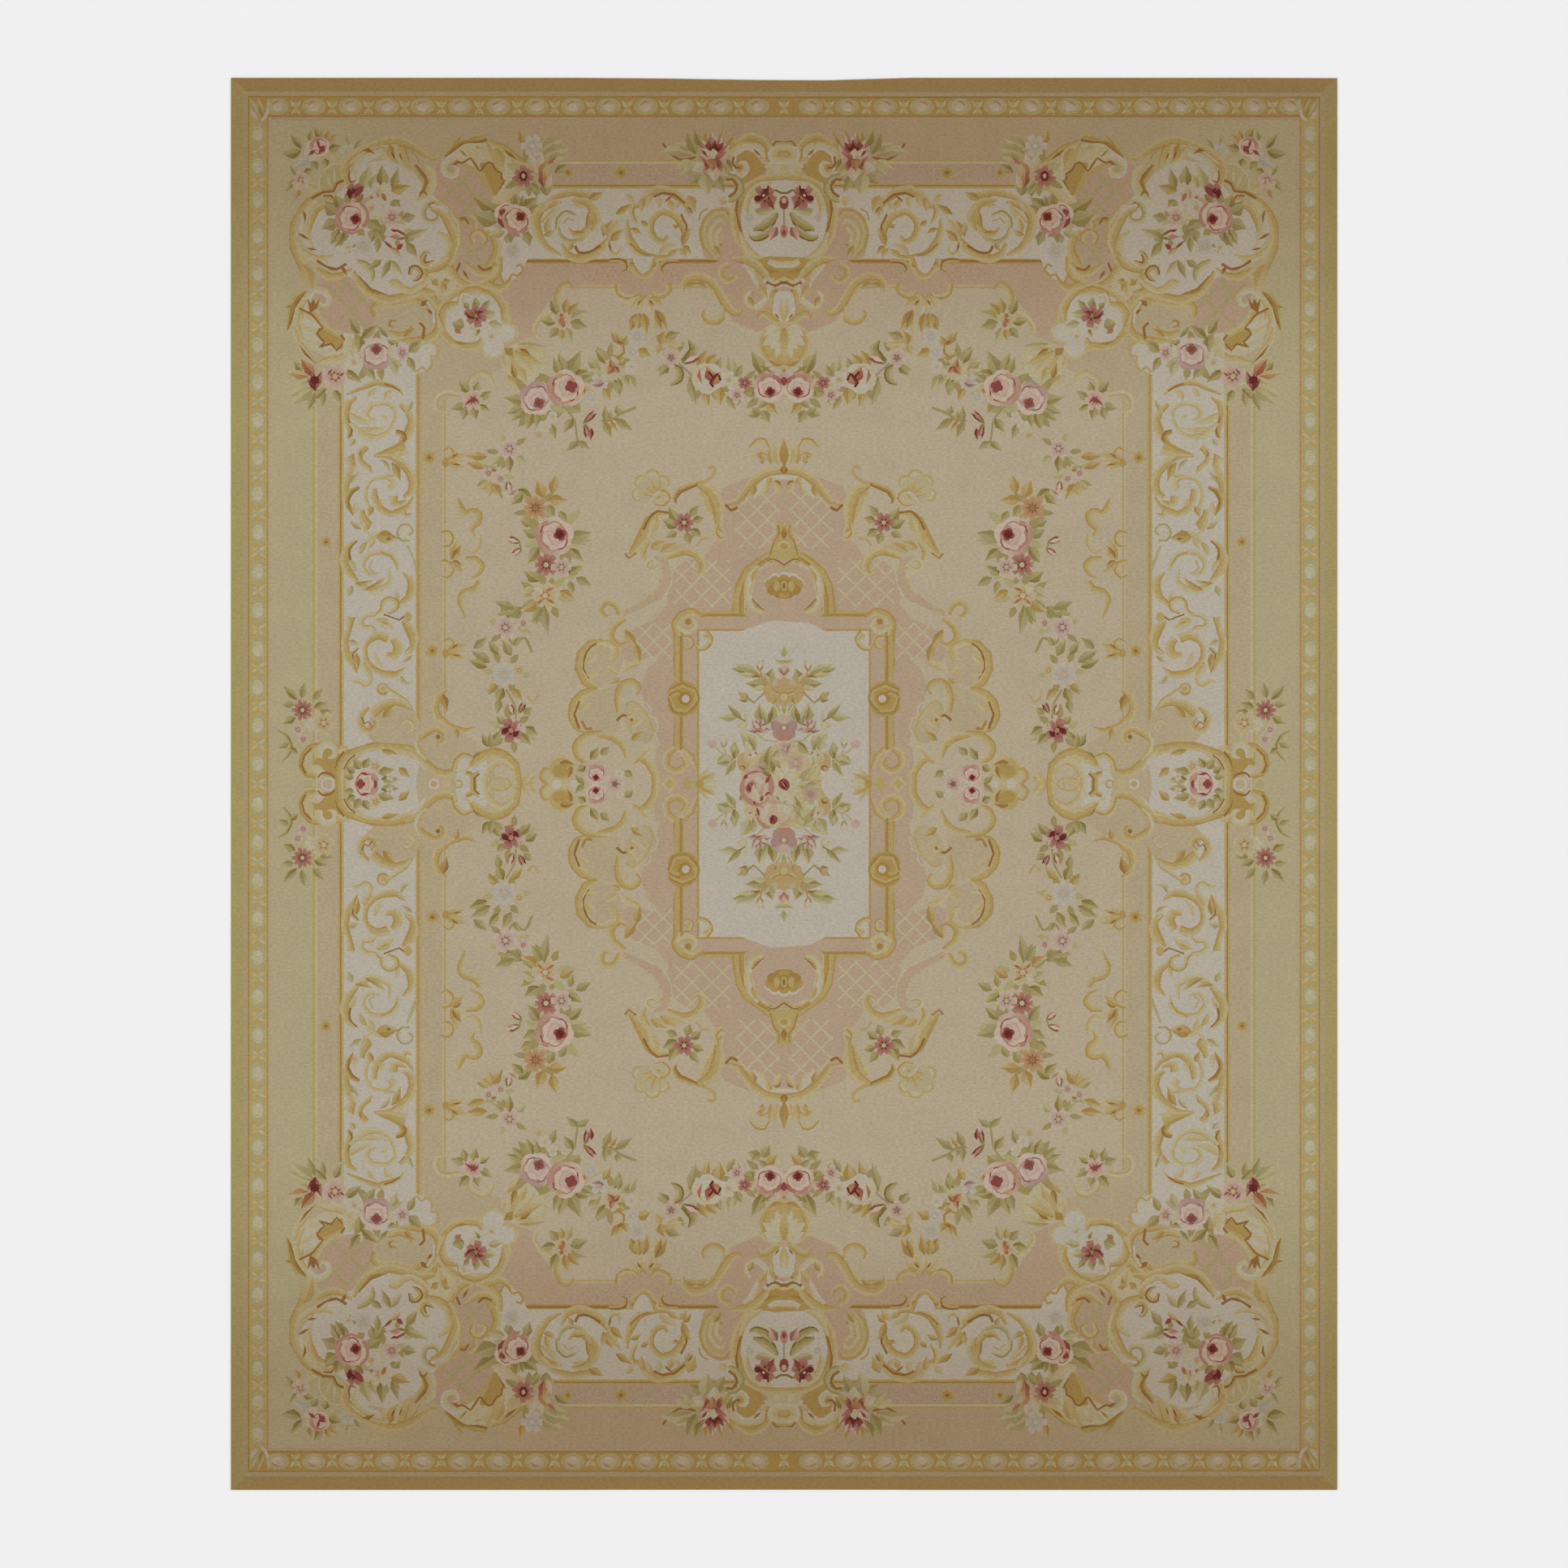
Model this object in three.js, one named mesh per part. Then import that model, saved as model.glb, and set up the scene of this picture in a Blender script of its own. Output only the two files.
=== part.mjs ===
// Aubusson rug: one flat sheet of wool tapestry weave. Millimetres, +Z up, +Y along the rug.
import * as THREE from 'three';

// Driving dimensions
const WIDTH = 2390; // across, along X
const LENGTH = 3050; // along Y, ten feet nominal
const THICKNESS = 3; // warp and weft of a flat-woven wool rug
const STEP = 20; // greatest distance between outline points where an edge is uneven

// Where each edge draws in: [place along the edge from its middle, depth inward].
// Top and bottom run left to right, left and right run from the bottom up.
const TOP_EDGE = [
  [-380, 0], [-310, 1], [-255, 1.4], [-200, 3], [-125, 3.9], [-45, 5.6], [5, 7.7], [60, 6.3], [140, 3.9], [220, 2.1],
  [270, 0], [1060, 0], [1085, 1], [1110, 3.7], [1128, 7.2], [1144, 9.3], [1156, 8.1], [1165, 5.6], [1174, 3.7],
  [1183, 2.9], [1192, 1.4], [1195, 0],
];
const BOTTOM_EDGE = [
  [-380, 0], [-255, 0.8], [-125, 1.4], [-72, 2.1], [-45, 4], [5, 4.4], [60, 3.7], [86, 1.9], [165, 1], [270, 0],
  [1060, 0], [1095, 1], [1120, 3], [1130, 5.3], [1147, 7.5], [1156, 6.3], [1165, 3.3], [1174, 0.9], [1185, 0],
];
const LEFT_EDGE = [[-80, 0], [-42, 0.7], [-24, 2.5], [-7, 3.2], [11, 3.3], [28, 2.3], [46, 0.7], [85, 0]];
const RIGHT_EDGE = [[-60, 0], [-42, 0.2], [-24, 0.7], [-7, 1.9], [11, 2.1], [28, 0.5], [60, 0]];

/** Depth inward at a place along an edge, eased between its listed places. */
function drawIn(edge, place) {
  if (place <= edge[0][0] || place >= edge[edge.length - 1][0]) return 0;
  const next = edge.findIndex(([at]) => at > place);
  const [[from, low], [to, high]] = [edge[next - 1], edge[next]];
  const share = (place - from) / (to - from);
  return low + (high - low) * share * share * (3 - 2 * share);
}

/** Places along an edge that need an outline point, from one corner to just short of the next. */
function placesAlong(edge, half) {
  const places = new Set([-half]);
  for (let i = 1; i < edge.length; i += 1) {
    const [[from, low], [to, high]] = [edge[i - 1], edge[i]];
    if (low === 0 && high === 0) continue;
    const parts = Math.ceil((to - from) / STEP);
    for (let k = 0; k <= parts; k += 1) places.add(from + ((to - from) * k) / parts);
  }
  return [...places].filter((place) => place >= -half && place < half).sort((a, b) => a - b);
}

/** The rug's outline, counter-clockwise from its lower left corner. */
function outline() {
  const [halfX, halfY] = [WIDTH / 2, LENGTH / 2];
  const bottom = placesAlong(BOTTOM_EDGE, halfX).map((x) => [x, -halfY + drawIn(BOTTOM_EDGE, x)]);
  const right = placesAlong(RIGHT_EDGE, halfY).map((y) => [halfX - drawIn(RIGHT_EDGE, y), y]);
  const leftwards = placesAlong(TOP_EDGE, halfX).slice(1).reverse();
  const top = [halfX, ...leftwards].map((x) => [x, halfY - drawIn(TOP_EDGE, x)]);
  const downwards = placesAlong(LEFT_EDGE, halfY).slice(1).reverse();
  const left = [halfY, ...downwards].map((y) => [-halfX + drawIn(LEFT_EDGE, y), y]);
  return [...bottom, ...right, ...top, ...left].map(([x, y]) => new THREE.Vector2(x, y));
}

// The underside lies at Z = 0, and the pile-free face is one thickness above it
const sheet = new THREE.ExtrudeGeometry(new THREE.Shape(outline()), { depth: THICKNESS, bevelEnabled: false });
const wool = new THREE.MeshStandardMaterial({ color: 0xaca081, roughness: 0.95, metalness: 0 });

const rug = new THREE.Mesh(sheet, wool);
rug.name = 'rug';

const group = new THREE.Group();
group.add(rug);

export default group;
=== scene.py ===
"""An Aubusson rug laid flat, its flowers and scrolls woven as colour areas of one wool sheet.

The design is read off a cartoon, a drawing sheet 1932 units square with the rug in its middle, x to the right
and y down. The cartoon shows the upper left quarter, and the loom repeats it mirrored in the other three.
"""
import logging
import math
from collections.abc import Iterable, Sequence
from dataclasses import dataclass
from enum import Enum
from typing import Protocol

import bmesh
import bpy
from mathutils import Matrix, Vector
from mathutils.geometry import convex_hull_2d, delaunay_2d_cdt


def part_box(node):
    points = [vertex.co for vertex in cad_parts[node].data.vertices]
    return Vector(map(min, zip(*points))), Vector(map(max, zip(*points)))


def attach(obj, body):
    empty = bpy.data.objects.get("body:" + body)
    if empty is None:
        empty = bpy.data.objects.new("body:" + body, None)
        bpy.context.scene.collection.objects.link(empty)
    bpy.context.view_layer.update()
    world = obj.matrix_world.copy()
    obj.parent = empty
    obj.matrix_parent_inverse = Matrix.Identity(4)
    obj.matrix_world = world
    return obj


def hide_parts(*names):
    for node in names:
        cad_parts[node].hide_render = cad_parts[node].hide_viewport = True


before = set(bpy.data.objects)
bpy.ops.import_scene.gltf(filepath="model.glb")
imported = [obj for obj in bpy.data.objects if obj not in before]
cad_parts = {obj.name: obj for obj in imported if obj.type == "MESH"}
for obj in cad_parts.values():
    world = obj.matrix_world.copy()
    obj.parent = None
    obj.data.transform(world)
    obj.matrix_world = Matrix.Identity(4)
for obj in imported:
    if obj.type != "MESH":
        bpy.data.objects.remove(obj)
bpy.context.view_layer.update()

LOG = logging.getLogger("rug")

Place = tuple[float, float]
Colour = tuple[float, float, float]

MIDDLE = 966.0
FULLNESS = 1.32  # leaves and scrolls are woven this much wider than charted


def linear(code: str) -> Colour:
    """Turn an sRGB hex code into linear colour."""
    levels = (int(code[i:i + 2], 16) / 255 for i in (1, 3, 5))
    return tuple(v / 12.92 if v <= 0.04045 else ((v + 0.055) / 1.055) ** 2.4 for v in levels)


class Wool(Enum):
    """The dyed wools on the weaver's bobbins."""

    IVORY = "#b6ad9d"
    CREAM = "#b4aa88"
    STRAW = "#b3a378"
    FIELD = "#b2a489"
    KHAKI = "#ada17e"
    TAN = "#ab9677"
    FAWN = "#a58655"
    SAND = "#ae9e7f"
    BLUSH = "#ab957f"
    BISQUE = "#ae977e"
    SALMON = "#ad957b"
    BUFF = "#a5966f"
    LICHEN = "#998957"
    GOLD = "#ac9762"
    HONEY = "#a5894d"
    OCHRE = "#997b3f"
    BRONZE = "#8c6432"
    EDGE = "#a49460"
    OLIVE = "#8b7a44"
    MOSS = "#77672e"
    SAGE = "#a79c70"
    REED = "#95885a"
    ROSE = "#a67c69"
    SHELL = "#b59c86"
    PETAL = "#bfab98"
    CRIMSON = "#84423a"
    GARNET = "#62241e"
    MAUVE = "#9f8278"
    PLUM = "#82594f"
    LILAC = "#a39a8d"
    CORAL = "#a06a4a"
    PEACH = "#ad9265"

    @property
    def rgb(self) -> Colour:
        """Linear colour of the wool."""
        return linear(self.value)


@dataclass(frozen=True)
class Tones:
    """Light, middle and dark wool that model one motif."""

    light: Wool
    middle: Wool
    dark: Wool


GILT = Tones(Wool.STRAW, Wool.GOLD, Wool.HONEY)
PALE_GILT = Tones(Wool.CREAM, Wool.STRAW, Wool.GOLD)
BURNT_GILT = Tones(Wool.GOLD, Wool.OCHRE, Wool.BRONZE)
IVORIES = Tones(Wool.IVORY, Wool.CREAM, Wool.STRAW)
OLIVES = Tones(Wool.SAGE, Wool.LICHEN, Wool.MOSS)
SAGES = Tones(Wool.SAGE, Wool.REED, Wool.OLIVE)
STRAWS = Tones(Wool.STRAW, Wool.HONEY, Wool.OCHRE)
MISTS = Tones(Wool.CREAM, Wool.SAGE, Wool.REED)
ROSES = Tones(Wool.PETAL, Wool.ROSE, Wool.CRIMSON)
REDS = Tones(Wool.ROSE, Wool.CRIMSON, Wool.GARNET)
MAUVES = Tones(Wool.PETAL, Wool.MAUVE, Wool.PLUM)
LILACS = Tones(Wool.IVORY, Wool.LILAC, Wool.LILAC)
CORALS = Tones(Wool.PEACH, Wool.CORAL, Wool.CRIMSON)
PEACHES = Tones(Wool.CREAM, Wool.PEACH, Wool.CORAL)
CREAMS = Tones(Wool.IVORY, Wool.CREAM, Wool.SHELL)


@dataclass(frozen=True)
class Patch:
    """One area of the cartoon, woven in one wool or passing from one wool to another along an axis."""

    outline: tuple[Place, ...]
    near: Colour
    far: Colour
    start: Place
    end: Place

    def colour_at(self, place: Place) -> Colour:
        """Colour of the area at a place.

        Args:
            place: The place on the cartoon.

        Returns:
            The linear colour there.
        """
        run = (self.end[0] - self.start[0], self.end[1] - self.start[1])
        reach = run[0] ** 2 + run[1] ** 2
        if reach == 0:
            return self.near
        share = ((place[0] - self.start[0]) * run[0] + (place[1] - self.start[1]) * run[1]) / reach
        share = min(1.0, max(0.0, share))
        return tuple(a + (b - a) * share for a, b in zip(self.near, self.far))


class Cartoon:
    """The drawn quarter of the design: its areas, from the lowest to the topmost."""

    def __init__(self) -> None:
        self.patches: list[Patch] = []

    def area(self, outline: Iterable[Place], wool: Wool, other: Wool | None = None,
             axis: tuple[Place, Place] = ((0, 0), (0, 0))) -> None:
        """Add one area.

        Args:
            outline: Its corners in order.
            wool: Its wool, or the wool that it starts in.
            other: The wool that it passes into.
            axis: Where the first wool ends and the other begins.
        """
        self.patches.append(Patch(unfolded(tuple(outline)), wool.rgb, (other or wool).rgb, *axis))


class Motif(Protocol):
    """Anything that can be drawn on the cartoon."""

    def draw(self, cartoon: Cartoon) -> None:
        """Add the motif's areas."""


def turned(place: Place, angle: float, reach: float) -> Place:
    """Place at a reach from another, at an angle in radians."""
    return place[0] + math.cos(angle) * reach, place[1] + math.sin(angle) * reach


def paired(numbers: Sequence[float]) -> list[Place]:
    """Places from a flat row of x and y."""
    return list(zip(numbers[::2], numbers[1::2]))


def eased(stops: Sequence[float], share: float) -> float:
    """Value at a share of the way through evenly spaced stops."""
    spot = min(max(share, 0.0), 1.0) * (len(stops) - 1)
    low = min(int(spot), len(stops) - 2)
    return stops[low] + (stops[low + 1] - stops[low]) * (spot - low)


def crossed(a: Place, b: Place, c: Place, d: Place) -> bool:
    """Whether the side from a to b crosses the side from c to d."""
    def turn(p: Place, q: Place, r: Place) -> float:
        return (q[0] - p[0]) * (r[1] - p[1]) - (q[1] - p[1]) * (r[0] - p[0])

    return turn(a, b, c) * turn(a, b, d) < 0 and turn(c, d, a) * turn(c, d, b) < 0


def unfolded(outline: Sequence[Place]) -> tuple[Place, ...]:
    """The outline, or its hull where two of its sides cross."""
    sides = list(zip(outline, (*outline[1:], outline[0])))
    if any(crossed(*side, *other) for i, side in enumerate(sides) for other in sides[i + 2:]):
        return tuple(outline[i] for i in convex_hull_2d(outline))
    return tuple(outline)


def holds(outline: Sequence[Place], x: float, y: float) -> bool:
    """Whether a place lies inside an outline."""
    inside = False
    for (ax, ay), (bx, by) in zip(outline, (*outline[1:], outline[0])):
        if (ay > y) != (by > y) and x < (bx - ax) * (y - ay) / (by - ay) + ax:
            inside = not inside
    return inside


def curve(knots: Sequence[Place], step: float, closed: bool = False) -> list[Place]:
    """Smooth curve through its knots.

    Args:
        knots: The places that the curve passes through.
        step: Greatest distance between the places returned.
        closed: Whether the curve runs back to its first knot.

    Returns:
        Places along the curve.
    """
    count = len(knots)
    places = []
    for i in range(count if closed else count - 1):
        if closed:
            a, b, c, d = (knots[(i + k) % count] for k in (-1, 0, 1, 2))
        else:
            a, b, c, d = knots[max(i - 1, 0)], knots[i], knots[i + 1], knots[min(i + 2, count - 1)]
        parts = max(1, math.ceil(math.dist(b, c) / step))
        for k in range(parts):
            t = k / parts
            places.append(tuple(
                0.5 * (2 * q + (r - p) * t + (2 * p - 5 * q + 4 * r - s) * t * t
                       + (3 * q - p - 3 * r + s) * t ** 3)
                for p, q, r, s in zip(a, b, c, d)))
    return places if closed else [*places, tuple(knots[-1])]


def lobed(middle: Place, reach: float, count: int, wave: float, start: float) -> list[Place]:
    """Rounded outline with lobes.

    Args:
        middle: Its middle.
        reach: Its greatest radius.
        count: How many lobes it has.
        wave: How far the notches cut in, as a share of the radius.
        start: Angle of its first lobe, in radians.

    Returns:
        The outline's places.
    """
    steps = count * 4
    return [turned(middle, start + 2 * math.pi * k / steps,
                   reach * (1 - wave + wave * abs(math.cos(math.pi * k / 4)) ** 0.7)) for k in range(steps)]


def crescent(middle: Place, aim: float, half: float, depth: float) -> list[Place]:
    """Moon shape whose back faces one way.

    Args:
        middle: Middle of the moon's chord.
        aim: Angle that its back faces, in radians.
        half: Half of its length.
        depth: Its greatest thickness, as a share of its length.

    Returns:
        The outline's places.
    """
    outer, inner = [], []
    for share in (-1, -0.6, 0, 0.6, 1):
        bulge = (1 - share * share) * half
        spot = turned(middle, aim + math.pi / 2, share * half)
        outer.append(turned(spot, aim, bulge * (0.35 + depth)))
        inner.append(turned(spot, aim, bulge * (0.35 - depth)))
    return [*outer, *inner[-2:0:-1]]


@dataclass(frozen=True)
class Blade:
    """Straight or bowed centre line that leaves, dashes and buds are set out on."""

    base: Place
    tip: Place
    width: float
    bow: float = 0.0

    def at(self, share: float, side: float = 0.0) -> Place:
        """Place part of the way along, and to one side by a share of half the width."""
        run, rise = self.tip[0] - self.base[0], self.tip[1] - self.base[1]
        length = math.hypot(run, rise)
        off = self.bow * length * 4 * share * (1 - share) + side * self.width / 2
        return (self.base[0] + run * share - rise / length * off,
                self.base[1] + rise * share + run / length * off)


@dataclass(frozen=True)
class Ground:
    """A plain area with straight or smooth sides, flat or passing from one wool to another."""

    knots: tuple[float, ...]
    wool: Wool
    smooth: bool = True
    other: Wool | None = None
    axis: tuple[Place, Place] = ((0, 0), (0, 0))

    def draw(self, cartoon: Cartoon) -> None:
        """Add the area."""
        places = paired(self.knots)
        if self.smooth:
            places = curve(places, 6, closed=True)
        cartoon.area(places, self.wool, self.other, self.axis)


@dataclass(frozen=True)
class Disc:
    """A round or oval spot."""

    x: float
    y: float
    half_width: float
    half_height: float
    wool: Wool
    sides: int = 12

    def draw(self, cartoon: Cartoon) -> None:
        """Add the spot."""
        angles = (2 * math.pi * k / self.sides for k in range(self.sides))
        cartoon.area([(self.x + self.half_width * math.cos(a), self.y + self.half_height * math.sin(a))
                      for a in angles], self.wool)


@dataclass(frozen=True)
class Ribbon:
    """A band along a curve, striped lengthwise in several wools and wide or narrow by turns."""

    knots: tuple[float, ...]
    widths: tuple[float, ...]
    stripes: tuple[tuple[float, float, Wool], ...]
    comb: float = 0.0
    step: float = 5.0

    def draw(self, cartoon: Cartoon) -> None:
        """Add the stripes, each a run of four-sided areas."""
        spine = curve(paired(self.knots), self.step)
        last = len(spine) - 1
        rows = []
        for i, place in enumerate(spine):
            before, after = spine[max(i - 1, 0)], spine[min(i + 1, last)]
            heading = math.atan2(after[1] - before[1], after[0] - before[0]) + math.pi / 2
            rows.append((place, heading, eased(self.widths, i / last) / 2))
        for low, high, wool in self.stripes:
            edges = []
            for i, (place, heading, half) in enumerate(rows):
                tooth = self.comb if i % 2 else -self.comb
                inner = low if low <= -1 else low + tooth
                outer = high if high >= 1 else high + tooth
                edges.append((turned(place, heading, half * inner), turned(place, heading, half * outer)))
            for (a, b), (c, d) in zip(edges, edges[1:]):
                cartoon.area((a, c, d, b), wool)


@dataclass(frozen=True)
class Scroll:
    """A modelled scroll stem: lit along one side and shaded along the other."""

    knots: tuple[float, ...]
    widths: tuple[float, ...]
    tones: Tones = GILT
    lit: int = 1

    def draw(self, cartoon: Cartoon) -> None:
        """Add the stem."""
        stripes = ((-1, -0.5, self.tones.dark), (-0.5, 0.25, self.tones.middle), (0.25, 1, self.tones.light))
        if max(self.widths) < 6:
            stripes = ((-1, -0.2, self.tones.dark), (-0.2, 1, self.tones.light))
        widths = tuple(w * self.lit * FULLNESS for w in self.widths)
        Ribbon(self.knots, widths, stripes, comb=0.12 if max(self.widths) > 9 else 0, step=6).draw(cartoon)


@dataclass(frozen=True)
class Line:
    """A line of one wool, straight or curved."""

    knots: tuple[float, ...]
    width: float
    wool: Wool

    def draw(self, cartoon: Cartoon) -> None:
        """Add the line."""
        Ribbon(self.knots, (self.width, self.width), ((-1, 1, self.wool),), step=8).draw(cartoon)


@dataclass(frozen=True)
class Leaf:
    """A pointed leaf with a light and a dark side of its midrib."""

    x: float
    y: float
    tip_x: float
    tip_y: float
    width: float
    tones: Tones = OLIVES
    bow: float = 0.0

    def draw(self, cartoon: Cartoon) -> None:
        """Add the blade and its lit side."""
        blade = Blade((self.x, self.y), (self.tip_x, self.tip_y), self.width * FULLNESS, self.bow)
        rows = ((0.0, 0.12), (0.2, 0.74), (0.42, 1.0), (0.72, 0.6), (1.0, 0.0))
        axis = (blade.base, blade.tip)
        right = [blade.at(share, -fat) for share, fat in rows[:-1]]
        cartoon.area([*(blade.at(share, fat) for share, fat in rows), *right[::-1]],
                     self.tones.dark, self.tones.middle, axis)
        spine = [blade.at(share, -0.1) for share, _ in rows[1:-1]]
        cartoon.area([*(blade.at(share, fat) for share, fat in rows), *spine[::-1]],
                     self.tones.middle, self.tones.light, axis)


@dataclass(frozen=True)
class Stroke:
    """A thin pointed dash of one wool."""

    x: float
    y: float
    tip_x: float
    tip_y: float
    width: float
    wool: Wool
    bow: float = 0.0

    def draw(self, cartoon: Cartoon) -> None:
        """Add the dash."""
        blade = Blade((self.x, self.y), (self.tip_x, self.tip_y), self.width, self.bow)
        shape = ((0, 0), (0.3, 1), (0.65, 0.8), (1, 0), (0.65, -0.8), (0.3, -1)) if self.width > 5 else (
            (0, 0), (0.45, 1), (1, 0), (0.45, -1))
        cartoon.area([blade.at(share, side) for share, side in shape], self.wool)


@dataclass(frozen=True)
class Bloom:
    """An open flower: a ring of petals round an eye."""

    x: float
    y: float
    radius: float
    petals: int = 6
    tones: Tones = REDS
    turn: float = 0.0
    eye: Wool = Wool.STRAW

    def draw(self, cartoon: Cartoon) -> None:
        """Add the petals, their dark throats and the eye."""
        centre, pitch, start = (self.x, self.y), 2 * math.pi / self.petals, math.radians(self.turn)
        for k in range(self.petals):
            aim, reach = start + k * pitch, self.radius * (1.0 if k % 2 else 0.9)
            shape = ((-0.48, 0.62), (-0.26, 0.96), (0.26, 0.96), (0.48, 0.62))
            cartoon.area([centre, *(turned(centre, aim + pitch * side, reach * far) for side, far in shape)],
                         self.tones.middle, self.tones.light, (centre, turned(centre, aim, reach)))
        for k in range(self.petals):
            aim, core = start + k * pitch, self.radius * 0.2
            throat = [turned(centre, aim + pitch / 2, core), turned(centre, aim, self.radius * 0.48),
                      turned(centre, aim - pitch / 2, core)]
            cartoon.area(throat, self.tones.dark, self.tones.middle,
                         (turned(centre, aim, core), turned(centre, aim, self.radius * 0.6)))
        cartoon.area([turned(centre, start + k * math.pi / 3, self.radius * 0.2) for k in range(6)], self.eye)


@dataclass(frozen=True)
class Rose:
    """A cabbage rose: lapped outer petals round a deep heart."""

    x: float
    y: float
    radius: float
    turn: float = 0.0
    tones: Tones = ROSES
    heart: Wool = Wool.GARNET

    def draw(self, cartoon: Cartoon) -> None:
        """Add the outer petals, the inner ones and the heart."""
        centre, r, aim = (self.x, self.y), self.radius, math.radians(self.turn)
        light, middle, dark = self.tones.light, self.tones.middle, self.tones.dark
        back = aim + math.pi
        heart = turned(centre, aim, r * 0.24)
        cartoon.area(lobed(centre, r, 5, 0.13, aim), middle, light,
                     (turned(centre, back, r), turned(centre, aim, r * 0.3)))
        for swing, wool in ((-2.1, dark), (-1.15, middle), (1.15, dark), (2.1, middle)):
            rim = turned(centre, aim + swing, r * 0.5)
            cartoon.area(crescent(rim, aim + swing, r * 0.44, 0.28), wool)
            cartoon.area(crescent(turned(rim, aim + swing, -r * 0.05), aim + swing, r * 0.37, 0.34), light)
        cartoon.area(crescent(turned(centre, back, r * 0.40), back, r * 0.52, 0.34), middle)
        cartoon.area(crescent(turned(centre, back, r * 0.30), back, r * 0.44, 0.36), light)
        cartoon.area(lobed(heart, r * 0.48, 4, 0.16, aim + 0.5), light, middle,
                     (turned(heart, back, r * 0.5), turned(heart, aim, r * 0.4)))
        cartoon.area(crescent(heart, back, r * 0.36, 0.42), light)
        deep = turned(heart, aim, r * 0.06)
        cartoon.area(lobed(deep, r * 0.33, 4, 0.24, aim), dark)
        cartoon.area(lobed(deep, r * 0.21, 4, 0.2, aim + 0.6), self.heart)


@dataclass(frozen=True)
class Foliage:
    """A bed of plain leaf blades fanned round a flower."""

    x: float
    y: float
    reach: float
    blades: int = 8
    turn: float = 0.0

    def draw(self, cartoon: Cartoon) -> None:
        """Add the blades, long and short by turns."""
        for k in range(self.blades):
            aim = math.radians(self.turn) + math.tau * k / self.blades
            near = turned((self.x, self.y), aim, self.reach * 0.4)
            tip = turned((self.x, self.y), aim + 0.12, self.reach * (1.0, 0.84)[k % 2])
            Stroke(*near, *tip, self.reach * 0.26, (Wool.SAGE, Wool.LICHEN, Wool.REED)[k % 3]).draw(cartoon)


@dataclass(frozen=True)
class Bud:
    """A half-open flower on a calyx."""

    x: float
    y: float
    tip_x: float
    tip_y: float
    width: float
    tones: Tones = ROSES
    green: Tones = OLIVES

    def draw(self, cartoon: Cartoon) -> None:
        """Add the petals and the calyx."""
        blade = Blade((self.x, self.y), (self.tip_x, self.tip_y), self.width)
        for way, wool in ((0.5, self.tones.dark), (-0.5, self.tones.middle), (0, self.tones.light)):
            cartoon.area([blade.base, blade.at(0.55, way * 0.9 - 0.55), blade.at(1, way * 1.4),
                          blade.at(0.55, way * 0.9 + 0.55)], wool)
        for way in (1, -1):
            Stroke(*blade.at(-0.12), *blade.at(0.5, way), self.width * 0.24, self.green.dark).draw(cartoon)


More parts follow.
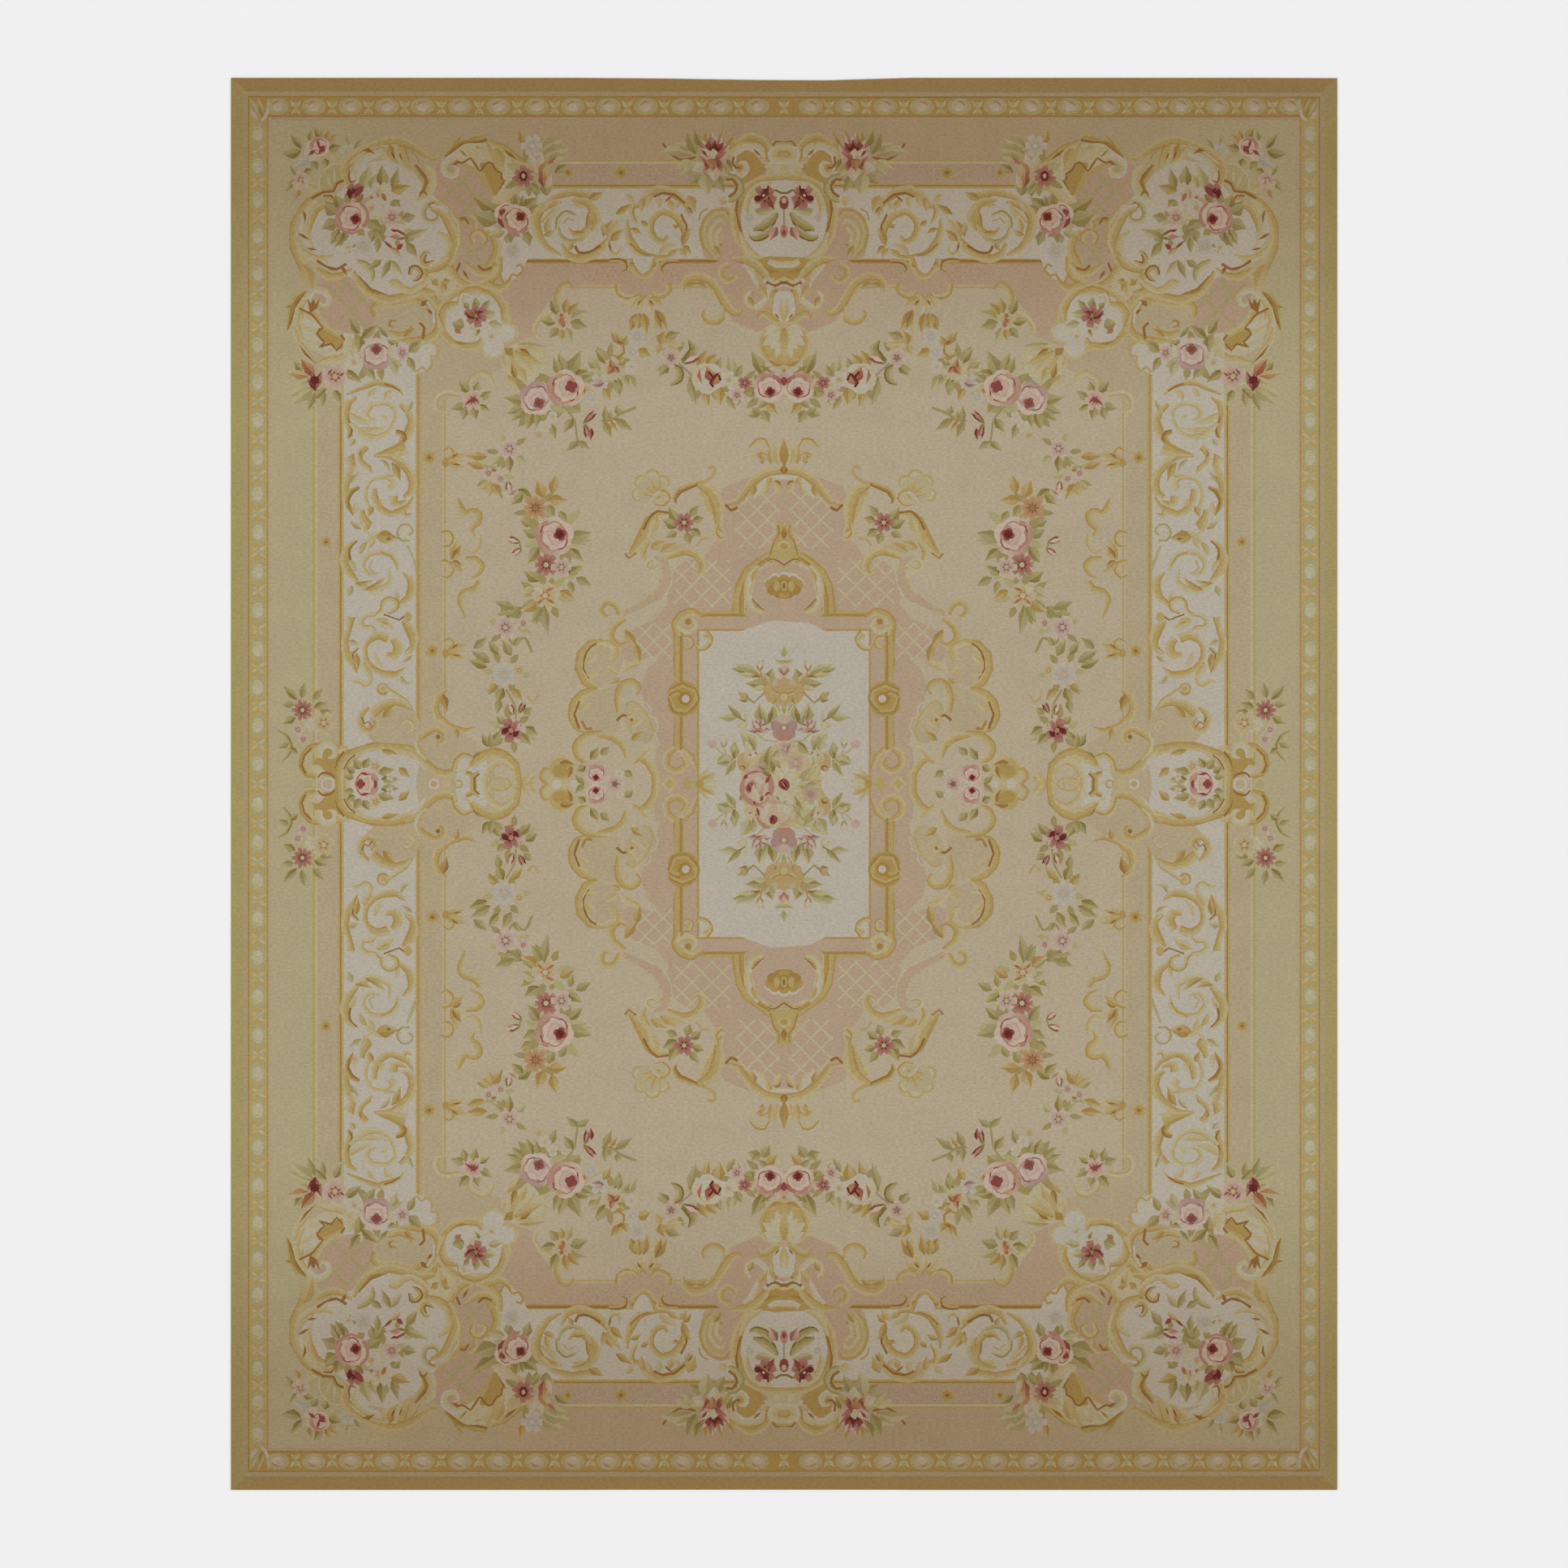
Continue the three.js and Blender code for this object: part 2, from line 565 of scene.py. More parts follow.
class Borders:
    """Plain stripes round the rug, from the edge inward, and the lines of the two scroll bands."""

    # Each stripe fills everything inside it: left side x, top side y, wool at the side, wool along the top
    STRIPES = (
        (284, 95, Wool.EDGE, Wool.FAWN),
        (299.5, 108.5, Wool.BUFF, Wool.LICHEN),
        (302, 113, Wool.BUFF, Wool.TAN),
        (306, 118.5, Wool.OCHRE, Wool.OCHRE),
        (307.5, 120, Wool.GOLD, Wool.HONEY),
        (329, 142.5, Wool.HONEY, Wool.OCHRE),
        (331, 144.5, Wool.SAND, Wool.SALMON),
        (334.5, 148, Wool.KHAKI, Wool.TAN),
        (385.5, 196.5, Wool.GOLD, Wool.GOLD),
        (388.5, 199.5, Wool.CREAM, Wool.CREAM),
        (391, 202, Wool.SAND, Wool.BLUSH),
        (417, 226, Wool.GOLD, Wool.GOLD),
        (419, 228, Wool.OCHRE, Wool.OCHRE),
        (421, 230, Wool.GOLD, Wool.GOLD),
        (423.5, 232.5, Wool.IVORY, Wool.IVORY),
        (512.5, 319, Wool.GOLD, Wool.HONEY),
        (514.5, 321, Wool.HONEY, Wool.BRONZE),
        (516.5, 323, Wool.GOLD, Wool.HONEY),
        (519, 325, Wool.SAND, Wool.SALMON),
        (545.5, 351.5, Wool.CREAM, Wool.CREAM),
        (547, 353, Wool.GOLD, Wool.GOLD),
        (549.5, 355.5, Wool.FIELD, Wool.FIELD),
    )
    HERRINGBONE = ((700, 204, 890, 222), (394, 590, 414, 645), (394, 670, 414, 745), (522, 568, 542, 625),
                   (522, 690, 542, 750), (524, 830, 544, 890), (560, 328, 850, 350))
    DASH_PITCH, ROW_PITCH = 3.2, 3.7
    DASH_LEAN, DASH_RISE = 1.4, 1.7  # half of a dash, along the stripe and across it

    def draw(self, cartoon: Cartoon) -> None:
        """Add the stripes, the toned outer field and the hatching on the blush stripes."""
        end = MIDDLE + 12
        inner = [(x, y) for x, y, *_ in self.STRIPES[1:]] + [(end, end)]
        for (x, y, side, top), (right, low) in zip(self.STRIPES, inner):
            cartoon.area([(x, y), (right, low), (right, end), (x, end)], side)
            cartoon.area([(x, y), (end, y), (end, low), (right, low)], top)
        for box in self.HERRINGBONE:
            self.hatch(cartoon, *box)

    def hatch(self, cartoon: Cartoon, left: float, top: float, right: float, bottom: float) -> None:
        """Add dashes in five rows that lean one way and the other by turns, most of them left out."""
        upright = bottom - top > right - left
        wool = Wool.BUFF if upright else Wool.LICHEN
        for k in range(int((bottom - top if upright else right - left) / self.DASH_PITCH)):
            for row in (r for r in range(5) if (k * 5 + r * 3) % 9 > 5):
                lean = self.DASH_LEAN if row % 2 else -self.DASH_LEAN
                along, across = k * self.DASH_PITCH + (row * 7 % 3), 2 + row * self.ROW_PITCH
                a, b = (along - lean, across - self.DASH_RISE), (along + lean, across + self.DASH_RISE)
                if upright:
                    a, b = a[::-1], b[::-1]
                Stroke(left + a[0], top + a[1], left + b[0], top + b[1], 1.1, wool).draw(cartoon)


class BeadBorder:
    """The guard border: oval beads held between little tied tulips."""

    TOP = (342, 387, 432, 477, 521, 567, 614, 661, 706, 750, 796, 841, 888, 933)
    SIDE = (165, 204, 246, 291, 337, 381, 425, 471, 518, 564, 609, 656, 704, 752, 800, 847, 894, 941)
    PALMETTE = (Leaf(322, 146, 311, 122, 6, MISTS, -0.1), Leaf(324, 146, 318, 120, 7, MISTS),
                Leaf(326, 142, 331, 121, 6, MISTS, 0.1), Leaf(318, 147, 309, 134, 5, IVORIES, -0.1),
                Leaf(325, 144, 320, 128, 6, STRAWS),
                Ribbon((322, 149, 327, 145, 331, 136), (3, 4, 3), ((-1, 1, Wool.IVORY),)))

    def bead(self, cartoon: Cartoon, x: float, y: float, half_width: float, half_height: float,
             tones: tuple[Wool, Wool]) -> None:
        """Add one bead, shaded at its upper left and lit from below."""
        body, shade = tones
        rings = ((0.97, Wool.SAGE, 0, 13), (0.64, body, 0, 10), (0.42, Wool.CREAM, 1.4, 8))
        for scale, wool, drop, sides in rings:
            Disc(x, y + drop, half_width * scale, half_height * scale, wool, sides).draw(cartoon)
        cartoon.area(crescent((x - half_width * 0.12, y - half_height * 0.3), -2.0, half_width * 0.4, 0.2),
                     shade)
        glint = Disc(x + 0.5, y + half_height * 0.34, half_width * 0.26, half_height * 0.2, Wool.IVORY, 6)
        glint.draw(cartoon)

    def tie(self, cartoon: Cartoon, x: float, y: float, aim: float) -> None:
        """Add a pair of tulips, one each way from their tie."""
        petals = ((-0.62, 12.2, Wool.CREAM), (0.62, 12.2, Wool.STRAW), (0.0, 9.5, Wool.SAGE))
        for way, size in ((aim, 1.0), (aim + math.pi, 0.8)):
            for lean, length, wool in petals:
                tip = turned((x, y), way + lean, length * size)
                Stroke(x, y, *tip, 4.6 * size, wool).draw(cartoon)

    def draw(self, cartoon: Cartoon) -> None:
        """Add the beads, the tulips between them and the corner palmette."""
        for x, after in zip(self.TOP, (*self.TOP[1:], 2 * MIDDLE - self.TOP[-1])):
            self.bead(cartoon, x, 131.5, 15.5, 10.8, (Wool.SHELL, Wool.ROSE))
            self.tie(cartoon, (x + after) / 2, 133.5, -math.pi / 2)
        for y, after in zip(self.SIDE, (*self.SIDE[1:], 2 * MIDDLE - self.SIDE[-1])):
            self.bead(cartoon, 318, y, 10.6, 14.8, (Wool.CREAM, Wool.SAGE))
            self.tie(cartoon, 318, (y + after) / 2, 0)
        for motif in self.PALMETTE:
            motif.draw(cartoon)


class Section:
    """A part of the design that is charted motif by motif."""

    MOTIFS: tuple[Motif, ...] = ()

    def draw(self, cartoon: Cartoon) -> None:
        """Add the motifs in order, each over the ones before it."""
        for motif in self.MOTIFS:
            motif.draw(cartoon)


@dataclass(frozen=True)
class Rosette:
    """A small gold rosette on a stripe."""

    x: float
    y: float
    radius: float = 7.5

    def draw(self, cartoon: Cartoon) -> None:
        """Add the ragged ring and its dark heart."""
        cartoon.area(lobed((self.x, self.y), self.radius, 7, 0.35, 0.2), Wool.GOLD)
        cartoon.area(lobed((self.x, self.y), self.radius * 0.66, 6, 0.3, 0.5), Wool.HONEY)
        cartoon.area(lobed((self.x, self.y), self.radius * 0.26, 4, 0.3, 0.1), Wool.BRONZE)


class SideBand(Section):
    """Running scrolls on the ivory band down the long side."""

    MOTIFS = (
        Rosette(402, 668), Rosette(529, 564, 9), Rosette(533, 802, 9),
        # First scroll
        Scroll((427, 486, 440, 481, 452, 474, 465, 471, 480, 474, 492, 480, 498, 487), (2, 4, 6, 6, 5, 4, 1),
               GILT, -1),
        Line((474, 473, 484, 476, 493, 482), 2, Wool.BRONZE),
        Scroll((440, 489, 430, 496, 426, 507, 427, 519, 432, 530, 432, 539), (2, 6, 8, 7, 6, 3), GILT),
        Scroll((427, 513, 430, 522, 432, 531, 429, 540), (1, 4, 5, 2), BURNT_GILT),
        Scroll((432, 521, 440, 530, 452, 538, 465, 539, 478, 533, 486, 521, 488, 508, 481, 499, 470, 497, 459,
                499, 452, 507, 455, 516, 464, 518), (3, 6, 7, 6, 5, 4, 4, 4, 4, 4, 5, 5, 2), PALE_GILT),
        Leaf(430, 508, 462, 523, 7, PALE_GILT, 0.1), Leaf(444, 527, 480, 526, 6, PALE_GILT, 0.12),
        Leaf(454, 489, 464, 477, 6, PALE_GILT), Leaf(474, 493, 488, 481, 6, PALE_GILT, -0.2),
        Scroll((493, 498, 502, 506, 507, 518, 505, 530, 498, 541, 489, 550), (4, 6, 7, 8, 8, 1), GILT, -1),
        Scroll((488, 532, 494, 534, 498, 540, 489, 549), (4, 6, 6, 1), BURNT_GILT),
        Leaf(509, 494, 499, 512, 5, MISTS), Leaf(438, 541, 430, 550, 6, MISTS),
        Leaf(470, 511, 480, 522, 5, IVORIES),
        # Second scroll
        Scroll((500, 551, 484, 557, 461, 562), (15, 9, 2), GILT, -1),
        Scroll((462, 562, 473, 562, 485, 563, 496, 571, 505, 582, 509, 595, 506, 607, 498, 613),
               (2, 4, 7, 8, 8, 8, 8, 4), GILT, -1),
        Line((484, 563, 497, 569, 507, 580), 1.8, Wool.CREAM), Leaf(483, 570, 494, 594, 8, STRAWS, -0.06),
        Leaf(469, 566, 481, 583, 5, MISTS, -0.1),
        Scroll((452, 550, 445, 557, 444, 566, 449, 573, 455, 577, 458, 583), (7, 6, 5, 5, 5, 1), GILT),
        Stroke(447, 553, 445, 566, 2, Wool.BRONZE, 0.2),
        Scroll((481, 603, 485, 596, 479, 589, 467, 588, 457, 592, 451, 602, 450, 614, 455, 628, 454, 636),
               (7, 6, 4, 4, 4, 4, 4, 5, 2), PALE_GILT),
        Scroll((461, 602, 462, 615, 468, 626, 479, 633, 492, 631, 503, 624, 510, 612), (5, 7, 7, 6, 6, 5, 2),
               GILT),
        Scroll((485, 611, 486, 619, 493, 621, 501, 617), (8, 8, 5, 2), GILT),
        Leaf(471, 624, 470, 613, 6, PALE_GILT), Leaf(488, 586, 470, 586, 4, PALE_GILT),
        Scroll((430, 562, 434, 572, 430, 585, 426, 600, 427, 614, 433, 628, 436, 634), (11, 5, 8, 7, 4, 3, 1),
               GILT),
        Leaf(431, 596, 444, 580, 5, MISTS), Leaf(430, 588, 441, 570, 5, PALE_GILT),
        Scroll((443, 600, 433, 605, 428, 615, 429, 625, 435, 635), (3, 6, 5, 4, 1), BURNT_GILT),
        Leaf(436, 634, 438, 616, 6, PALE_GILT, 0.1), Leaf(445, 652, 430, 641, 6, MISTS),
        Scroll((446, 628, 447, 637, 452, 646, 449, 655), (5, 7, 11, 1), GILT),
        Leaf(460, 624, 453, 637, 6, STRAWS), Scroll((497, 628, 500, 636, 507, 633), (3, 5, 2), GILT),
        Line((450, 651, 456, 659, 466, 660), 3, Wool.STRAW),
        # Third scroll
        Leaf(463, 660, 492, 664, 13, STRAWS), Disc(479, 664, 3.6, 1.8, Wool.BRONZE, 6),
        Leaf(470, 655, 447, 675, 6, PALE_GILT, 0.1), Leaf(452, 668, 443, 686, 6, GILT, 0.1),
        Leaf(463, 664, 452, 679, 5, PALE_GILT),
        Scroll((442, 665, 432, 671, 426, 681, 425, 693, 430, 705, 440, 716), (1, 7, 9, 9, 7, 4), GILT),
        Line((440, 667, 431, 676, 432, 690, 438, 703), 2.2, Wool.BRONZE),
        Leaf(430, 690, 441, 704, 6, PALE_GILT),
        Scroll((491, 705, 489, 692, 480, 683, 467, 680, 455, 683, 448, 692, 449, 702, 457, 709, 468, 706),
               (1, 5, 6, 5, 5, 5, 4, 4, 2), PALE_GILT),
        Line((469, 680, 482, 685, 490, 697), 1.8, Wool.HONEY),
        Line((459, 690, 455, 700, 462, 706), 2.4, Wool.SAGE),
        Scroll((434, 711, 444, 722, 458, 728, 472, 725, 482, 716, 480, 701), (3, 6, 7, 6, 5, 2), PALE_GILT),
        Leaf(438, 719, 459, 715, 5, STRAWS, 0.1), Leaf(450, 727, 475, 711, 6, STRAWS, 0.1),
        Line((502, 672, 509, 685, 513, 702), 3, Wool.SAGE),
        Scroll((497, 705, 505, 713, 508, 725, 503, 737, 492, 745, 489, 751), (2, 7, 9, 7, 5, 3), GILT, -1),
        Leaf(492, 741, 488, 726, 5, PALE_GILT), Leaf(434, 722, 428, 736, 7, MISTS),
        Scroll((461, 759, 470, 752, 472, 742, 480, 737, 489, 742, 488, 751, 478, 756), (3, 4, 4, 4, 5, 4, 3),
               GILT),
        Scroll((505, 665, 496, 665, 491, 657, 495, 648, 504, 648, 508, 655, 502, 660), (3, 4, 4, 3, 3, 3, 1),
               MISTS),
        # Fourth scroll
        Scroll((463, 757, 452, 758, 445, 765, 448, 773, 458, 773, 464, 779), (4, 5, 5, 5, 5, 1), PALE_GILT),
        Line((473, 757, 483, 761, 492, 764, 501, 757), 2, Wool.BRONZE), Disc(503, 760, 5, 6, Wool.GOLD),
        Leaf(464, 763, 487, 777, 10, PALE_GILT, -0.05), Stroke(468, 765, 480, 770, 2.4, Wool.HONEY),
        Scroll((496, 765, 505, 774, 510, 786, 508, 798, 499, 805), (3, 9, 10, 7, 2), GILT, -1),
        Scroll((479, 787, 468, 783, 457, 787, 450, 798, 451, 812, 460, 824, 474, 831, 489, 831, 500, 822),
               (9, 8, 5, 5, 5, 6, 7, 6, 1), GILT),
        Scroll((484, 787, 491, 797, 486, 808, 476, 806), (6, 9, 9, 4), GILT, -1),
        Leaf(462, 803, 474, 825, 6, PALE_GILT, 0.1),
        Scroll((433, 760, 431, 775, 425, 790, 427, 806, 434, 820, 440, 830), (8, 5, 7, 8, 6, 1), GILT),
        Scroll((442, 798, 434, 805, 435, 817, 440, 829), (2, 4, 4, 1), BURNT_GILT),
        Leaf(439, 805, 441, 827, 7, STRAWS), Leaf(430, 790, 443, 795, 6, MISTS),
        Scroll((446, 818, 454, 828, 457, 838, 450, 844, 441, 838, 434, 841), (7, 7, 5, 5, 5, 1), PALE_GILT),
        Leaf(508, 808, 494, 817, 5, MISTS), Leaf(510, 800, 497, 808, 4, PALE_GILT),
        Leaf(494, 832, 507, 842, 5, MISTS, 0.3), Disc(472, 849, 7.5, 8, Wool.HONEY),
        Disc(472, 848, 5.5, 6, Wool.STRAW), Disc(473, 849, 2.8, 3, Wool.GOLD, 8),
        Scroll((476, 848, 488, 854, 500, 864, 511, 877), (4, 5, 5, 1), PALE_GILT),
        Ground((462, 878, 478, 872, 498, 872, 514, 882, 520, 925, 478, 922, 452, 905), Wool.SAND),
        Scroll((459, 880, 471, 869, 485, 865, 498, 868, 510, 876), (9, 9, 8, 5, 1), GILT, -1),
        Leaf(472, 884, 487, 868, 8, STRAWS),
        Scroll((455, 871, 446, 879, 444, 891, 450, 900, 460, 899, 464, 890, 457, 884), (3, 5, 7, 6, 6, 5, 2),
               GILT),
        Line((446, 884, 450, 892, 454, 889, 459, 896), 1.6, Wool.BRONZE),
        Scroll((494, 892, 501, 887, 509, 892, 509, 900, 502, 904), (2, 3, 3, 3, 1), PALE_GILT),
    )


class CornerGrounds(Section):
    """Plain and latticed areas that the corner's scrollwork stands on."""

    MOTIFS = (
        Ground((334.5, 148, 706, 148, 706, 197, 682, 203, 682, 233, 560, 240, 424, 330, 424, 500, 334.5, 500),
               Wool.KHAKI, False, Wool.TAN, ((420, 260), (690, 150))),
        Ground((519, 325, 715, 325, 715, 352, 690, 354, 668, 384, 658, 414, 628, 426, 616, 456, 598, 462, 575,
                480, 548, 492, 545, 515, 519, 515), Wool.SALMON, False, Wool.SAND, ((640, 360), (560, 470))),
        Ground((536, 206, 560, 200, 592, 206, 613, 226, 616, 248, 604, 262, 596, 280, 610, 300, 606, 328, 580,
                340, 560, 330, 562, 290, 550, 258, 528, 244), Wool.SALMON),
        *(Line(row, 4.5, Wool.BUFF) for row in (
            (542, 222, 596, 272), (552, 208, 606, 258), (586, 208, 540, 252), (608, 226, 562, 270),
            (570, 300, 600, 330), (600, 296, 572, 326))),
        Ground((392, 346, 426, 338, 446, 358, 470, 378, 470, 402, 440, 412, 412, 404, 394, 384), Wool.SALMON),
        *(Line(row, 4.5, Wool.BUFF) for row in (
            (398, 350, 456, 406), (420, 342, 470, 392), (452, 364, 408, 404), (430, 346, 394, 380))),
        Ground((384, 292, 387, 266, 404, 248, 424, 232, 438, 208, 470, 197, 500, 203, 514, 220, 532, 238, 550,
                262, 558, 290, 557, 316, 545, 338, 524, 354, 500, 363, 470, 360, 446, 348, 424, 338, 400, 326,
                387, 312), Wool.IVORY),
        Ground((458, 384, 476, 372, 504, 368, 526, 374, 542, 388, 540, 410, 520, 420, 490, 419, 466, 406),
               Wool.SAND),
        Ground((616, 312, 650, 306, 650, 320, 640, 340, 622, 350, 615, 340), Wool.IVORY, False),
        Ground((505, 424, 534, 420, 538, 436, 526, 456, 512, 462, 500, 456), Wool.IVORY, False),
        Ground((526, 340, 552, 328, 562, 350, 556, 366, 540, 372, 524, 362), Wool.CREAM),
    )


class CornerCartouche(Section):
    """White cartouche in the corner: gilt scrolls round a bouquet, and the spray outside it."""

    SCROLLS = (
        Ground((396, 238, 394, 222, 401, 209, 412, 202, 424, 203, 426, 216, 419, 224, 411, 236), Wool.SAGE),
        Stroke(409, 233, 401, 213, 3.4, Wool.CREAM), Stroke(413, 229, 412, 206, 3.4, Wool.CREAM),
        Stroke(418, 222, 421, 206, 3, Wool.GOLD), Stroke(402, 235, 397, 225, 3, Wool.GOLD),
        Line((395, 238, 393, 223, 400, 210, 411, 202, 424, 202), 2, Wool.CREAM),
        # Top scroll
        Scroll((440, 220, 440, 206, 450, 194, 466, 187, 484, 186, 498, 194, 505, 208), (3, 8, 9, 8, 10, 9, 1),
               IVORIES),
        Scroll((427, 228, 424, 211, 431, 197, 446, 186, 464, 178, 484, 173, 504, 178, 520, 188, 533, 196, 542,
                193), (3, 8, 9, 9, 9, 10, 10, 7, 5, 1), GILT, -1),
        Line((430, 203, 441, 193, 455, 185, 472, 180, 490, 179), 1.8, Wool.CREAM),
        Leaf(470, 181, 486, 200, 9, PALE_GILT, 0.1), Leaf(480, 178, 491, 204, 9, STRAWS, 0.08),
        Leaf(490, 178, 499, 209, 9, PALE_GILT, 0.08), Leaf(498, 180, 507, 214, 9, GILT, 0.1),
        Stroke(482, 186, 488, 198, 3.4, Wool.BRONZE), Stroke(492, 188, 496, 198, 2.6, Wool.BRONZE),
        Stroke(446, 186, 463, 190, 5, Wool.BRONZE, -0.16),
        Scroll((505, 186, 512, 194, 516, 202), (2, 4, 1), GILT),
        Scroll((430, 209, 428, 218, 432, 227, 439, 222), (2, 5, 5, 1), BURNT_GILT),
        Scroll((523, 205, 531, 214, 532, 228, 526, 240, 514, 247), (4, 10, 10, 8, 2), PALE_GILT, -1),
        Scroll((511, 204, 519, 214, 524, 225, 520, 238), (3, 6, 6, 2), BURNT_GILT),
        Stroke(521, 233, 516, 244, 2.8, Wool.BRONZE), Stroke(521, 234, 528, 242, 2.8, Wool.BRONZE),
        # Left scroll
        Scroll((390, 247, 379, 259, 374, 275, 376, 292, 388, 308), (3, 8, 9, 8, 2), IVORIES),
        Scroll((404, 252, 391, 257, 384, 270, 382, 286), (4, 8, 7, 2), GILT),
        Scroll((424, 223, 416, 225, 411, 235, 399, 237, 386, 244, 373, 257, 364, 273, 361, 291, 364, 309, 371,
                325, 380, 340), (3, 5, 4, 5, 7, 8, 9, 9, 10, 9, 8), GILT, -1),
        Line((384, 245, 399, 237, 411, 236, 416, 226, 424, 223), 3, Wool.BRONZE),
        Stroke(373, 258, 376, 276, 3.6, Wool.BRONZE, -0.1), Stroke(367, 287, 382, 296, 4, Wool.BRONZE),
        Stroke(378, 306, 392, 308, 3.2, Wool.BRONZE),
        Scroll((399, 243, 407, 243, 414, 250), (4, 5, 2), BURNT_GILT),
        Scroll((368, 304, 380, 316, 398, 320, 412, 314), (3, 7, 8, 2), PALE_GILT),
        Leaf(374, 326, 386, 359, 14, GILT),
        Scroll((390, 332, 404, 341, 420, 340, 434, 331), (4, 8, 7, 2), GILT),
        Line((391, 321, 402, 329, 415, 332, 427, 325), 3.4, Wool.BRONZE),
        Stroke(421, 327, 427, 339, 5, Wool.BRONZE),
        # Right scroll
        Scroll((545, 252, 534, 248, 525, 253, 521, 263, 526, 272, 536, 273, 541, 266, 535, 260),
               (3, 5, 6, 6, 5, 5, 4, 1), MISTS),
        Scroll((531, 257, 542, 261, 551, 270, 558, 283, 562, 298, 560, 313, 553, 327), (4, 7, 9, 9, 9, 8, 4),
               GILT, -1),
        Scroll((536, 249, 550, 254, 560, 265, 567, 280, 567, 300, 560, 318), (2, 4, 5, 5, 5, 2), PALE_GILT),
        Line((531, 257, 529, 252, 536, 249), 2, Wool.OCHRE),
        Scroll((540, 286, 549, 292, 554, 304, 549, 319), (3, 7, 8, 1), PALE_GILT),
        Scroll((530, 311, 523, 309, 517, 317, 520, 327, 531, 330), (2, 4, 5, 4, 1), MISTS),
        Scroll((525, 313, 521, 320, 525, 326, 535, 321), (3, 5, 5, 1), BURNT_GILT),
        # Bottom scroll
        Scroll((436, 334, 441, 347, 452, 359, 466, 367, 482, 370, 500, 366, 520, 359, 536, 362),
               (3, 7, 9, 9, 9, 9, 8, 4), GILT),
        Scroll((441, 340, 449, 352, 460, 361, 478, 364), (2, 6, 6, 1), BURNT_GILT),
        Scroll((440, 322, 449, 326, 458, 335, 459, 347), (5, 8, 7, 2), MISTS),
        Scroll((482, 352, 488, 349, 496, 356, 508, 358, 522, 350, 530, 340), (9, 9, 7, 6, 5, 1), PALE_GILT),
        Scroll((505, 339, 507, 331, 514, 330, 519, 337, 514, 344, 508, 347), (3, 5, 5, 5, 4, 1), BURNT_GILT),
    )
    BOUQUET = (
        Foliage(432, 268, 38, 7), Foliage(470, 262, 34, 6, 20), Foliage(486, 284, 28, 5),
        Leaf(446, 234, 457, 203, 12, MISTS), Leaf(472, 232, 471, 203, 13, OLIVES),
        Leaf(484, 234, 491, 207, 9, SAGES), Leaf(482, 235, 506, 229, 10, STRAWS, 0.06),
        Leaf(486, 246, 494, 256, 5, SAGES), Leaf(456, 232, 464, 214, 7, MISTS),
        Leaf(414, 264, 400, 252, 13, SAGES), Leaf(416, 273, 396, 282, 13, SAGES),
        Leaf(420, 256, 414, 240, 12, OLIVES), Leaf(418, 282, 407, 302, 9, OLIVES),
        Leaf(424, 286, 413, 305, 8, OLIVES), Leaf(448, 268, 474, 286, 12, SAGES),
        Leaf(462, 282, 456, 300, 10, OLIVES), Leaf(463, 282, 473, 299, 10, SAGES),
        Leaf(466, 294, 465, 313, 7, SAGES), Leaf(496, 270, 513, 266, 10, SAGES),
        Leaf(500, 299, 513, 283, 9, SAGES), Leaf(504, 292, 529, 282, 8, MISTS),
        Leaf(501, 299, 514, 317, 9, SAGES), Leaf(481, 321, 470, 344, 7, SAGES),
        Leaf(482, 321, 496, 340, 7, MISTS), Leaf(470, 321, 454, 331, 7, SAGES),
        Leaf(440, 300, 424, 314, 7, SAGES), Leaf(448, 240, 432, 252, 8, OLIVES),
        Bloom(467, 238, 16, 6, CREAMS, 10, Wool.STRAW), Stroke(457, 240, 460, 249, 5, Wool.CORAL),
        Stroke(466, 234, 466, 247, 3, Wool.ROSE), Stroke(471, 238, 476, 249, 5.5, Wool.CORAL),
        Rose(462, 258, 14, 200, CREAMS, Wool.PEACH), Bloom(437, 236, 13, 4, REDS, 50, Wool.GARNET),
        Stroke(430, 232, 432, 246, 7, Wool.GARNET), Stroke(448, 229, 436, 244, 8, Wool.CRIMSON),
        Rose(432, 269, 21, 10, ROSES), Line((444, 250, 452, 259, 453, 270, 447, 280), 4, Wool.ROSE),
        Line((414, 276, 422, 284, 434, 288, 444, 283), 3, Wool.ROSE),
        Bloom(483, 268, 13, 7, MAUVES, 10, Wool.PEACH), Bud(500, 292, 480, 287, 13, ROSES),
        Stroke(482, 291, 494, 291, 5, Wool.ROSE), Bloom(448, 303, 14, 7, LILACS, 0, Wool.STRAW),
        Bloom(429, 305, 9, 5, CREAMS, 30, Wool.PEACH), Leaf(490, 310, 474, 297, 8, IVORIES),
        Stroke(472, 296, 487, 309, 3.6, Wool.CRIMSON), Stroke(489, 308, 497, 300, 6, Wool.CRIMSON),
        Leaf(484, 306, 494, 316, 6, PEACHES),
    )
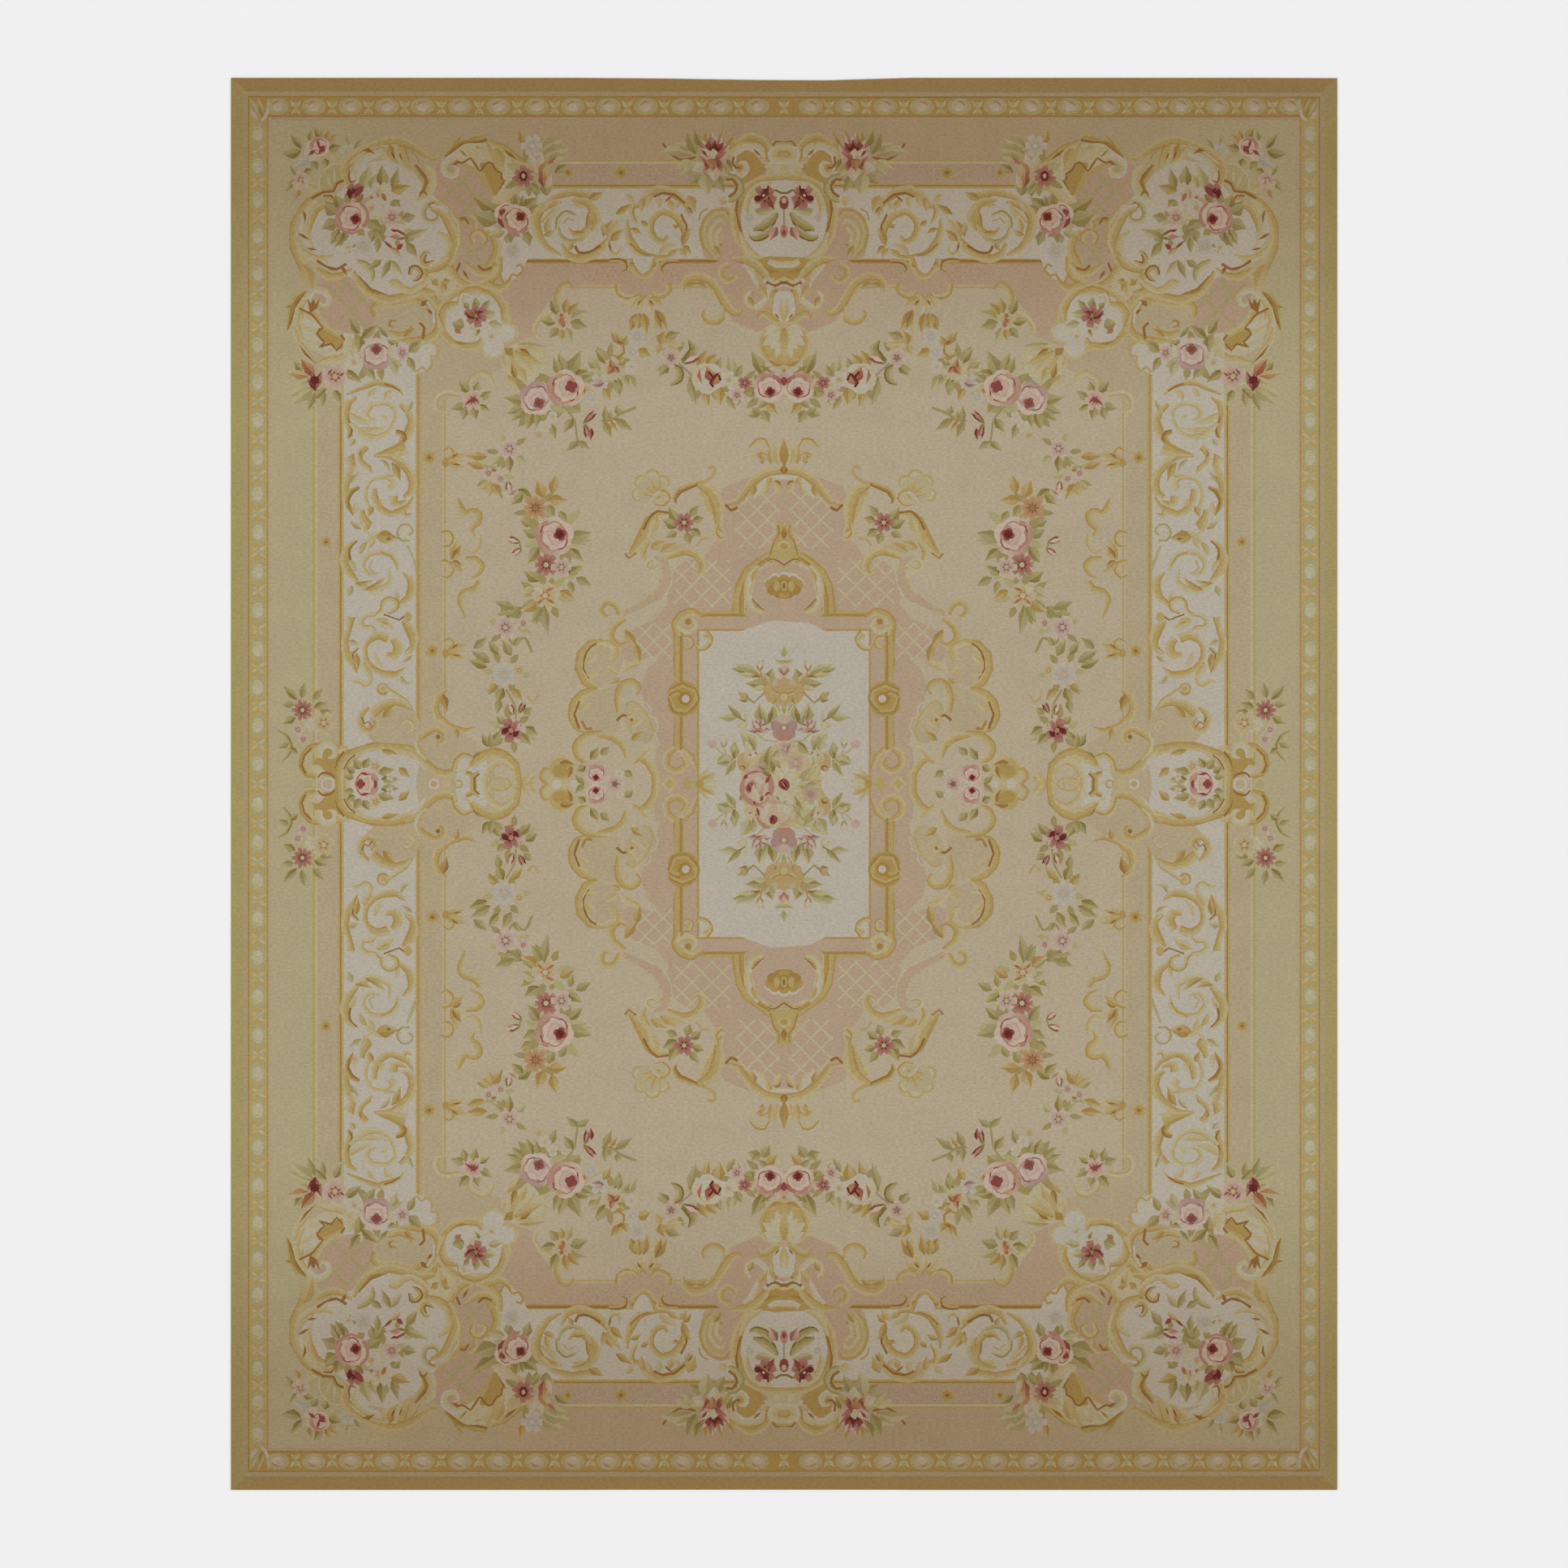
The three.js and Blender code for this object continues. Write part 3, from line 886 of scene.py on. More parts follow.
    SPRAY = (
        Leaf(372, 183, 358, 165, 7, OLIVES), Leaf(371, 186, 347, 189, 10, OLIVES, -0.1),
        Leaf(381, 174, 384, 160, 5, SAGES), Leaf(397, 171, 387, 157, 8, OLIVES),
        Leaf(402, 178, 417, 165, 6, STRAWS), Leaf(402, 174, 407, 160, 7, STRAWS),
        Leaf(405, 185, 421, 180, 9, OLIVES), Leaf(400, 196, 403, 207, 8, OLIVES),
        Leaf(384, 199, 393, 210, 8, SAGES), Leaf(375, 213, 387, 209, 7, OLIVES),
        Leaf(364, 222, 351, 238, 5, SAGES), Leaf(366, 217, 357, 203, 4, SAGES),
        Leaf(363, 221, 350, 227, 4, MISTS), Leaf(370, 234, 363, 246, 5, STRAWS),
        Leaf(376, 227, 396, 240, 8, PALE_GILT), Leaf(430, 178, 429, 163, 6, MISTS),
        Leaf(436, 184, 446, 171, 4, SAGES), Leaf(407, 190, 418, 198, 7, PALE_GILT),
        Leaf(385, 193, 361, 207, 9, LILACS), Bloom(429, 187, 11, 6, LILACS, 0, Wool.STRAW),
        Bloom(386, 186, 14, 5, CREAMS, 20, Wool.ROSE), Rose(394, 181, 13, 40, ROSES, Wool.CRIMSON),
        Stroke(380, 192, 390, 184, 4.5, Wool.CRIMSON), Stroke(392, 190, 401, 180, 5, Wool.CRIMSON),
        Stroke(391, 172, 394, 184, 4, Wool.CRIMSON), Bloom(371, 222, 12, 7, MAUVES, 0, Wool.STRAW),
        Leaf(372, 224, 364, 234, 5, CREAMS), Leaf(374, 221, 382, 226, 4, CREAMS),
    )
    MOTIFS = (*SPRAY, *SCROLLS, *BOUQUET)


class CornerWings(Section):
    """Acanthus and roses on either side of the corner cartouche."""

    TOP = (
        Scroll((612, 200, 626, 208, 634, 222, 630, 238, 616, 249, 600, 252), (8, 12, 14, 14, 11, 3),
               PALE_GILT),
        Ground((556, 188, 572, 178, 592, 176, 612, 182, 628, 196, 636, 212, 634, 230, 620, 246, 608, 246, 604,
                230, 592, 212, 572, 203), Wool.CREAM),
        Ground((590, 205, 600, 198, 612, 206, 620, 222, 616, 236, 609, 242, 604, 230, 598, 216), Wool.HONEY),
        Ground((560, 200, 576, 202, 592, 210, 604, 228, 609, 243, 600, 232, 588, 216, 574, 206), Wool.GOLD),
        Leaf(572, 182, 593, 209, 12, IVORIES, 0.08), Leaf(586, 180, 608, 201, 12, PALE_GILT, 0.1),
        Leaf(590, 184, 604, 199, 9, IVORIES), Leaf(600, 177, 616, 208, 12, PALE_GILT, 0.1),
        Leaf(612, 180, 626, 216, 13, GILT, 0.1), Leaf(624, 192, 623, 222, 8, IVORIES, -0.1),
        Line((559, 193, 563, 199, 569, 201, 577, 197, 580, 195, 586, 203, 592, 211, 597, 204, 602, 200, 607,
              202, 611, 210, 618, 214, 619, 222, 622, 222, 616, 234), 2.6, Wool.BRONZE),
        Scroll((548, 193, 556, 185, 566, 177, 573, 174, 588, 174, 600, 171), (2, 6, 6, 4, 4, 5), BURNT_GILT,
               -1),
        Stroke(556, 184, 571, 165, 5, Wool.HONEY), Stroke(574, 173, 600, 167, 4, Wool.HONEY),
        Stroke(565, 183, 578, 196, 3, Wool.OCHRE),
        Scroll((604, 175, 620, 182, 636, 195, 653, 207), (3, 8, 8, 2), GILT),
        Stroke(620, 184, 638, 198, 4, Wool.BRONZE), Leaf(634, 222, 610, 247, 9, IVORIES),
        Scroll((600, 252, 616, 256, 632, 246, 640, 232), (3, 6, 5, 1), PALE_GILT),
        Scroll((570, 194, 556, 195, 547, 204, 550, 215, 561, 216, 564, 208, 557, 204), (4, 7, 7, 6, 6, 4, 1),
               IVORIES),
        Stroke(566, 200, 556, 204, 4, Wool.BRONZE),
        # Roses and lily
        Foliage(636, 270, 36, 7), Foliage(650, 214, 34, 6, 20),
        Leaf(645, 179, 641, 158, 7, STRAWS), Leaf(668, 182, 694, 171, 13, MISTS),
        Leaf(670, 190, 702, 182, 14, MISTS), Leaf(676, 196, 700, 192, 10, MISTS),
        Leaf(684, 213, 701, 202, 8, OLIVES), Leaf(662, 242, 658, 222, 7, SAGES),
        Leaf(674, 241, 671, 222, 11, SAGES), Leaf(640, 258, 636, 238, 10, OLIVES),
        Leaf(646, 262, 644, 240, 9, OLIVES), Leaf(645, 258, 663, 243, 12, OLIVES),
        Leaf(650, 264, 666, 252, 8, SAGES), Leaf(612, 262, 583, 242, 12, OLIVES),
        Leaf(612, 274, 584, 264, 17, SAGES), Leaf(622, 286, 602, 290, 9, MISTS),
        Leaf(626, 288, 627, 304, 9, SAGES), Leaf(648, 286, 653, 304, 10, SAGES),
        Leaf(650, 266, 664, 279, 6, OLIVES), Leaf(655, 226, 666, 240, 7, SAGES),
        Bloom(656, 180, 15, 6, LILACS, 0, Wool.IVORY), Leaf(662, 214, 652, 188, 9, CREAMS),
        Leaf(664, 214, 668, 188, 9, CREAMS), Leaf(664, 216, 680, 196, 10, PEACHES),
        Stroke(674, 204, 686, 193, 5, Wool.CORAL), Leaf(658, 212, 640, 200, 8, PEACHES),
        Leaf(670, 230, 668, 209, 9, CORALS), Leaf(674, 232, 680, 214, 6, CREAMS),
        Bloom(645, 218, 15, 7, REDS, 10, Wool.PEACH), Disc(645, 217, 5, 6.5, Wool.GARNET, 8),
        Disc(645, 217, 2.4, 3.4, Wool.STRAW, 6), Bloom(631, 309, 13, 6, LILACS, 0, Wool.STRAW),
        Rose(624, 264, 15, 200, ROSES, Wool.CRIMSON), Rose(637, 271, 20, 320, ROSES),
        Stroke(613, 268, 622, 282, 6, Wool.CRIMSON), Stroke(628, 286, 642, 292, 6, Wool.ROSE),
        Stroke(640, 286, 652, 281, 6, Wool.ROSE),
    )
    SIDE = (
        Ground((377, 366, 368, 380, 364, 398, 370, 416, 382, 430, 402, 440, 424, 438, 440, 424, 444, 408, 430,
                424, 410, 426, 396, 410, 388, 390, 386, 372), Wool.CREAM),
        Scroll((391, 448, 404, 444, 420, 443, 433, 434, 441, 420, 443, 404, 434, 400), (2, 7, 9, 10, 9, 7, 2),
               PALE_GILT),
        Ground((396, 402, 402, 413, 416, 414, 426, 421, 421, 431, 408, 426, 396, 419, 391, 409), Wool.HONEY),
        Scroll((385, 376, 389, 390, 398, 403, 412, 412, 424, 418), (6, 8, 8, 8, 4), GILT, -1),
        Leaf(368, 384, 397, 404, 13, IVORIES, 0.06), Leaf(370, 400, 399, 421, 12, IVORIES, 0.08),
        Leaf(378, 420, 412, 427, 9, IVORIES, 0.1), Leaf(366, 372, 374, 394, 8, GILT),
        Scroll((379, 366, 370, 376, 365, 390, 366, 406, 374, 420), (5, 8, 7, 8, 3), PALE_GILT),
        Line((369, 380, 377, 384, 386, 389, 392, 397, 398, 404, 392, 409, 391, 412, 397, 419, 400, 422, 394,
              428, 402, 425, 409, 424, 415, 432, 420, 426, 426, 421, 420, 413), 2.6, Wool.BRONZE),
        Ground((379, 367, 383, 374, 387, 368, 389, 375, 395, 367, 391, 380, 382, 386), Wool.BRONZE, False),
        Scroll((377, 359, 367, 367, 360, 378, 358, 392, 354, 407), (3, 7, 7, 6, 1), BURNT_GILT),
        Stroke(362, 377, 350, 379, 3.4, Wool.OCHRE),
        Scroll((378, 368, 386, 358, 398, 359, 406, 366, 404, 375, 397, 377, 394, 371), (7, 7, 6, 6, 5, 4, 1),
               IVORIES),
        Scroll((362, 404, 366, 420, 376, 434, 390, 448), (4, 7, 7, 2), PALE_GILT),
        Stroke(368, 424, 391, 450, 4.4, Wool.BRONZE, 0.03), Leaf(432, 414, 424, 440, 9, IVORIES),
        # Roses and lily
        Foliage(462, 438, 38, 7, 15),
        Leaf(446, 417, 466, 401, 9, OLIVES), Leaf(443, 411, 431, 391, 9, OLIVES),
        Leaf(444, 416, 442, 435, 9, OLIVES), Leaf(448, 449, 463, 468, 10, OLIVES),
        Leaf(425, 456, 446, 472, 9, OLIVES), Leaf(402, 479, 383, 493, 8, OLIVES),
        Leaf(388, 484, 379, 507, 7, SAGES), Leaf(412, 480, 421, 499, 8, OLIVES),
        Leaf(400, 483, 397, 502, 6, SAGES), Leaf(484, 446, 489, 464, 9, MISTS),
        Leaf(503, 440, 512, 459, 8, SAGES), Leaf(504, 434, 520, 420, 10, SAGES),
        Leaf(388, 474, 354, 488, 12, MISTS), Leaf(386, 480, 358, 499, 10, MISTS),
        Leaf(478, 416, 466, 401, 5, OLIVES), Leaf(491, 427, 477, 418, 6, OLIVES),
        Leaf(372, 457, 363, 445, 8, OLIVES), Leaf(380, 464, 352, 459, 9, PEACHES),
        Leaf(388, 464, 371, 442, 10, CORALS), Leaf(384, 466, 366, 474, 6, MISTS),
        Bloom(437, 447, 13, 5, CREAMS, 0, Wool.PEACH), Rose(464, 437, 21, 270, MAUVES, Wool.CRIMSON),
        Bloom(496, 435, 11, 5, MAUVES, 20, Wool.PEACH), Leaf(479, 438, 488, 424, 8, CREAMS),
        Bloom(413, 464, 18, 6, ROSES, 20, Wool.STRAW), Stroke(404, 462, 410, 454, 3, Wool.CRIMSON),
        Stroke(418, 464, 425, 459, 3, Wool.CRIMSON), Leaf(391, 479, 379, 466, 7, REDS),
        Leaf(389, 482, 384, 460, 7, REDS), Leaf(388, 480, 397, 457, 7, REDS),
        Leaf(388, 474, 397, 472, 5, REDS), Disc(388, 468, 6, 5, Wool.GARNET, 7),
    )
    MOTIFS = (*TOP, *SIDE)


class CornerStraps(Section):
    """Small scrolls, straps, roundel, shell and star flowers between the corner and the field."""

    MOTIFS = (
        # Spiral under the top wing
        Scroll((600, 284, 609, 292, 613, 306, 609, 320, 600, 330), (3, 8, 9, 9, 4), GILT, -1),
        Scroll((584, 301, 581, 292, 587, 285, 596, 288, 599, 297, 592, 301), (4, 5, 5, 5, 5, 1), GILT),
        Scroll((565, 281, 566, 274, 572, 271, 578, 277), (3, 6, 6, 2), BURNT_GILT),
        Scroll((576, 266, 586, 272, 585, 283), (3, 6, 3), GILT, -1),
        Scroll((574, 325, 588, 336, 602, 336, 613, 324), (3, 7, 8, 4), GILT),
        Line((589, 327, 596, 333, 606, 330), 3, Wool.BRONZE), Line((562, 336, 567, 324), 3, Wool.BRONZE),
        Stroke(570, 332, 578, 345, 4, Wool.BRONZE),
        Scroll((616, 316, 616, 332, 606, 345, 588, 352, 572, 347, 558, 336), (5, 6, 7, 6, 5, 4), GILT),
        # Straps
        Scroll((548, 316, 556, 334, 566, 347, 580, 354), (7, 8, 8, 6), GILT),
        Scroll((556, 318, 540, 330, 524, 334), (8, 8, 5), GILT),
        Scroll((523, 330, 524, 348, 520, 360, 534, 368, 545, 380, 554, 370, 566, 360, 578, 354),
               (6, 6, 6, 8, 9, 9, 8, 5), GILT),
        Scroll((540, 376, 543, 394, 541, 410, 530, 416), (4, 5, 8, 4), GILT),
        Scroll((600, 350, 616, 356, 630, 346), (8, 8, 3), GILT), Leaf(544, 346, 541, 372, 9, PALE_GILT),
        Leaf(540, 352, 530, 342, 6, STRAWS), Leaf(546, 348, 556, 346, 7, STRAWS),
        Leaf(546, 350, 550, 360, 6, STRAWS), Disc(537, 346, 2.4, 2.6, Wool.HONEY, 6),
        Line((616, 338, 621, 349, 628, 344, 631, 338, 638, 340, 645, 333, 642, 326, 636, 328), 3.2,
             Wool.HONEY),
        Line((519, 420, 531, 421, 541, 428, 538, 439, 531, 439, 533, 450, 526, 457, 520, 452, 514, 459), 3.2,
             Wool.GOLD),
        # Scroll panel below the cartouche
        Scroll((463, 390, 461, 380, 470, 374, 488, 375, 508, 369, 526, 362), (6, 8, 8, 8, 8, 4), GILT),
        Scroll((506, 367, 522, 368, 534, 378, 541, 392, 540, 406, 531, 416, 512, 421, 494, 420),
               (3, 8, 9, 8, 8, 9, 8, 3), GILT, -1),
        Scroll((488, 395, 481, 395, 479, 402, 487, 404), (2, 3, 3, 1), BURNT_GILT),
        Scroll((478, 408, 491, 414, 503, 410, 509, 401), (3, 7, 7, 2), GILT),
        Leaf(498, 415, 513, 404, 6, STRAWS), Line((517, 398, 523, 404, 521, 418), 3.2, Wool.BRONZE),
        Stroke(525, 380, 537, 390, 4, Wool.BRONZE), Stroke(518, 377, 528, 370, 6, Wool.BRONZE),
        Line((526, 372, 534, 384, 535, 398), 3, Wool.IVORY), Leaf(510, 366, 516, 377, 7, GILT),
        # Roundel
        Disc(584, 392, 46, 42, Wool.STRAW, 28), Disc(584, 392, 41, 38, Wool.GOLD, 28),
        Disc(584, 393, 37, 34, Wool.IVORY, 28),
        Scroll((600, 356, 614, 366, 622, 380, 620, 396), (3, 9, 9, 3), GILT, -1),
        Scroll((548, 402, 545, 388, 552, 377, 565, 374), (3, 8, 8, 3), GILT),
        Scroll((543, 410, 556, 422, 574, 428, 590, 425, 594, 416), (4, 7, 8, 9, 3), GILT),
        Scroll((566, 374, 572, 362, 586, 357, 602, 362), (5, 8, 8, 4), GILT),
        Scroll((580, 366, 571, 364, 568, 372, 576, 376), (3, 5, 5, 1), IVORIES),
        Stroke(560, 422, 578, 424, 4, Wool.OCHRE), Disc(624, 410, 15, 13, Wool.STRAW, 14),
        Disc(622, 410, 13, 11, Wool.IVORY, 14), Disc(608, 430, 15, 14, Wool.STRAW, 14),
        Disc(608, 428, 13, 12, Wool.IVORY, 14), Leaf(588, 380, 586, 366, 8, OLIVES),
        Leaf(594, 382, 605, 369, 7, SAGES), Leaf(578, 380, 571, 372, 6, OLIVES),
        Leaf(597, 389, 612, 386, 10, MISTS), Leaf(572, 402, 557, 398, 13, SAGES),
        Leaf(588, 404, 587, 415, 7, OLIVES), Leaf(602, 398, 620, 402, 8, MISTS),
        Bloom(606, 415, 10, 5, CREAMS, 30, Wool.PEACH), Bloom(582, 404, 9, 5, CREAMS, 0, Wool.STRAW),
        Stroke(560, 406, 569, 411, 6, Wool.CORAL), Bloom(587, 389, 16, 6, REDS, 20, Wool.OLIVE),
        Leaf(584, 392, 572, 383, 7, REDS), Leaf(588, 388, 597, 385, 7, REDS),
        # Shell
        Ground((624, 442, 622, 458, 634, 478, 652, 476, 668, 464, 672, 446, 666, 430, 650, 421, 634, 424),
               Wool.CREAM),
        Leaf(626, 436, 636, 476, 10, PALE_GILT, -0.05), Leaf(629, 436, 650, 473, 10, GILT, -0.04),
        Leaf(632, 434, 662, 464, 10, PALE_GILT), Leaf(634, 432, 670, 450, 10, GILT, 0.04),
        Leaf(636, 430, 668, 434, 8, PALE_GILT),
        Line((636, 425, 650, 420, 664, 426, 672, 442, 670, 460, 654, 476, 636, 479, 624, 464, 622, 444), 2.4,
             Wool.STRAW),
        Ground((621, 429, 632, 429, 632, 439, 624, 437), Wool.OCHRE, False),
        Leaf(636, 468, 630, 446, 6, BURNT_GILT), Leaf(641, 430, 655, 440, 6, BURNT_GILT),
        Leaf(618, 440, 624, 458, 5, PALE_GILT), Leaf(640, 424, 676, 428, 6, MISTS),
        Leaf(625, 462, 640, 478, 5, GILT),
        # Star flowers on curled stems
        Scroll((568, 487, 552, 484, 541, 488, 537, 497, 540, 506, 549, 507), (4, 5, 5, 5, 5, 1), PALE_GILT),
        Scroll((576, 478, 582, 466, 593, 460, 604, 464, 608, 474), (5, 5, 5, 6, 2), PALE_GILT),
        Leaf(579, 484, 565, 469, 9, OLIVES), Leaf(586, 484, 590, 469, 8, SAGES),
        Leaf(591, 493, 607, 481, 8, SAGES), Leaf(574, 499, 555, 504, 9, SAGES),
        Leaf(574, 503, 570, 518, 8, SAGES), Leaf(583, 502, 587, 518, 9, OLIVES),
        Leaf(591, 499, 604, 507, 6, OLIVES), Leaf(581, 484, 576, 494, 9, ROSES),
        Leaf(582, 494, 570, 503, 9, ROSES), Bloom(583, 493, 14, 6, ROSES, 0, Wool.CRIMSON),
        Stroke(586, 489, 572, 500, 4, Wool.CRIMSON), Stroke(584, 489, 591, 498, 3, Wool.CRIMSON),
        Scroll((687, 380, 686, 366, 691, 354, 700, 350, 708, 358), (5, 6, 6, 6, 1), GILT),
        Scroll((680, 385, 667, 391, 659, 402, 660, 412, 668, 417), (5, 6, 5, 4, 1), PALE_GILT),
        Leaf(688, 388, 678, 368, 9, OLIVES), Leaf(696, 386, 700, 366, 9, STRAWS),
        Leaf(700, 388, 714, 373, 9, STRAWS), Leaf(704, 392, 726, 383, 10, MISTS),
        Leaf(703, 397, 724, 404, 11, SAGES), Leaf(684, 398, 666, 394, 9, OLIVES),
        Leaf(688, 404, 676, 417, 9, SAGES), Leaf(693, 406, 691, 420, 8, STRAWS),
        Leaf(698, 404, 705, 424, 8, MISTS), Bloom(692, 395, 12, 6, PEACHES, 15, Wool.CORAL),
        Disc(692, 389, 3, 3, Wool.CORAL, 6), Disc(694, 400, 3, 4, Wool.CORAL, 6),
    )


class TopBand(Section):
    """Running scrolls on the ivory band across the end, and the notch under them."""

    MOTIFS = (
        Rosette(765, 213, 10), Rosette(700, 213, 7),
        # First scroll
        Scroll((676, 246, 690, 240, 706, 237, 722, 241, 741, 240), (3, 6, 7, 6, 3), GILT, -1),
        Leaf(726, 246, 744, 237, 8, STRAWS),
        Scroll((692, 249, 676, 252, 664, 261, 660, 276, 665, 293, 676, 307, 692, 315), (3, 7, 9, 9, 8, 6, 2),
               GILT),
        Leaf(664, 262, 680, 244, 7, PALE_GILT), Leaf(668, 272, 690, 247, 8, PALE_GILT, 0.12),
        Leaf(672, 286, 677, 268, 6, GILT), Leaf(670, 290, 684, 283, 6, STRAWS, 0.1),
        Scroll((704, 247, 720, 248, 731, 258, 735, 272, 729, 285), (2, 7, 9, 9, 3), GILT, -1),
        Leaf(722, 280, 729, 253, 8, STRAWS, 0.08), Leaf(706, 252, 724, 256, 5, PALE_GILT),
        Scroll((687, 283, 688, 270, 698, 262, 710, 266), (4, 5, 5, 2), MISTS),
        Line((694, 276, 700, 269, 709, 273), 2, Wool.SAGE),
        Scroll((687, 280, 691, 292, 702, 299, 716, 296, 727, 286), (3, 5, 6, 5, 1), MISTS),
        Scroll((700, 281, 707, 289, 718, 288, 728, 277), (2, 6, 7, 3), GILT),
        Stroke(704, 286, 722, 288, 3, Wool.OCHRE, -0.1),
        Scroll((692, 300, 698, 313, 712, 319, 728, 315, 742, 305, 750, 294), (3, 7, 8, 9, 8, 3), GILT),
        Line((709, 303, 713, 311, 726, 311, 740, 303), 3.4, Wool.BRONZE), Leaf(706, 300, 700, 310, 5, STRAWS),
        # Husk between the scrolls
        Leaf(743, 291, 755, 271, 9, STRAWS), Leaf(748, 293, 767, 266, 8, PALE_GILT),
        Leaf(752, 297, 768, 283, 8, STRAWS), Leaf(745, 288, 742, 274, 6, GILT),
        Scroll((749, 297, 751, 309, 758, 315, 765, 309, 763, 303), (4, 5, 5, 4, 1), PALE_GILT),
        Stroke(750, 298, 753, 311, 3, Wool.BRONZE), Leaf(759, 264, 780, 251, 7, STRAWS),
        Leaf(772, 240, 783, 252, 7, PALE_GILT),
        # Second scroll
        Scroll((777, 256, 788, 252, 798, 241, 812, 234, 828, 237, 840, 246, 847, 258), (3, 7, 9, 9, 9, 7, 1),
               GILT, -1),
        Line((806, 243, 817, 238, 831, 240, 844, 251), 2.8, Wool.BRONZE), Leaf(792, 244, 790, 262, 7, GILT),
        Leaf(803, 241, 796, 256, 6, PALE_GILT), Leaf(812, 242, 812, 258, 7, PALE_GILT),
        Stroke(829, 241, 818, 250, 3.4, Wool.BRONZE), Leaf(824, 246, 830, 260, 7, GILT),
        Leaf(838, 250, 828, 257, 6, PALE_GILT),
        Scroll((781, 252, 778, 261, 781, 270, 786, 276), (3, 5, 4, 1), GILT),
        Scroll((773, 270, 773, 284, 777, 298, 786, 310, 800, 317, 818, 318, 834, 311), (2, 6, 8, 7, 7, 5, 1),
               GILT),
        Leaf(777, 282, 790, 289, 5, STRAWS, -0.1), Leaf(790, 272, 801, 281, 5, STRAWS),
        Line((776, 300, 788, 311, 802, 316), 2.2, Wool.OCHRE),
        Scroll((823, 291, 818, 298, 808, 295, 802, 284, 804, 271, 814, 262, 828, 264, 840, 275, 845, 290, 841,
                303), (3, 6, 6, 6, 6, 6, 7, 8, 7, 2), GILT, -1),
        Leaf(836, 280, 828, 277, 5, STRAWS), Line((839, 264, 846, 278, 845, 292), 2.6, Wool.BRONZE),
        Leaf(841, 302, 852, 281, 8, STRAWS, -0.08), Leaf(842, 303, 852, 313, 7, STRAWS),
        Leaf(812, 315, 834, 300, 8, PALE_GILT, -0.1), Leaf(822, 316, 838, 306, 6, GILT),
        Leaf(838, 306, 846, 318, 6, GILT), Leaf(848, 241, 857, 262, 11, GILT),
        Stroke(847, 254, 854, 264, 4, Wool.BRONZE), Leaf(845, 256, 850, 268, 6, MISTS),
        # Shell scroll beside the oval
        Ground((863, 300, 861, 286, 866, 270, 876, 259, 889, 255, 901, 259, 906, 280, 912, 304, 920, 319, 872,
                319), Wool.SALMON),
        *(Scroll((880 + 1.2 * k, 318 - 3 * k, 869 + 3.4 * k, 304 - k, 865 + 4 * k, 288, 869 + 4 * k,
                  272 + 3 * k, 880 + 2 * k, 262 + 4.5 * k, 893 - k, 261 + 5 * k, 900 - 3 * k, 272 + 3 * k),
                 (2, 6, 5, 5, 5, 5, 2), PALE_GILT if k else GILT) for k in (0, 2, 4)),
        Line((861, 272, 864, 262, 872, 257), 2, Wool.HONEY), Leaf(880, 303, 889, 318, 6, STRAWS),
        Disc(888, 302, 3.4, 3, Wool.PEACH, 7), Disc(889, 302, 1.4, 1.4, Wool.CORAL, 5),
        # Notch and the scallop under it
        Ground((770, 322, 812, 322, 812, 327, 808, 352, 776, 352, 772, 327), Wool.SALMON, False),
        Ground((778, 316, 806, 316, 804, 328, 792, 339, 780, 328), Wool.IVORY, False),
        Scroll((776, 319, 779, 330, 786, 338, 793, 341, 801, 338, 806, 329, 808, 319), (5, 6, 5, 5, 5, 6, 5),
               GILT),
        Leaf(776, 324, 782, 330, 6, STRAWS), Leaf(808, 324, 801, 329, 6, STRAWS),
        Scroll((750, 321, 763, 321, 770, 325, 771, 332, 766, 335), (3, 4, 5, 4, 1), BURNT_GILT),
        Scroll((836, 322, 823, 322, 816, 326, 814, 333, 818, 337), (3, 4, 5, 4, 1), BURNT_GILT),
        Ground((759, 350, 826, 350, 824, 359, 812, 365, 800, 364, 792, 371, 784, 365, 772, 366, 762, 361),
               Wool.SALMON, False),
        Scroll((761, 350, 762, 360, 771, 366, 781, 365, 786, 360), (5, 5, 5, 4, 2), GILT, -1),
        Scroll((822, 350, 825, 357, 818, 364, 807, 365, 802, 358), (5, 6, 5, 5, 1), GILT),
        Scroll((786, 364, 792, 371, 799, 363), (5, 6, 5), GILT), Leaf(786, 367, 773, 382, 8, PALE_GILT, 0.1),
        Leaf(790, 370, 789, 386, 6, PALE_GILT), Leaf(800, 367, 816, 378, 8, GILT, -0.1),
        Leaf(798, 371, 803, 386, 7, PALE_GILT), Leaf(794, 372, 796, 390, 5, IVORIES),
        Stroke(790, 369, 785, 377, 3.4, Wool.BRONZE), Stroke(799, 369, 806, 377, 3.4, Wool.BRONZE),
        Leaf(784, 387, 776, 408, 9, BURNT_GILT), Leaf(788, 386, 785, 408, 10, STRAWS),
        Leaf(793, 386, 797, 412, 9, STRAWS), Leaf(807, 382, 823, 408, 10, STRAWS),
        Leaf(806, 386, 807, 411, 10, PALE_GILT), Leaf(808, 384, 815, 407, 6, BURNT_GILT),
        Stroke(808, 383, 820, 402, 2.6, Wool.BRONZE),
    )


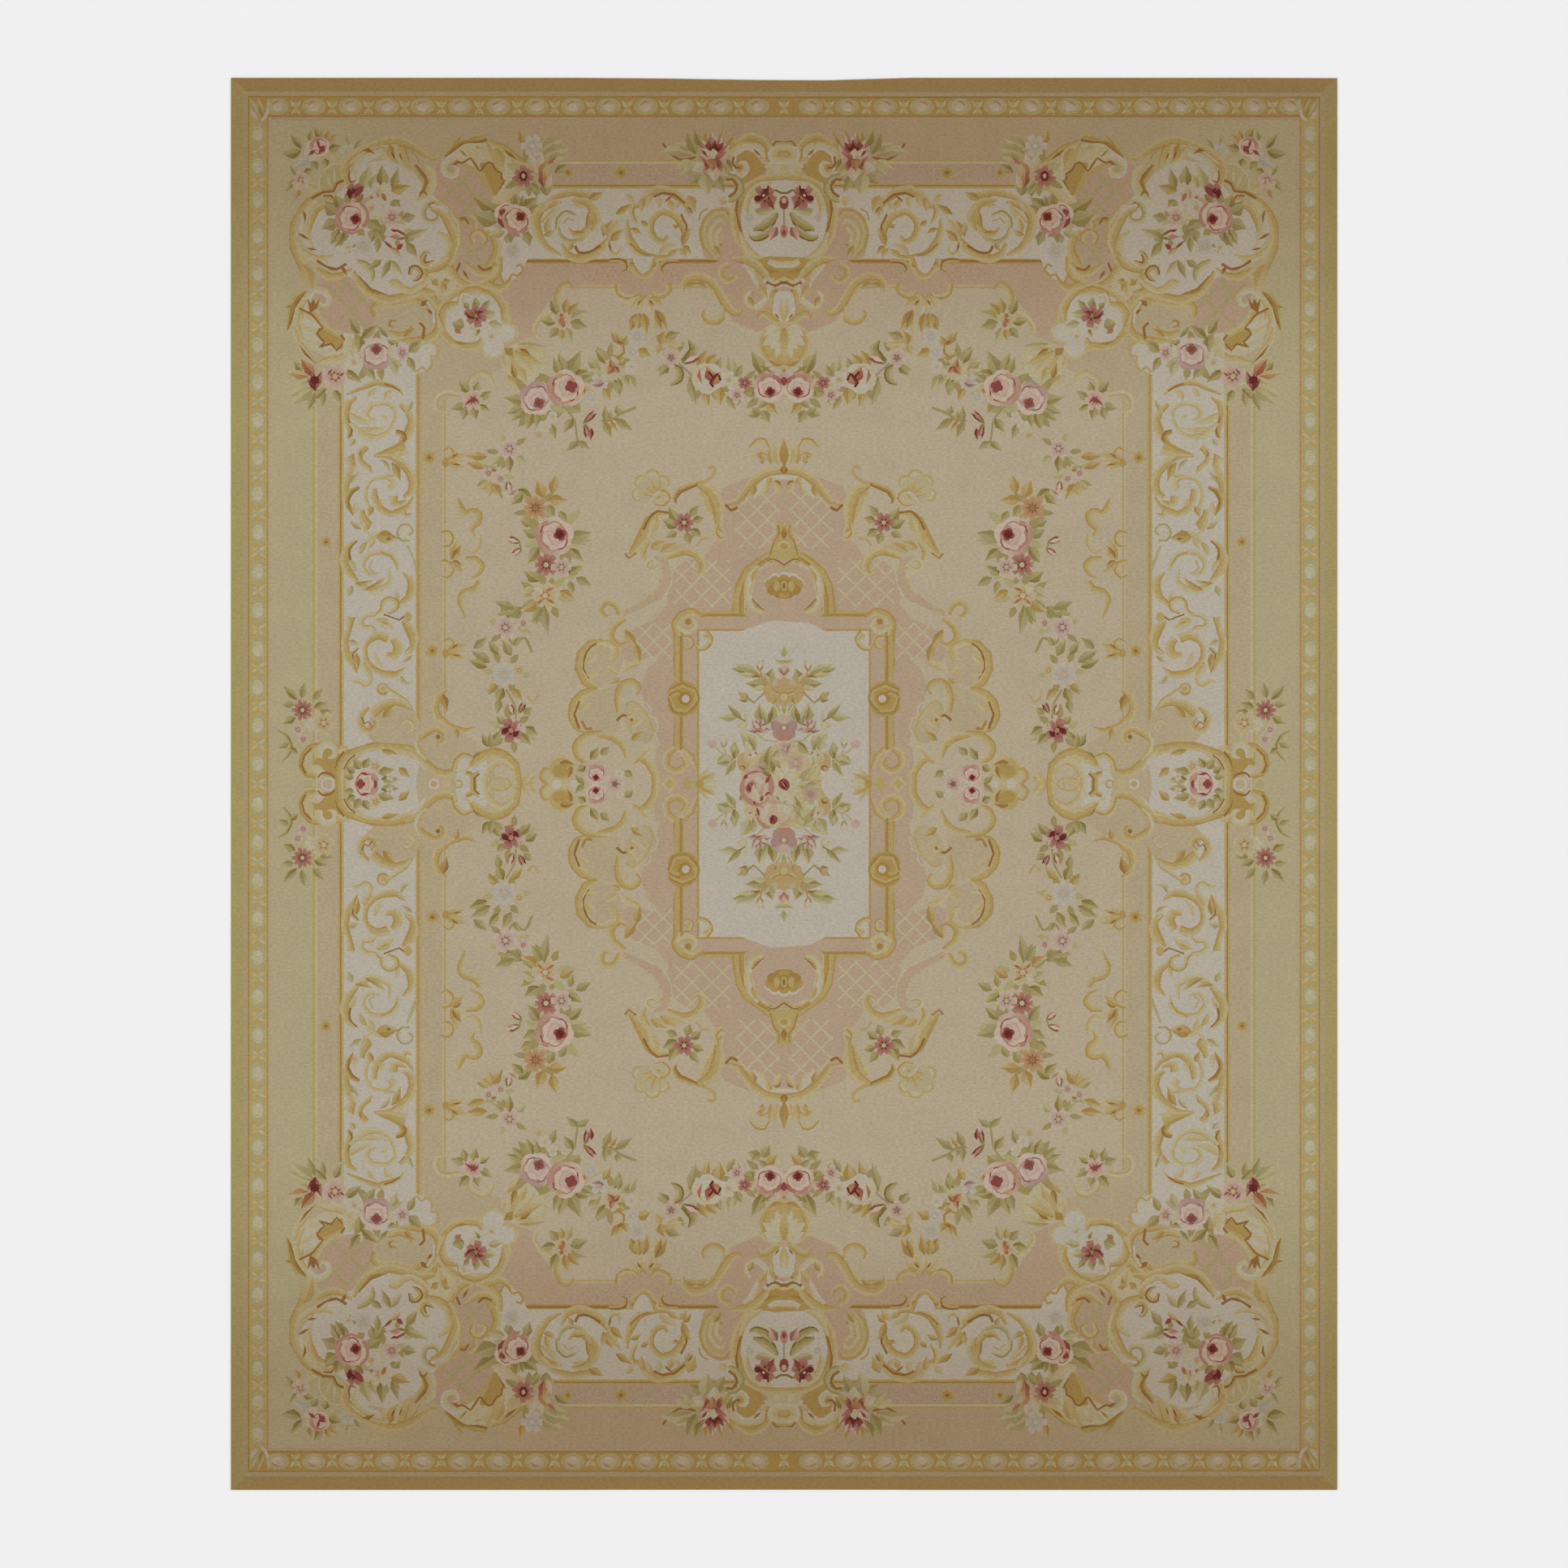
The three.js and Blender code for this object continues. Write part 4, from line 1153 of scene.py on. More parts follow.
class TopCentre(Section):
    """Oval cartouche in the middle of the end, between two peonies."""

    GROUNDS = (
        Ground((884, 322, 966, 322, 966, 402, 950, 402, 934, 409, 916, 402, 902, 396, 896, 380, 888, 360, 884,
                345), Wool.SALMON),
        Ground((903, 184, 912, 174, 926, 168, 940, 173, 948, 186, 946, 204, 938, 216, 926, 226, 914, 240, 906,
                232, 912, 214, 906, 200), Wool.HONEY),
        Ground((972, 212, 952, 214, 932, 222, 918, 236, 910, 254, 908, 274, 912, 294, 922, 312, 938, 324, 972,
                332), Wool.IVORY),
        Ground((938, 318, 972, 318, 972, 345, 958, 347, 944, 342, 934, 332), Wool.HONEY),
    )
    CARTOUCHE = (
        Scroll((902, 183, 911, 174, 925, 168, 939, 173, 948, 185, 947, 196), (3, 6, 7, 8, 6, 2), GILT, -1),
        Scroll((904, 200, 903, 191, 911, 183, 922, 180, 933, 186, 938, 197), (5, 8, 8, 8, 7, 2), IVORIES),
        Leaf(930, 176, 942, 200, 8, IVORIES, -0.1),
        Scroll((903, 206, 905, 214, 913, 216, 920, 209, 917, 201, 909, 202), (6, 6, 6, 6, 5, 1), IVORIES),
        Line((904, 193, 903, 202, 907, 207, 912, 207), 3, Wool.BRONZE),
        Stroke(928, 184, 938, 193, 3.4, Wool.BRONZE), Leaf(936, 194, 948, 204, 6, PALE_GILT),
        Scroll((972, 182, 958, 181, 950, 189, 955, 198, 968, 199), (6, 7, 7, 7, 6), IVORIES),
        Scroll((968, 185, 960, 186, 957, 192, 963, 195), (3, 4, 4, 1), GILT),
        Leaf(958, 203, 941, 206, 9, IVORIES), Leaf(960, 204, 943, 216, 9, PALE_GILT),
        Leaf(963, 204, 952, 222, 9, IVORIES), Leaf(966, 203, 966, 224, 10, PALE_GILT),
        Stroke(949, 216, 960, 219, 3, Wool.BRONZE),
        Scroll((952, 181, 957, 176, 966, 177), (2, 4, 3), BURNT_GILT),
        Scroll((970, 219, 950, 219, 930, 225, 915, 238, 907, 256, 906, 276, 911, 295, 921, 311, 934, 322),
               (5, 6, 8, 10, 10, 10, 10, 9, 5), GILT),
        Scroll((952, 224, 936, 229, 924, 240, 919, 254, 921, 266), (2, 6, 7, 6, 1), PALE_GILT),
        Line((910, 243, 907, 258, 909, 273, 914, 286), 2.8, Wool.BRONZE),
        Scroll((912, 286, 917, 301, 927, 313, 940, 318), (2, 6, 6, 1), PALE_GILT),
        Scroll((892, 225, 900, 219, 909, 224, 912, 234, 906, 243, 897, 248), (3, 8, 9, 9, 8, 4), MISTS),
        Line((895, 222, 902, 221, 908, 229, 905, 238, 898, 243), 3.6, Wool.BRONZE),
        Leaf(896, 248, 884, 246, 10, PALE_GILT), Leaf(930, 259, 947, 264, 8, MISTS),
        Scroll((958, 262, 951, 272, 940, 279, 928, 283), (3, 9, 10, 3), OLIVES),
        Scroll((952, 280, 942, 290, 930, 294, 924, 291), (4, 8, 7, 2), OLIVES),
        Stroke(956, 264, 930, 282, 1.6, Wool.SAGE, -0.05), Leaf(932, 262, 958, 258, 7, MISTS),
        Bloom(943, 243, 17, 5, REDS, 20, Wool.HONEY), Stroke(929, 246, 940, 243, 8, Wool.GARNET),
        Stroke(941, 240, 947, 228, 7, Wool.GARNET), Stroke(946, 246, 954, 258, 7, Wool.CRIMSON),
        Disc(941, 241, 4, 4, Wool.GARNET, 8), Disc(941, 241, 2, 2.2, Wool.STRAW, 6),
        Leaf(945, 232, 936, 224, 7, CREAMS), Bloom(924, 268, 7, 4, LILACS, 0, Wool.IVORY),
        Leaf(957, 280, 948, 297, 9, ROSES), Disc(966, 250, 6, 9, Wool.CRIMSON, 8),
        Disc(966, 247, 3.4, 4, Wool.SHELL, 6), Disc(966, 285, 5, 9, Wool.ROSE, 8),
        Disc(966, 287, 2.6, 4, Wool.CRIMSON, 6), Line((955, 234, 962, 238, 968, 238), 2.6, Wool.MOSS),
        Line((966, 258, 966, 278), 2, Wool.REED),
        # Acanthus and palmette below the oval
        Scroll((903, 319, 920, 321, 934, 329, 944, 341, 948, 352), (3, 9, 10, 8, 3), GILT, -1),
        Scroll((916, 326, 926, 334, 933, 347, 935, 358), (3, 6, 5, 1), IVORIES),
        Scroll((898, 326, 890, 330, 888, 340, 896, 347, 905, 343, 907, 336), (6, 6, 6, 5, 4, 1), GILT),
        Scroll((947, 322, 956, 326, 970, 325), (5, 7, 5), IVORIES),
        Scroll((942, 344, 953, 351, 970, 345), (4, 8, 7), IVORIES),
        Line((944, 348, 954, 353, 962, 349, 970, 350), 3.4, Wool.BRONZE),
        Stroke(940, 328, 962, 336, 5, Wool.OCHRE, 0.1),
        Scroll((951, 343, 949, 358, 943, 371, 932, 379, 922, 375, 919, 365, 925, 358), (5, 6, 6, 6, 6, 5, 2),
               IVORIES),
        Leaf(935, 352, 946, 368, 8, GILT), Leaf(922, 366, 929, 379, 6, STRAWS),
        # Pendant below the palmette
        Ground((972, 402, 966, 400, 952, 379, 936, 382, 942, 388, 954, 395), Wool.GOLD),
        Leaf(956, 356, 950, 377, 9, STRAWS),
        Ground((972, 361, 956, 361, 953, 372, 952, 382, 957, 392, 972, 398), Wool.IVORY),
        Leaf(966, 396, 962, 366, 7, PALE_GILT),
        Scroll((934, 394, 938, 387, 948, 390, 960, 401), (3, 6, 6, 4), GILT),
        Stroke(955, 386, 960, 394, 3, Wool.BRONZE),
        Line((945, 347, 951, 351, 958, 352, 963, 347, 966, 348), 2.6, Wool.BRONZE),
        Ground((972, 398, 957, 400, 943, 408, 937, 420, 939, 436, 949, 448, 972, 454), Wool.GOLD),
        Scroll((968, 399, 952, 402, 941, 411, 937, 425, 942, 439, 953, 448, 968, 451), (4, 6, 6, 6, 6, 6, 4),
               GILT),
        Leaf(963, 404, 941, 414, 11, IVORIES, 0.06), Leaf(963, 410, 939, 426, 11, IVORIES),
        Leaf(964, 414, 949, 431, 9, CREAMS), Leaf(964, 420, 956, 441, 9, IVORIES),
        Leaf(966, 404, 966, 442, 9, STRAWS), Leaf(963, 450, 945, 442, 8, STRAWS),
        Disc(966, 400, 5, 4, Wool.SHELL, 7), Disc(966, 457, 3, 3, Wool.REED, 4),
        # C scroll from the oval to the field's edge
        Scroll((842, 360, 842, 350, 850, 342, 864, 341, 878, 348, 887, 361, 893, 374, 902, 384, 911, 386, 914,
                380), (2, 6, 8, 9, 9, 9, 9, 8, 6, 1), GILT, -1),
        Leaf(846, 352, 862, 350, 6, STRAWS), Leaf(860, 348, 871, 357, 6, STRAWS),
        Leaf(872, 352, 884, 370, 5, PALE_GILT),
        Scroll((891, 377, 892, 388, 885, 396, 874, 396, 867, 388, 869, 381), (2, 5, 6, 6, 5, 1), GILT),
        Line((894, 385, 896, 396, 908, 401, 920, 409, 936, 412), 2.6, Wool.CREAM),
    )
    PEONY = (
        Line((817, 177, 825, 188, 836, 196, 846, 197, 857, 194), 2.8, Wool.BRONZE),
        Leaf(852, 192, 812, 188, 12, MISTS, 0.12), Leaf(856, 184, 830, 176, 9, MISTS),
        Leaf(858, 190, 846, 162, 11, SAGES), Leaf(868, 181, 856, 160, 10, OLIVES, -0.06),
        Leaf(872, 176, 870, 160, 6, STRAWS), Leaf(888, 178, 892, 159, 7, STRAWS),
        Leaf(896, 186, 907, 164, 7, STRAWS), Leaf(852, 198, 832, 208, 9, PALE_GILT),
        Leaf(858, 202, 838, 218, 8, MISTS), Leaf(864, 216, 848, 227, 9, SAGES),
        Leaf(868, 212, 872, 241, 15, MISTS), Leaf(880, 214, 893, 238, 10, SAGES),
        Leaf(890, 196, 903, 212, 10, OLIVES), Leaf(868, 204, 852, 210, 10, CREAMS),
        Leaf(880, 206, 880, 224, 13, CREAMS), Leaf(890, 206, 897, 218, 9, MISTS),
        Leaf(876, 196, 864, 172, 13, ROSES), Leaf(880, 192, 877, 163, 13, ROSES),
        Leaf(884, 196, 889, 167, 13, ROSES), Leaf(886, 198, 898, 178, 12, ROSES),
        Leaf(880, 192, 880, 167, 9, MAUVES),
        Ground((868, 180, 873, 174, 877, 179, 881, 172, 885, 179, 892, 175, 890, 184, 885, 188, 880, 184, 876,
                188, 871, 184), Wool.CRIMSON, False),
        Ground((872, 181, 877, 182, 881, 177, 885, 183, 889, 181, 885, 187, 880, 183, 876, 186), Wool.GARNET,
               False),
        Leaf(880, 202, 863, 182, 12, CREAMS), Leaf(882, 202, 878, 183, 11, CREAMS),
        Leaf(882, 203, 897, 187, 12, ROSES), Leaf(880, 204, 861, 190, 9, ROSES),
        Stroke(864, 184, 872, 194, 4, Wool.CRIMSON), Leaf(878, 196, 866, 211, 8, CORALS),
        Leaf(880, 196, 877, 212, 8, CORALS), Leaf(882, 196, 889, 212, 8, CORALS),
        Stroke(868, 198, 872, 209, 4, Wool.CRIMSON), Stroke(883, 198, 887, 210, 4, Wool.CRIMSON),
    )
    MOTIFS = (*GROUNDS, *CARTOUCHE, *PEONY)


class Festoon(Section):
    """Festoon of roses along the end of the field, and the garland that starts from it."""

    MOTIFS = (
        # Beds of leaves
        *(Foliage(*bed) for bed in (
            (872, 468, 34, 6), (912, 476, 28, 5, 20), (944, 480, 34, 6, 10), (832, 444, 26, 5),
            (752, 456, 34, 6, 25), (697, 481, 40, 7), (661, 494, 40, 7, 15))),
        # Swag towards the middle
        Leaf(813, 424, 820, 407, 11, STRAWS), Leaf(814, 424, 808, 438, 7, GILT),
        Leaf(820, 416, 839, 410, 9, SAGES), Leaf(820, 422, 842, 426, 7, PALE_GILT),
        Leaf(822, 426, 839, 436, 6, PALE_GILT), Leaf(824, 450, 812, 463, 9, OLIVES),
        Scroll((828, 450, 837, 456, 837, 467, 826, 475), (3, 8, 7, 1), OLIVES),
        Scroll((840, 446, 849, 441, 855, 430, 848, 419), (4, 10, 9, 1), OLIVES),
        Line((836, 448, 846, 456, 853, 463), 3, Wool.MAUVE), Leaf(850, 465, 858, 500, 8, SAGES, 0.05),
        Leaf(862, 448, 872, 431, 9, STRAWS), Leaf(870, 450, 884, 436, 9, STRAWS),
        Leaf(882, 456, 889, 440, 8, SAGES), Leaf(866, 478, 874, 503, 9, STRAWS),
        Leaf(868, 476, 866, 490, 6, SAGES), Leaf(886, 476, 887, 501, 11, STRAWS),
        Leaf(896, 488, 906, 506, 7, SAGES), Leaf(905, 466, 906, 446, 10, OLIVES),
        Leaf(908, 464, 915, 449, 7, SAGES), Leaf(902, 462, 897, 436, 8, MISTS),
        Leaf(916, 484, 940, 483, 11, SAGES), Leaf(926, 488, 938, 480, 6, OLIVES),
        Leaf(936, 458, 926, 432, 8, SAGES), Leaf(938, 460, 929, 436, 12, OLIVES, 0.08),
        Leaf(940, 458, 950, 452, 5, OLIVES), Line((938, 451, 948, 457, 958, 463), 2.6, Wool.OLIVE),
        Leaf(944, 496, 958, 511, 9, STRAWS), Leaf(946, 494, 932, 504, 6, SAGES),
        Leaf(938, 508, 920, 512, 9, SAGES), Leaf(940, 506, 948, 522, 10, SAGES),
        Leaf(936, 510, 926, 502, 7, SAGES), Bud(842, 447, 861, 438, 11, ROSES),
        Bloom(827, 441, 13, 5, MAUVES, 20, Wool.OLIVE), Bloom(898, 468, 13, 5, CREAMS, 0, Wool.PEACH),
        Rose(872, 466, 20, 20, CREAMS, Wool.PEACH), Stroke(862, 454, 865, 474, 5, Wool.CORAL, 0.1),
        Leaf(878, 470, 871, 452, 11, CORALS), Leaf(878, 474, 888, 458, 10, CORALS),
        Line((873, 458, 879, 466, 875, 472, 879, 477), 3, Wool.GARNET),
        Line((879, 466, 884, 461, 888, 469), 3, Wool.GARNET), Bloom(918, 472, 10, 5, REDS, 0, Wool.MAUVE),
        Bloom(908, 487, 11, 5, MAUVES, 30, Wool.ROSE), Disc(931, 465, 3, 4, Wool.REED, 4),
        Rose(948, 477, 20, 80, ROSES), Stroke(936, 470, 945, 462, 6, Wool.ROSE),
        Stroke(952, 460, 963, 468, 7, Wool.CRIMSON), Leaf(970, 470, 952, 460, 11, ROSES),
        Disc(966, 470, 4, 6, Wool.CRIMSON, 6),
        # Towards the corner
        Leaf(764, 424, 752, 407, 8, STRAWS), Leaf(766, 426, 761, 411, 8, STRAWS),
        Leaf(768, 426, 774, 414, 7, STRAWS), Stroke(760, 420, 768, 424, 4, Wool.BRONZE),
        Scroll((767, 426, 767, 434, 760, 438, 754, 436), (3, 5, 5, 1), STRAWS),
        Leaf(750, 446, 735, 426, 8, SAGES), Leaf(747, 448, 733, 430, 10, OLIVES, 0.08),
        Leaf(785, 431, 803, 440, 10, STRAWS), Leaf(772, 462, 785, 482, 11, MISTS),
        Leaf(770, 464, 776, 474, 5, SAGES), Leaf(757, 468, 763, 489, 8, OLIVES, -0.08),
        Leaf(762, 466, 766, 484, 6, SAGES), Leaf(744, 478, 752, 494, 8, STRAWS),
        Leaf(740, 458, 724, 446, 9, SAGES), Leaf(742, 462, 722, 456, 9, MISTS),
        Leaf(758, 448, 770, 440, 8, STRAWS), Leaf(760, 452, 772, 450, 7, SAGES),
        Bloom(785, 415, 12, 8, LILACS, 0, Wool.STRAW), Bloom(780, 434, 10, 5, LILACS, 30, Wool.IVORY),
        Bloom(778, 452, 9, 5, CREAMS, 0, Wool.LILAC), Bloom(754, 454, 14, 6, PEACHES, 0, Wool.CORAL),
        Leaf(756, 458, 752, 441, 6, CORALS), Leaf(756, 452, 764, 460, 6, CORALS),
        Leaf(756, 452, 748, 462, 6, CORALS), Bloom(738, 472, 13, 5, LILACS, 20, Wool.IVORY),
        Leaf(744, 472, 728, 474, 7, MAUVES), Line((741, 518, 754, 518, 764, 510, 784, 502), 3.4, Wool.REED),
        Leaf(746, 519, 746, 500, 7, SAGES), Leaf(752, 518, 753, 506, 5, SAGES),
        Leaf(762, 511, 760, 499, 7, SAGES), Leaf(744, 519, 754, 540, 8, SAGES),
        Leaf(758, 516, 780, 531, 8, SAGES), Leaf(752, 519, 761, 532, 5, STRAWS),
        # Roses of the corner
        Leaf(696, 464, 688, 434, 11, OLIVES, 0.06), Leaf(704, 462, 716, 432, 13, SAGES, -0.06),
        Leaf(690, 462, 682, 440, 9, SAGES), Leaf(708, 464, 726, 458, 11, OLIVES),
        Leaf(650, 494, 620, 489, 10, SAGES), Leaf(648, 500, 624, 510, 9, OLIVES),
        Leaf(648, 504, 630, 519, 8, SAGES), Leaf(656, 508, 649, 530, 10, OLIVES),
        Leaf(664, 508, 660, 528, 7, SAGES), Line((694, 500, 706, 514, 711, 530, 712, 551), 2.6, Wool.REED),
        Leaf(698, 498, 716, 509, 10, SAGES), Leaf(706, 516, 694, 533, 9, OLIVES),
        Leaf(712, 544, 697, 556, 7, SAGES), Leaf(713, 544, 727, 554, 7, SAGES),
        Leaf(678, 522, 685, 542, 8, SAGES), Leaf(672, 506, 684, 518, 8, OLIVES),
        Bud(720, 521, 734, 507, 8, REDS), Bud(721, 523, 725, 540, 8, REDS), Leaf(729, 528, 728, 543, 5, REDS),
        Leaf(716, 470, 730, 462, 8, SAGES), Bloom(672, 525, 9, 5, CREAMS, 0, Wool.STRAW),
        Bloom(681, 514, 8, 5, CREAMS, 30, Wool.STRAW), Bloom(664, 536, 7, 5, PEACHES, 0, Wool.STRAW),
        Bloom(719, 481, 11, 6, PEACHES, 0, Wool.CORAL), Bloom(728, 490, 9, 5, LILACS, 0, Wool.IVORY),
        Rose(661, 491, 22, 60, MAUVES, Wool.CRIMSON), Rose(697, 479, 24, 340, ROSES, Wool.CRIMSON),
        Stroke(684, 466, 694, 460, 6, Wool.PEACH), Stroke(708, 494, 716, 486, 6, Wool.SHELL),
    )


class SideGarland(Section):
    """Garland of single flowers down the side of the field, and the curls beside it."""

    MOTIFS = (
        # Beds of leaves
        *(Foliage(*bed) for bed in (
            (683, 661, 46, 7), (678, 698, 34, 6, 20), (672, 736, 36, 7), (626, 556, 28, 5, 30),
            (610, 586, 26, 5), (626, 771, 30, 6, 10), (622, 829, 34, 6), (630, 900, 34, 6, 15),
            (662, 628, 30, 5, 20))),
        # Upper length
        Leaf(628, 562, 628, 584, 8, OLIVES), Leaf(618, 562, 604, 574, 7, MISTS),
        Leaf(638, 562, 648, 572, 7, MISTS), Leaf(600, 563, 573, 561, 9, STRAWS),
        Leaf(596, 577, 573, 568, 8, STRAWS), Leaf(606, 594, 590, 604, 8, GILT),
        Leaf(606, 596, 602, 613, 8, GILT), Leaf(608, 596, 620, 616, 8, STRAWS),
        Leaf(612, 580, 598, 574, 6, OLIVES), Leaf(639, 603, 656, 616, 10, OLIVES),
        Leaf(644, 610, 630, 622, 9, OLIVES), Leaf(670, 613, 662, 591, 12, STRAWS),
        Leaf(680, 608, 686, 584, 10, STRAWS), Leaf(676, 616, 700, 617, 11, STRAWS),
        Leaf(676, 622, 682, 638, 9, SAGES), Leaf(690, 630, 698, 644, 8, SAGES),
        Leaf(655, 648, 641, 640, 8, SAGES), Leaf(662, 662, 644, 652, 10, SAGES),
        Leaf(664, 674, 650, 694, 11, OLIVES), Leaf(700, 664, 730, 656, 12, SAGES),
        Leaf(700, 670, 724, 672, 10, MISTS), Leaf(702, 676, 719, 692, 9, OLIVES),
        Line((630, 661, 640, 668, 642, 678), 2.6, Wool.REED), Bloom(628, 553, 14, 6, MAUVES, 0, Wool.STRAW),
        Bloom(602, 583, 8, 5, MAUVES, 0, Wool.PEACH), Bloom(617, 590, 8, 5, MAUVES, 20, Wool.PEACH),
        Bud(626, 594, 628, 606, 9, ROSES), Leaf(618, 604, 632, 614, 8, CREAMS),
        Stroke(627, 611, 638, 603, 4, Wool.ROSE), Bloom(660, 626, 17, 8, CORALS, 0, Wool.OLIVE),
        Bud(640, 668, 626, 664, 9, ROSES), Bud(642, 676, 632, 684, 8, ROSES), Rose(683, 661, 25, 340, ROSES),
        Stroke(668, 648, 676, 642, 6, Wool.ROSE), Stroke(694, 680, 704, 672, 7, Wool.SHELL),
        # Middle length
        Leaf(664, 716, 646, 704, 11, OLIVES), Leaf(700, 708, 718, 697, 9, OLIVES),
        Leaf(710, 712, 729, 722, 9, SAGES), Leaf(702, 716, 706, 732, 7, SAGES),
        Leaf(660, 724, 642, 736, 11, MISTS), Leaf(690, 728, 708, 738, 9, STRAWS),
        Leaf(662, 742, 644, 754, 12, STRAWS), Leaf(642, 748, 628, 758, 9, OLIVES),
        Leaf(634, 750, 610, 741, 9, SAGES), Leaf(632, 758, 612, 756, 8, SAGES),
        Leaf(670, 744, 676, 782, 10, SAGES, 0.05), Leaf(668, 746, 655, 768, 8, SAGES),
        Line((668, 712, 664, 730, 640, 752, 628, 764), 2.4, Wool.REED),
        Bloom(673, 696, 16, 8, REDS, 0, Wool.PEACH), Disc(673, 696, 3.4, 3.4, Wool.CREAM, 7),
        Bloom(692, 699, 14, 6, MAUVES, 0, Wool.STRAW), Bloom(672, 734, 18, 6, PEACHES, 0, Wool.CREAM),
        Leaf(668, 732, 658, 724, 9, CREAMS), Stroke(672, 728, 684, 724, 4, Wool.CORAL),
        Stroke(674, 738, 684, 744, 4, Wool.CORAL), Stroke(668, 738, 662, 746, 4, Wool.CORAL),
        Bloom(623, 773, 16, 7, MAUVES, 0, Wool.STRAW), Bloom(645, 768, 8, 5, MAUVES, 20, Wool.PEACH),
        Bloom(634, 786, 6, 5, CREAMS, 20, Wool.STRAW),
        # Lower length
        Leaf(604, 816, 580, 801, 10, SAGES), Leaf(600, 822, 577, 813, 9, OLIVES),
        Leaf(584, 799, 601, 785, 8, SAGES), Leaf(614, 806, 602, 790, 8, OLIVES),
        Leaf(630, 808, 619, 788, 9, SAGES), Line((633, 795, 647, 786, 656, 804), 3, Wool.REED),
        Leaf(634, 796, 640, 784, 6, SAGES), Leaf(620, 848, 611, 867, 10, OLIVES),
        Leaf(616, 862, 612, 880, 8, SAGES), Leaf(631, 848, 644, 864, 8, STRAWS),
        Leaf(612, 844, 600, 852, 8, STRAWS), Line((650, 858, 657, 866, 664, 856), 3, Wool.GOLD),
        Leaf(646, 880, 656, 872, 8, SAGES), Leaf(648, 896, 663, 906, 9, OLIVES),
        Leaf(640, 904, 654, 918, 9, OLIVES), Leaf(622, 892, 612, 882, 8, SAGES),
        Line((624, 850, 634, 868, 636, 886), 2.4, Wool.REED), Bloom(622, 831, 17, 8, LILACS, 0, Wool.STRAW),
        Bloom(640, 826, 9, 5, PEACHES, 0, Wool.STRAW), Bud(632, 880, 628, 868, 8, ROSES),
        Bud(640, 878, 646, 866, 8, REDS), Bloom(630, 900, 17, 5, REDS, 30, Wool.ROSE),
        Leaf(634, 902, 640, 890, 9, ROSES), Stroke(618, 904, 628, 896, 7, Wool.GARNET),
        Stroke(632, 908, 640, 900, 6, Wool.GARNET),
        # Curls beside the line
        Scroll((564, 614, 567, 626, 574, 633, 582, 630, 590, 634, 588, 644, 580, 652, 585, 661),
               (3, 6, 7, 6, 8, 8, 6, 1), GILT),
        Scroll((591, 658, 590, 670, 583, 679, 574, 676), (3, 6, 6, 1), PALE_GILT),
        Scroll((574, 688, 586, 689, 594, 698, 588, 708, 580, 712), (4, 6, 7, 5, 2), GILT),
        Scroll((592, 716, 586, 726, 573, 729, 567, 738, 570, 750, 574, 761), (5, 8, 6, 6, 6, 2), GILT, -1),
        Scroll((544, 658, 552, 656, 557, 663, 553, 671, 545, 672), (4, 5, 5, 5, 2), GILT),
        Scroll((545, 692, 553, 694, 557, 703, 551, 710, 544, 708), (4, 5, 5, 5, 2), GILT),
        Leaf(556, 690, 566, 662, 8, GILT), Leaf(558, 688, 569, 672, 6, BURNT_GILT),
        Leaf(558, 690, 574, 684, 7, PALE_GILT), Leaf(557, 692, 570, 697, 6, BURNT_GILT),
        Leaf(556, 692, 572, 707, 7, GILT),
        *(motif for top in (551, 786) for motif in (
            Leaf(550, top + 18, 570, top, 8, PALE_GILT), Leaf(550, top + 18, 576, top + 8, 8, GILT),
            Leaf(550, top + 19, 578, top + 18, 8, PALE_GILT), Leaf(550, top + 20, 573, top + 26, 7, GILT),
            Disc(549, top + 19, 4, 6, Wool.HONEY, 9), Stroke(556, top + 14, 566, top + 6, 2.6, Wool.BRONZE),
            Stroke(557, top + 21, 569, top + 22, 2.6, Wool.BRONZE),
            Scroll((547, top + 6, 553, top + 2, 558, top + 7, 554, top + 12), (3, 4, 4, 1), GILT))),
    )


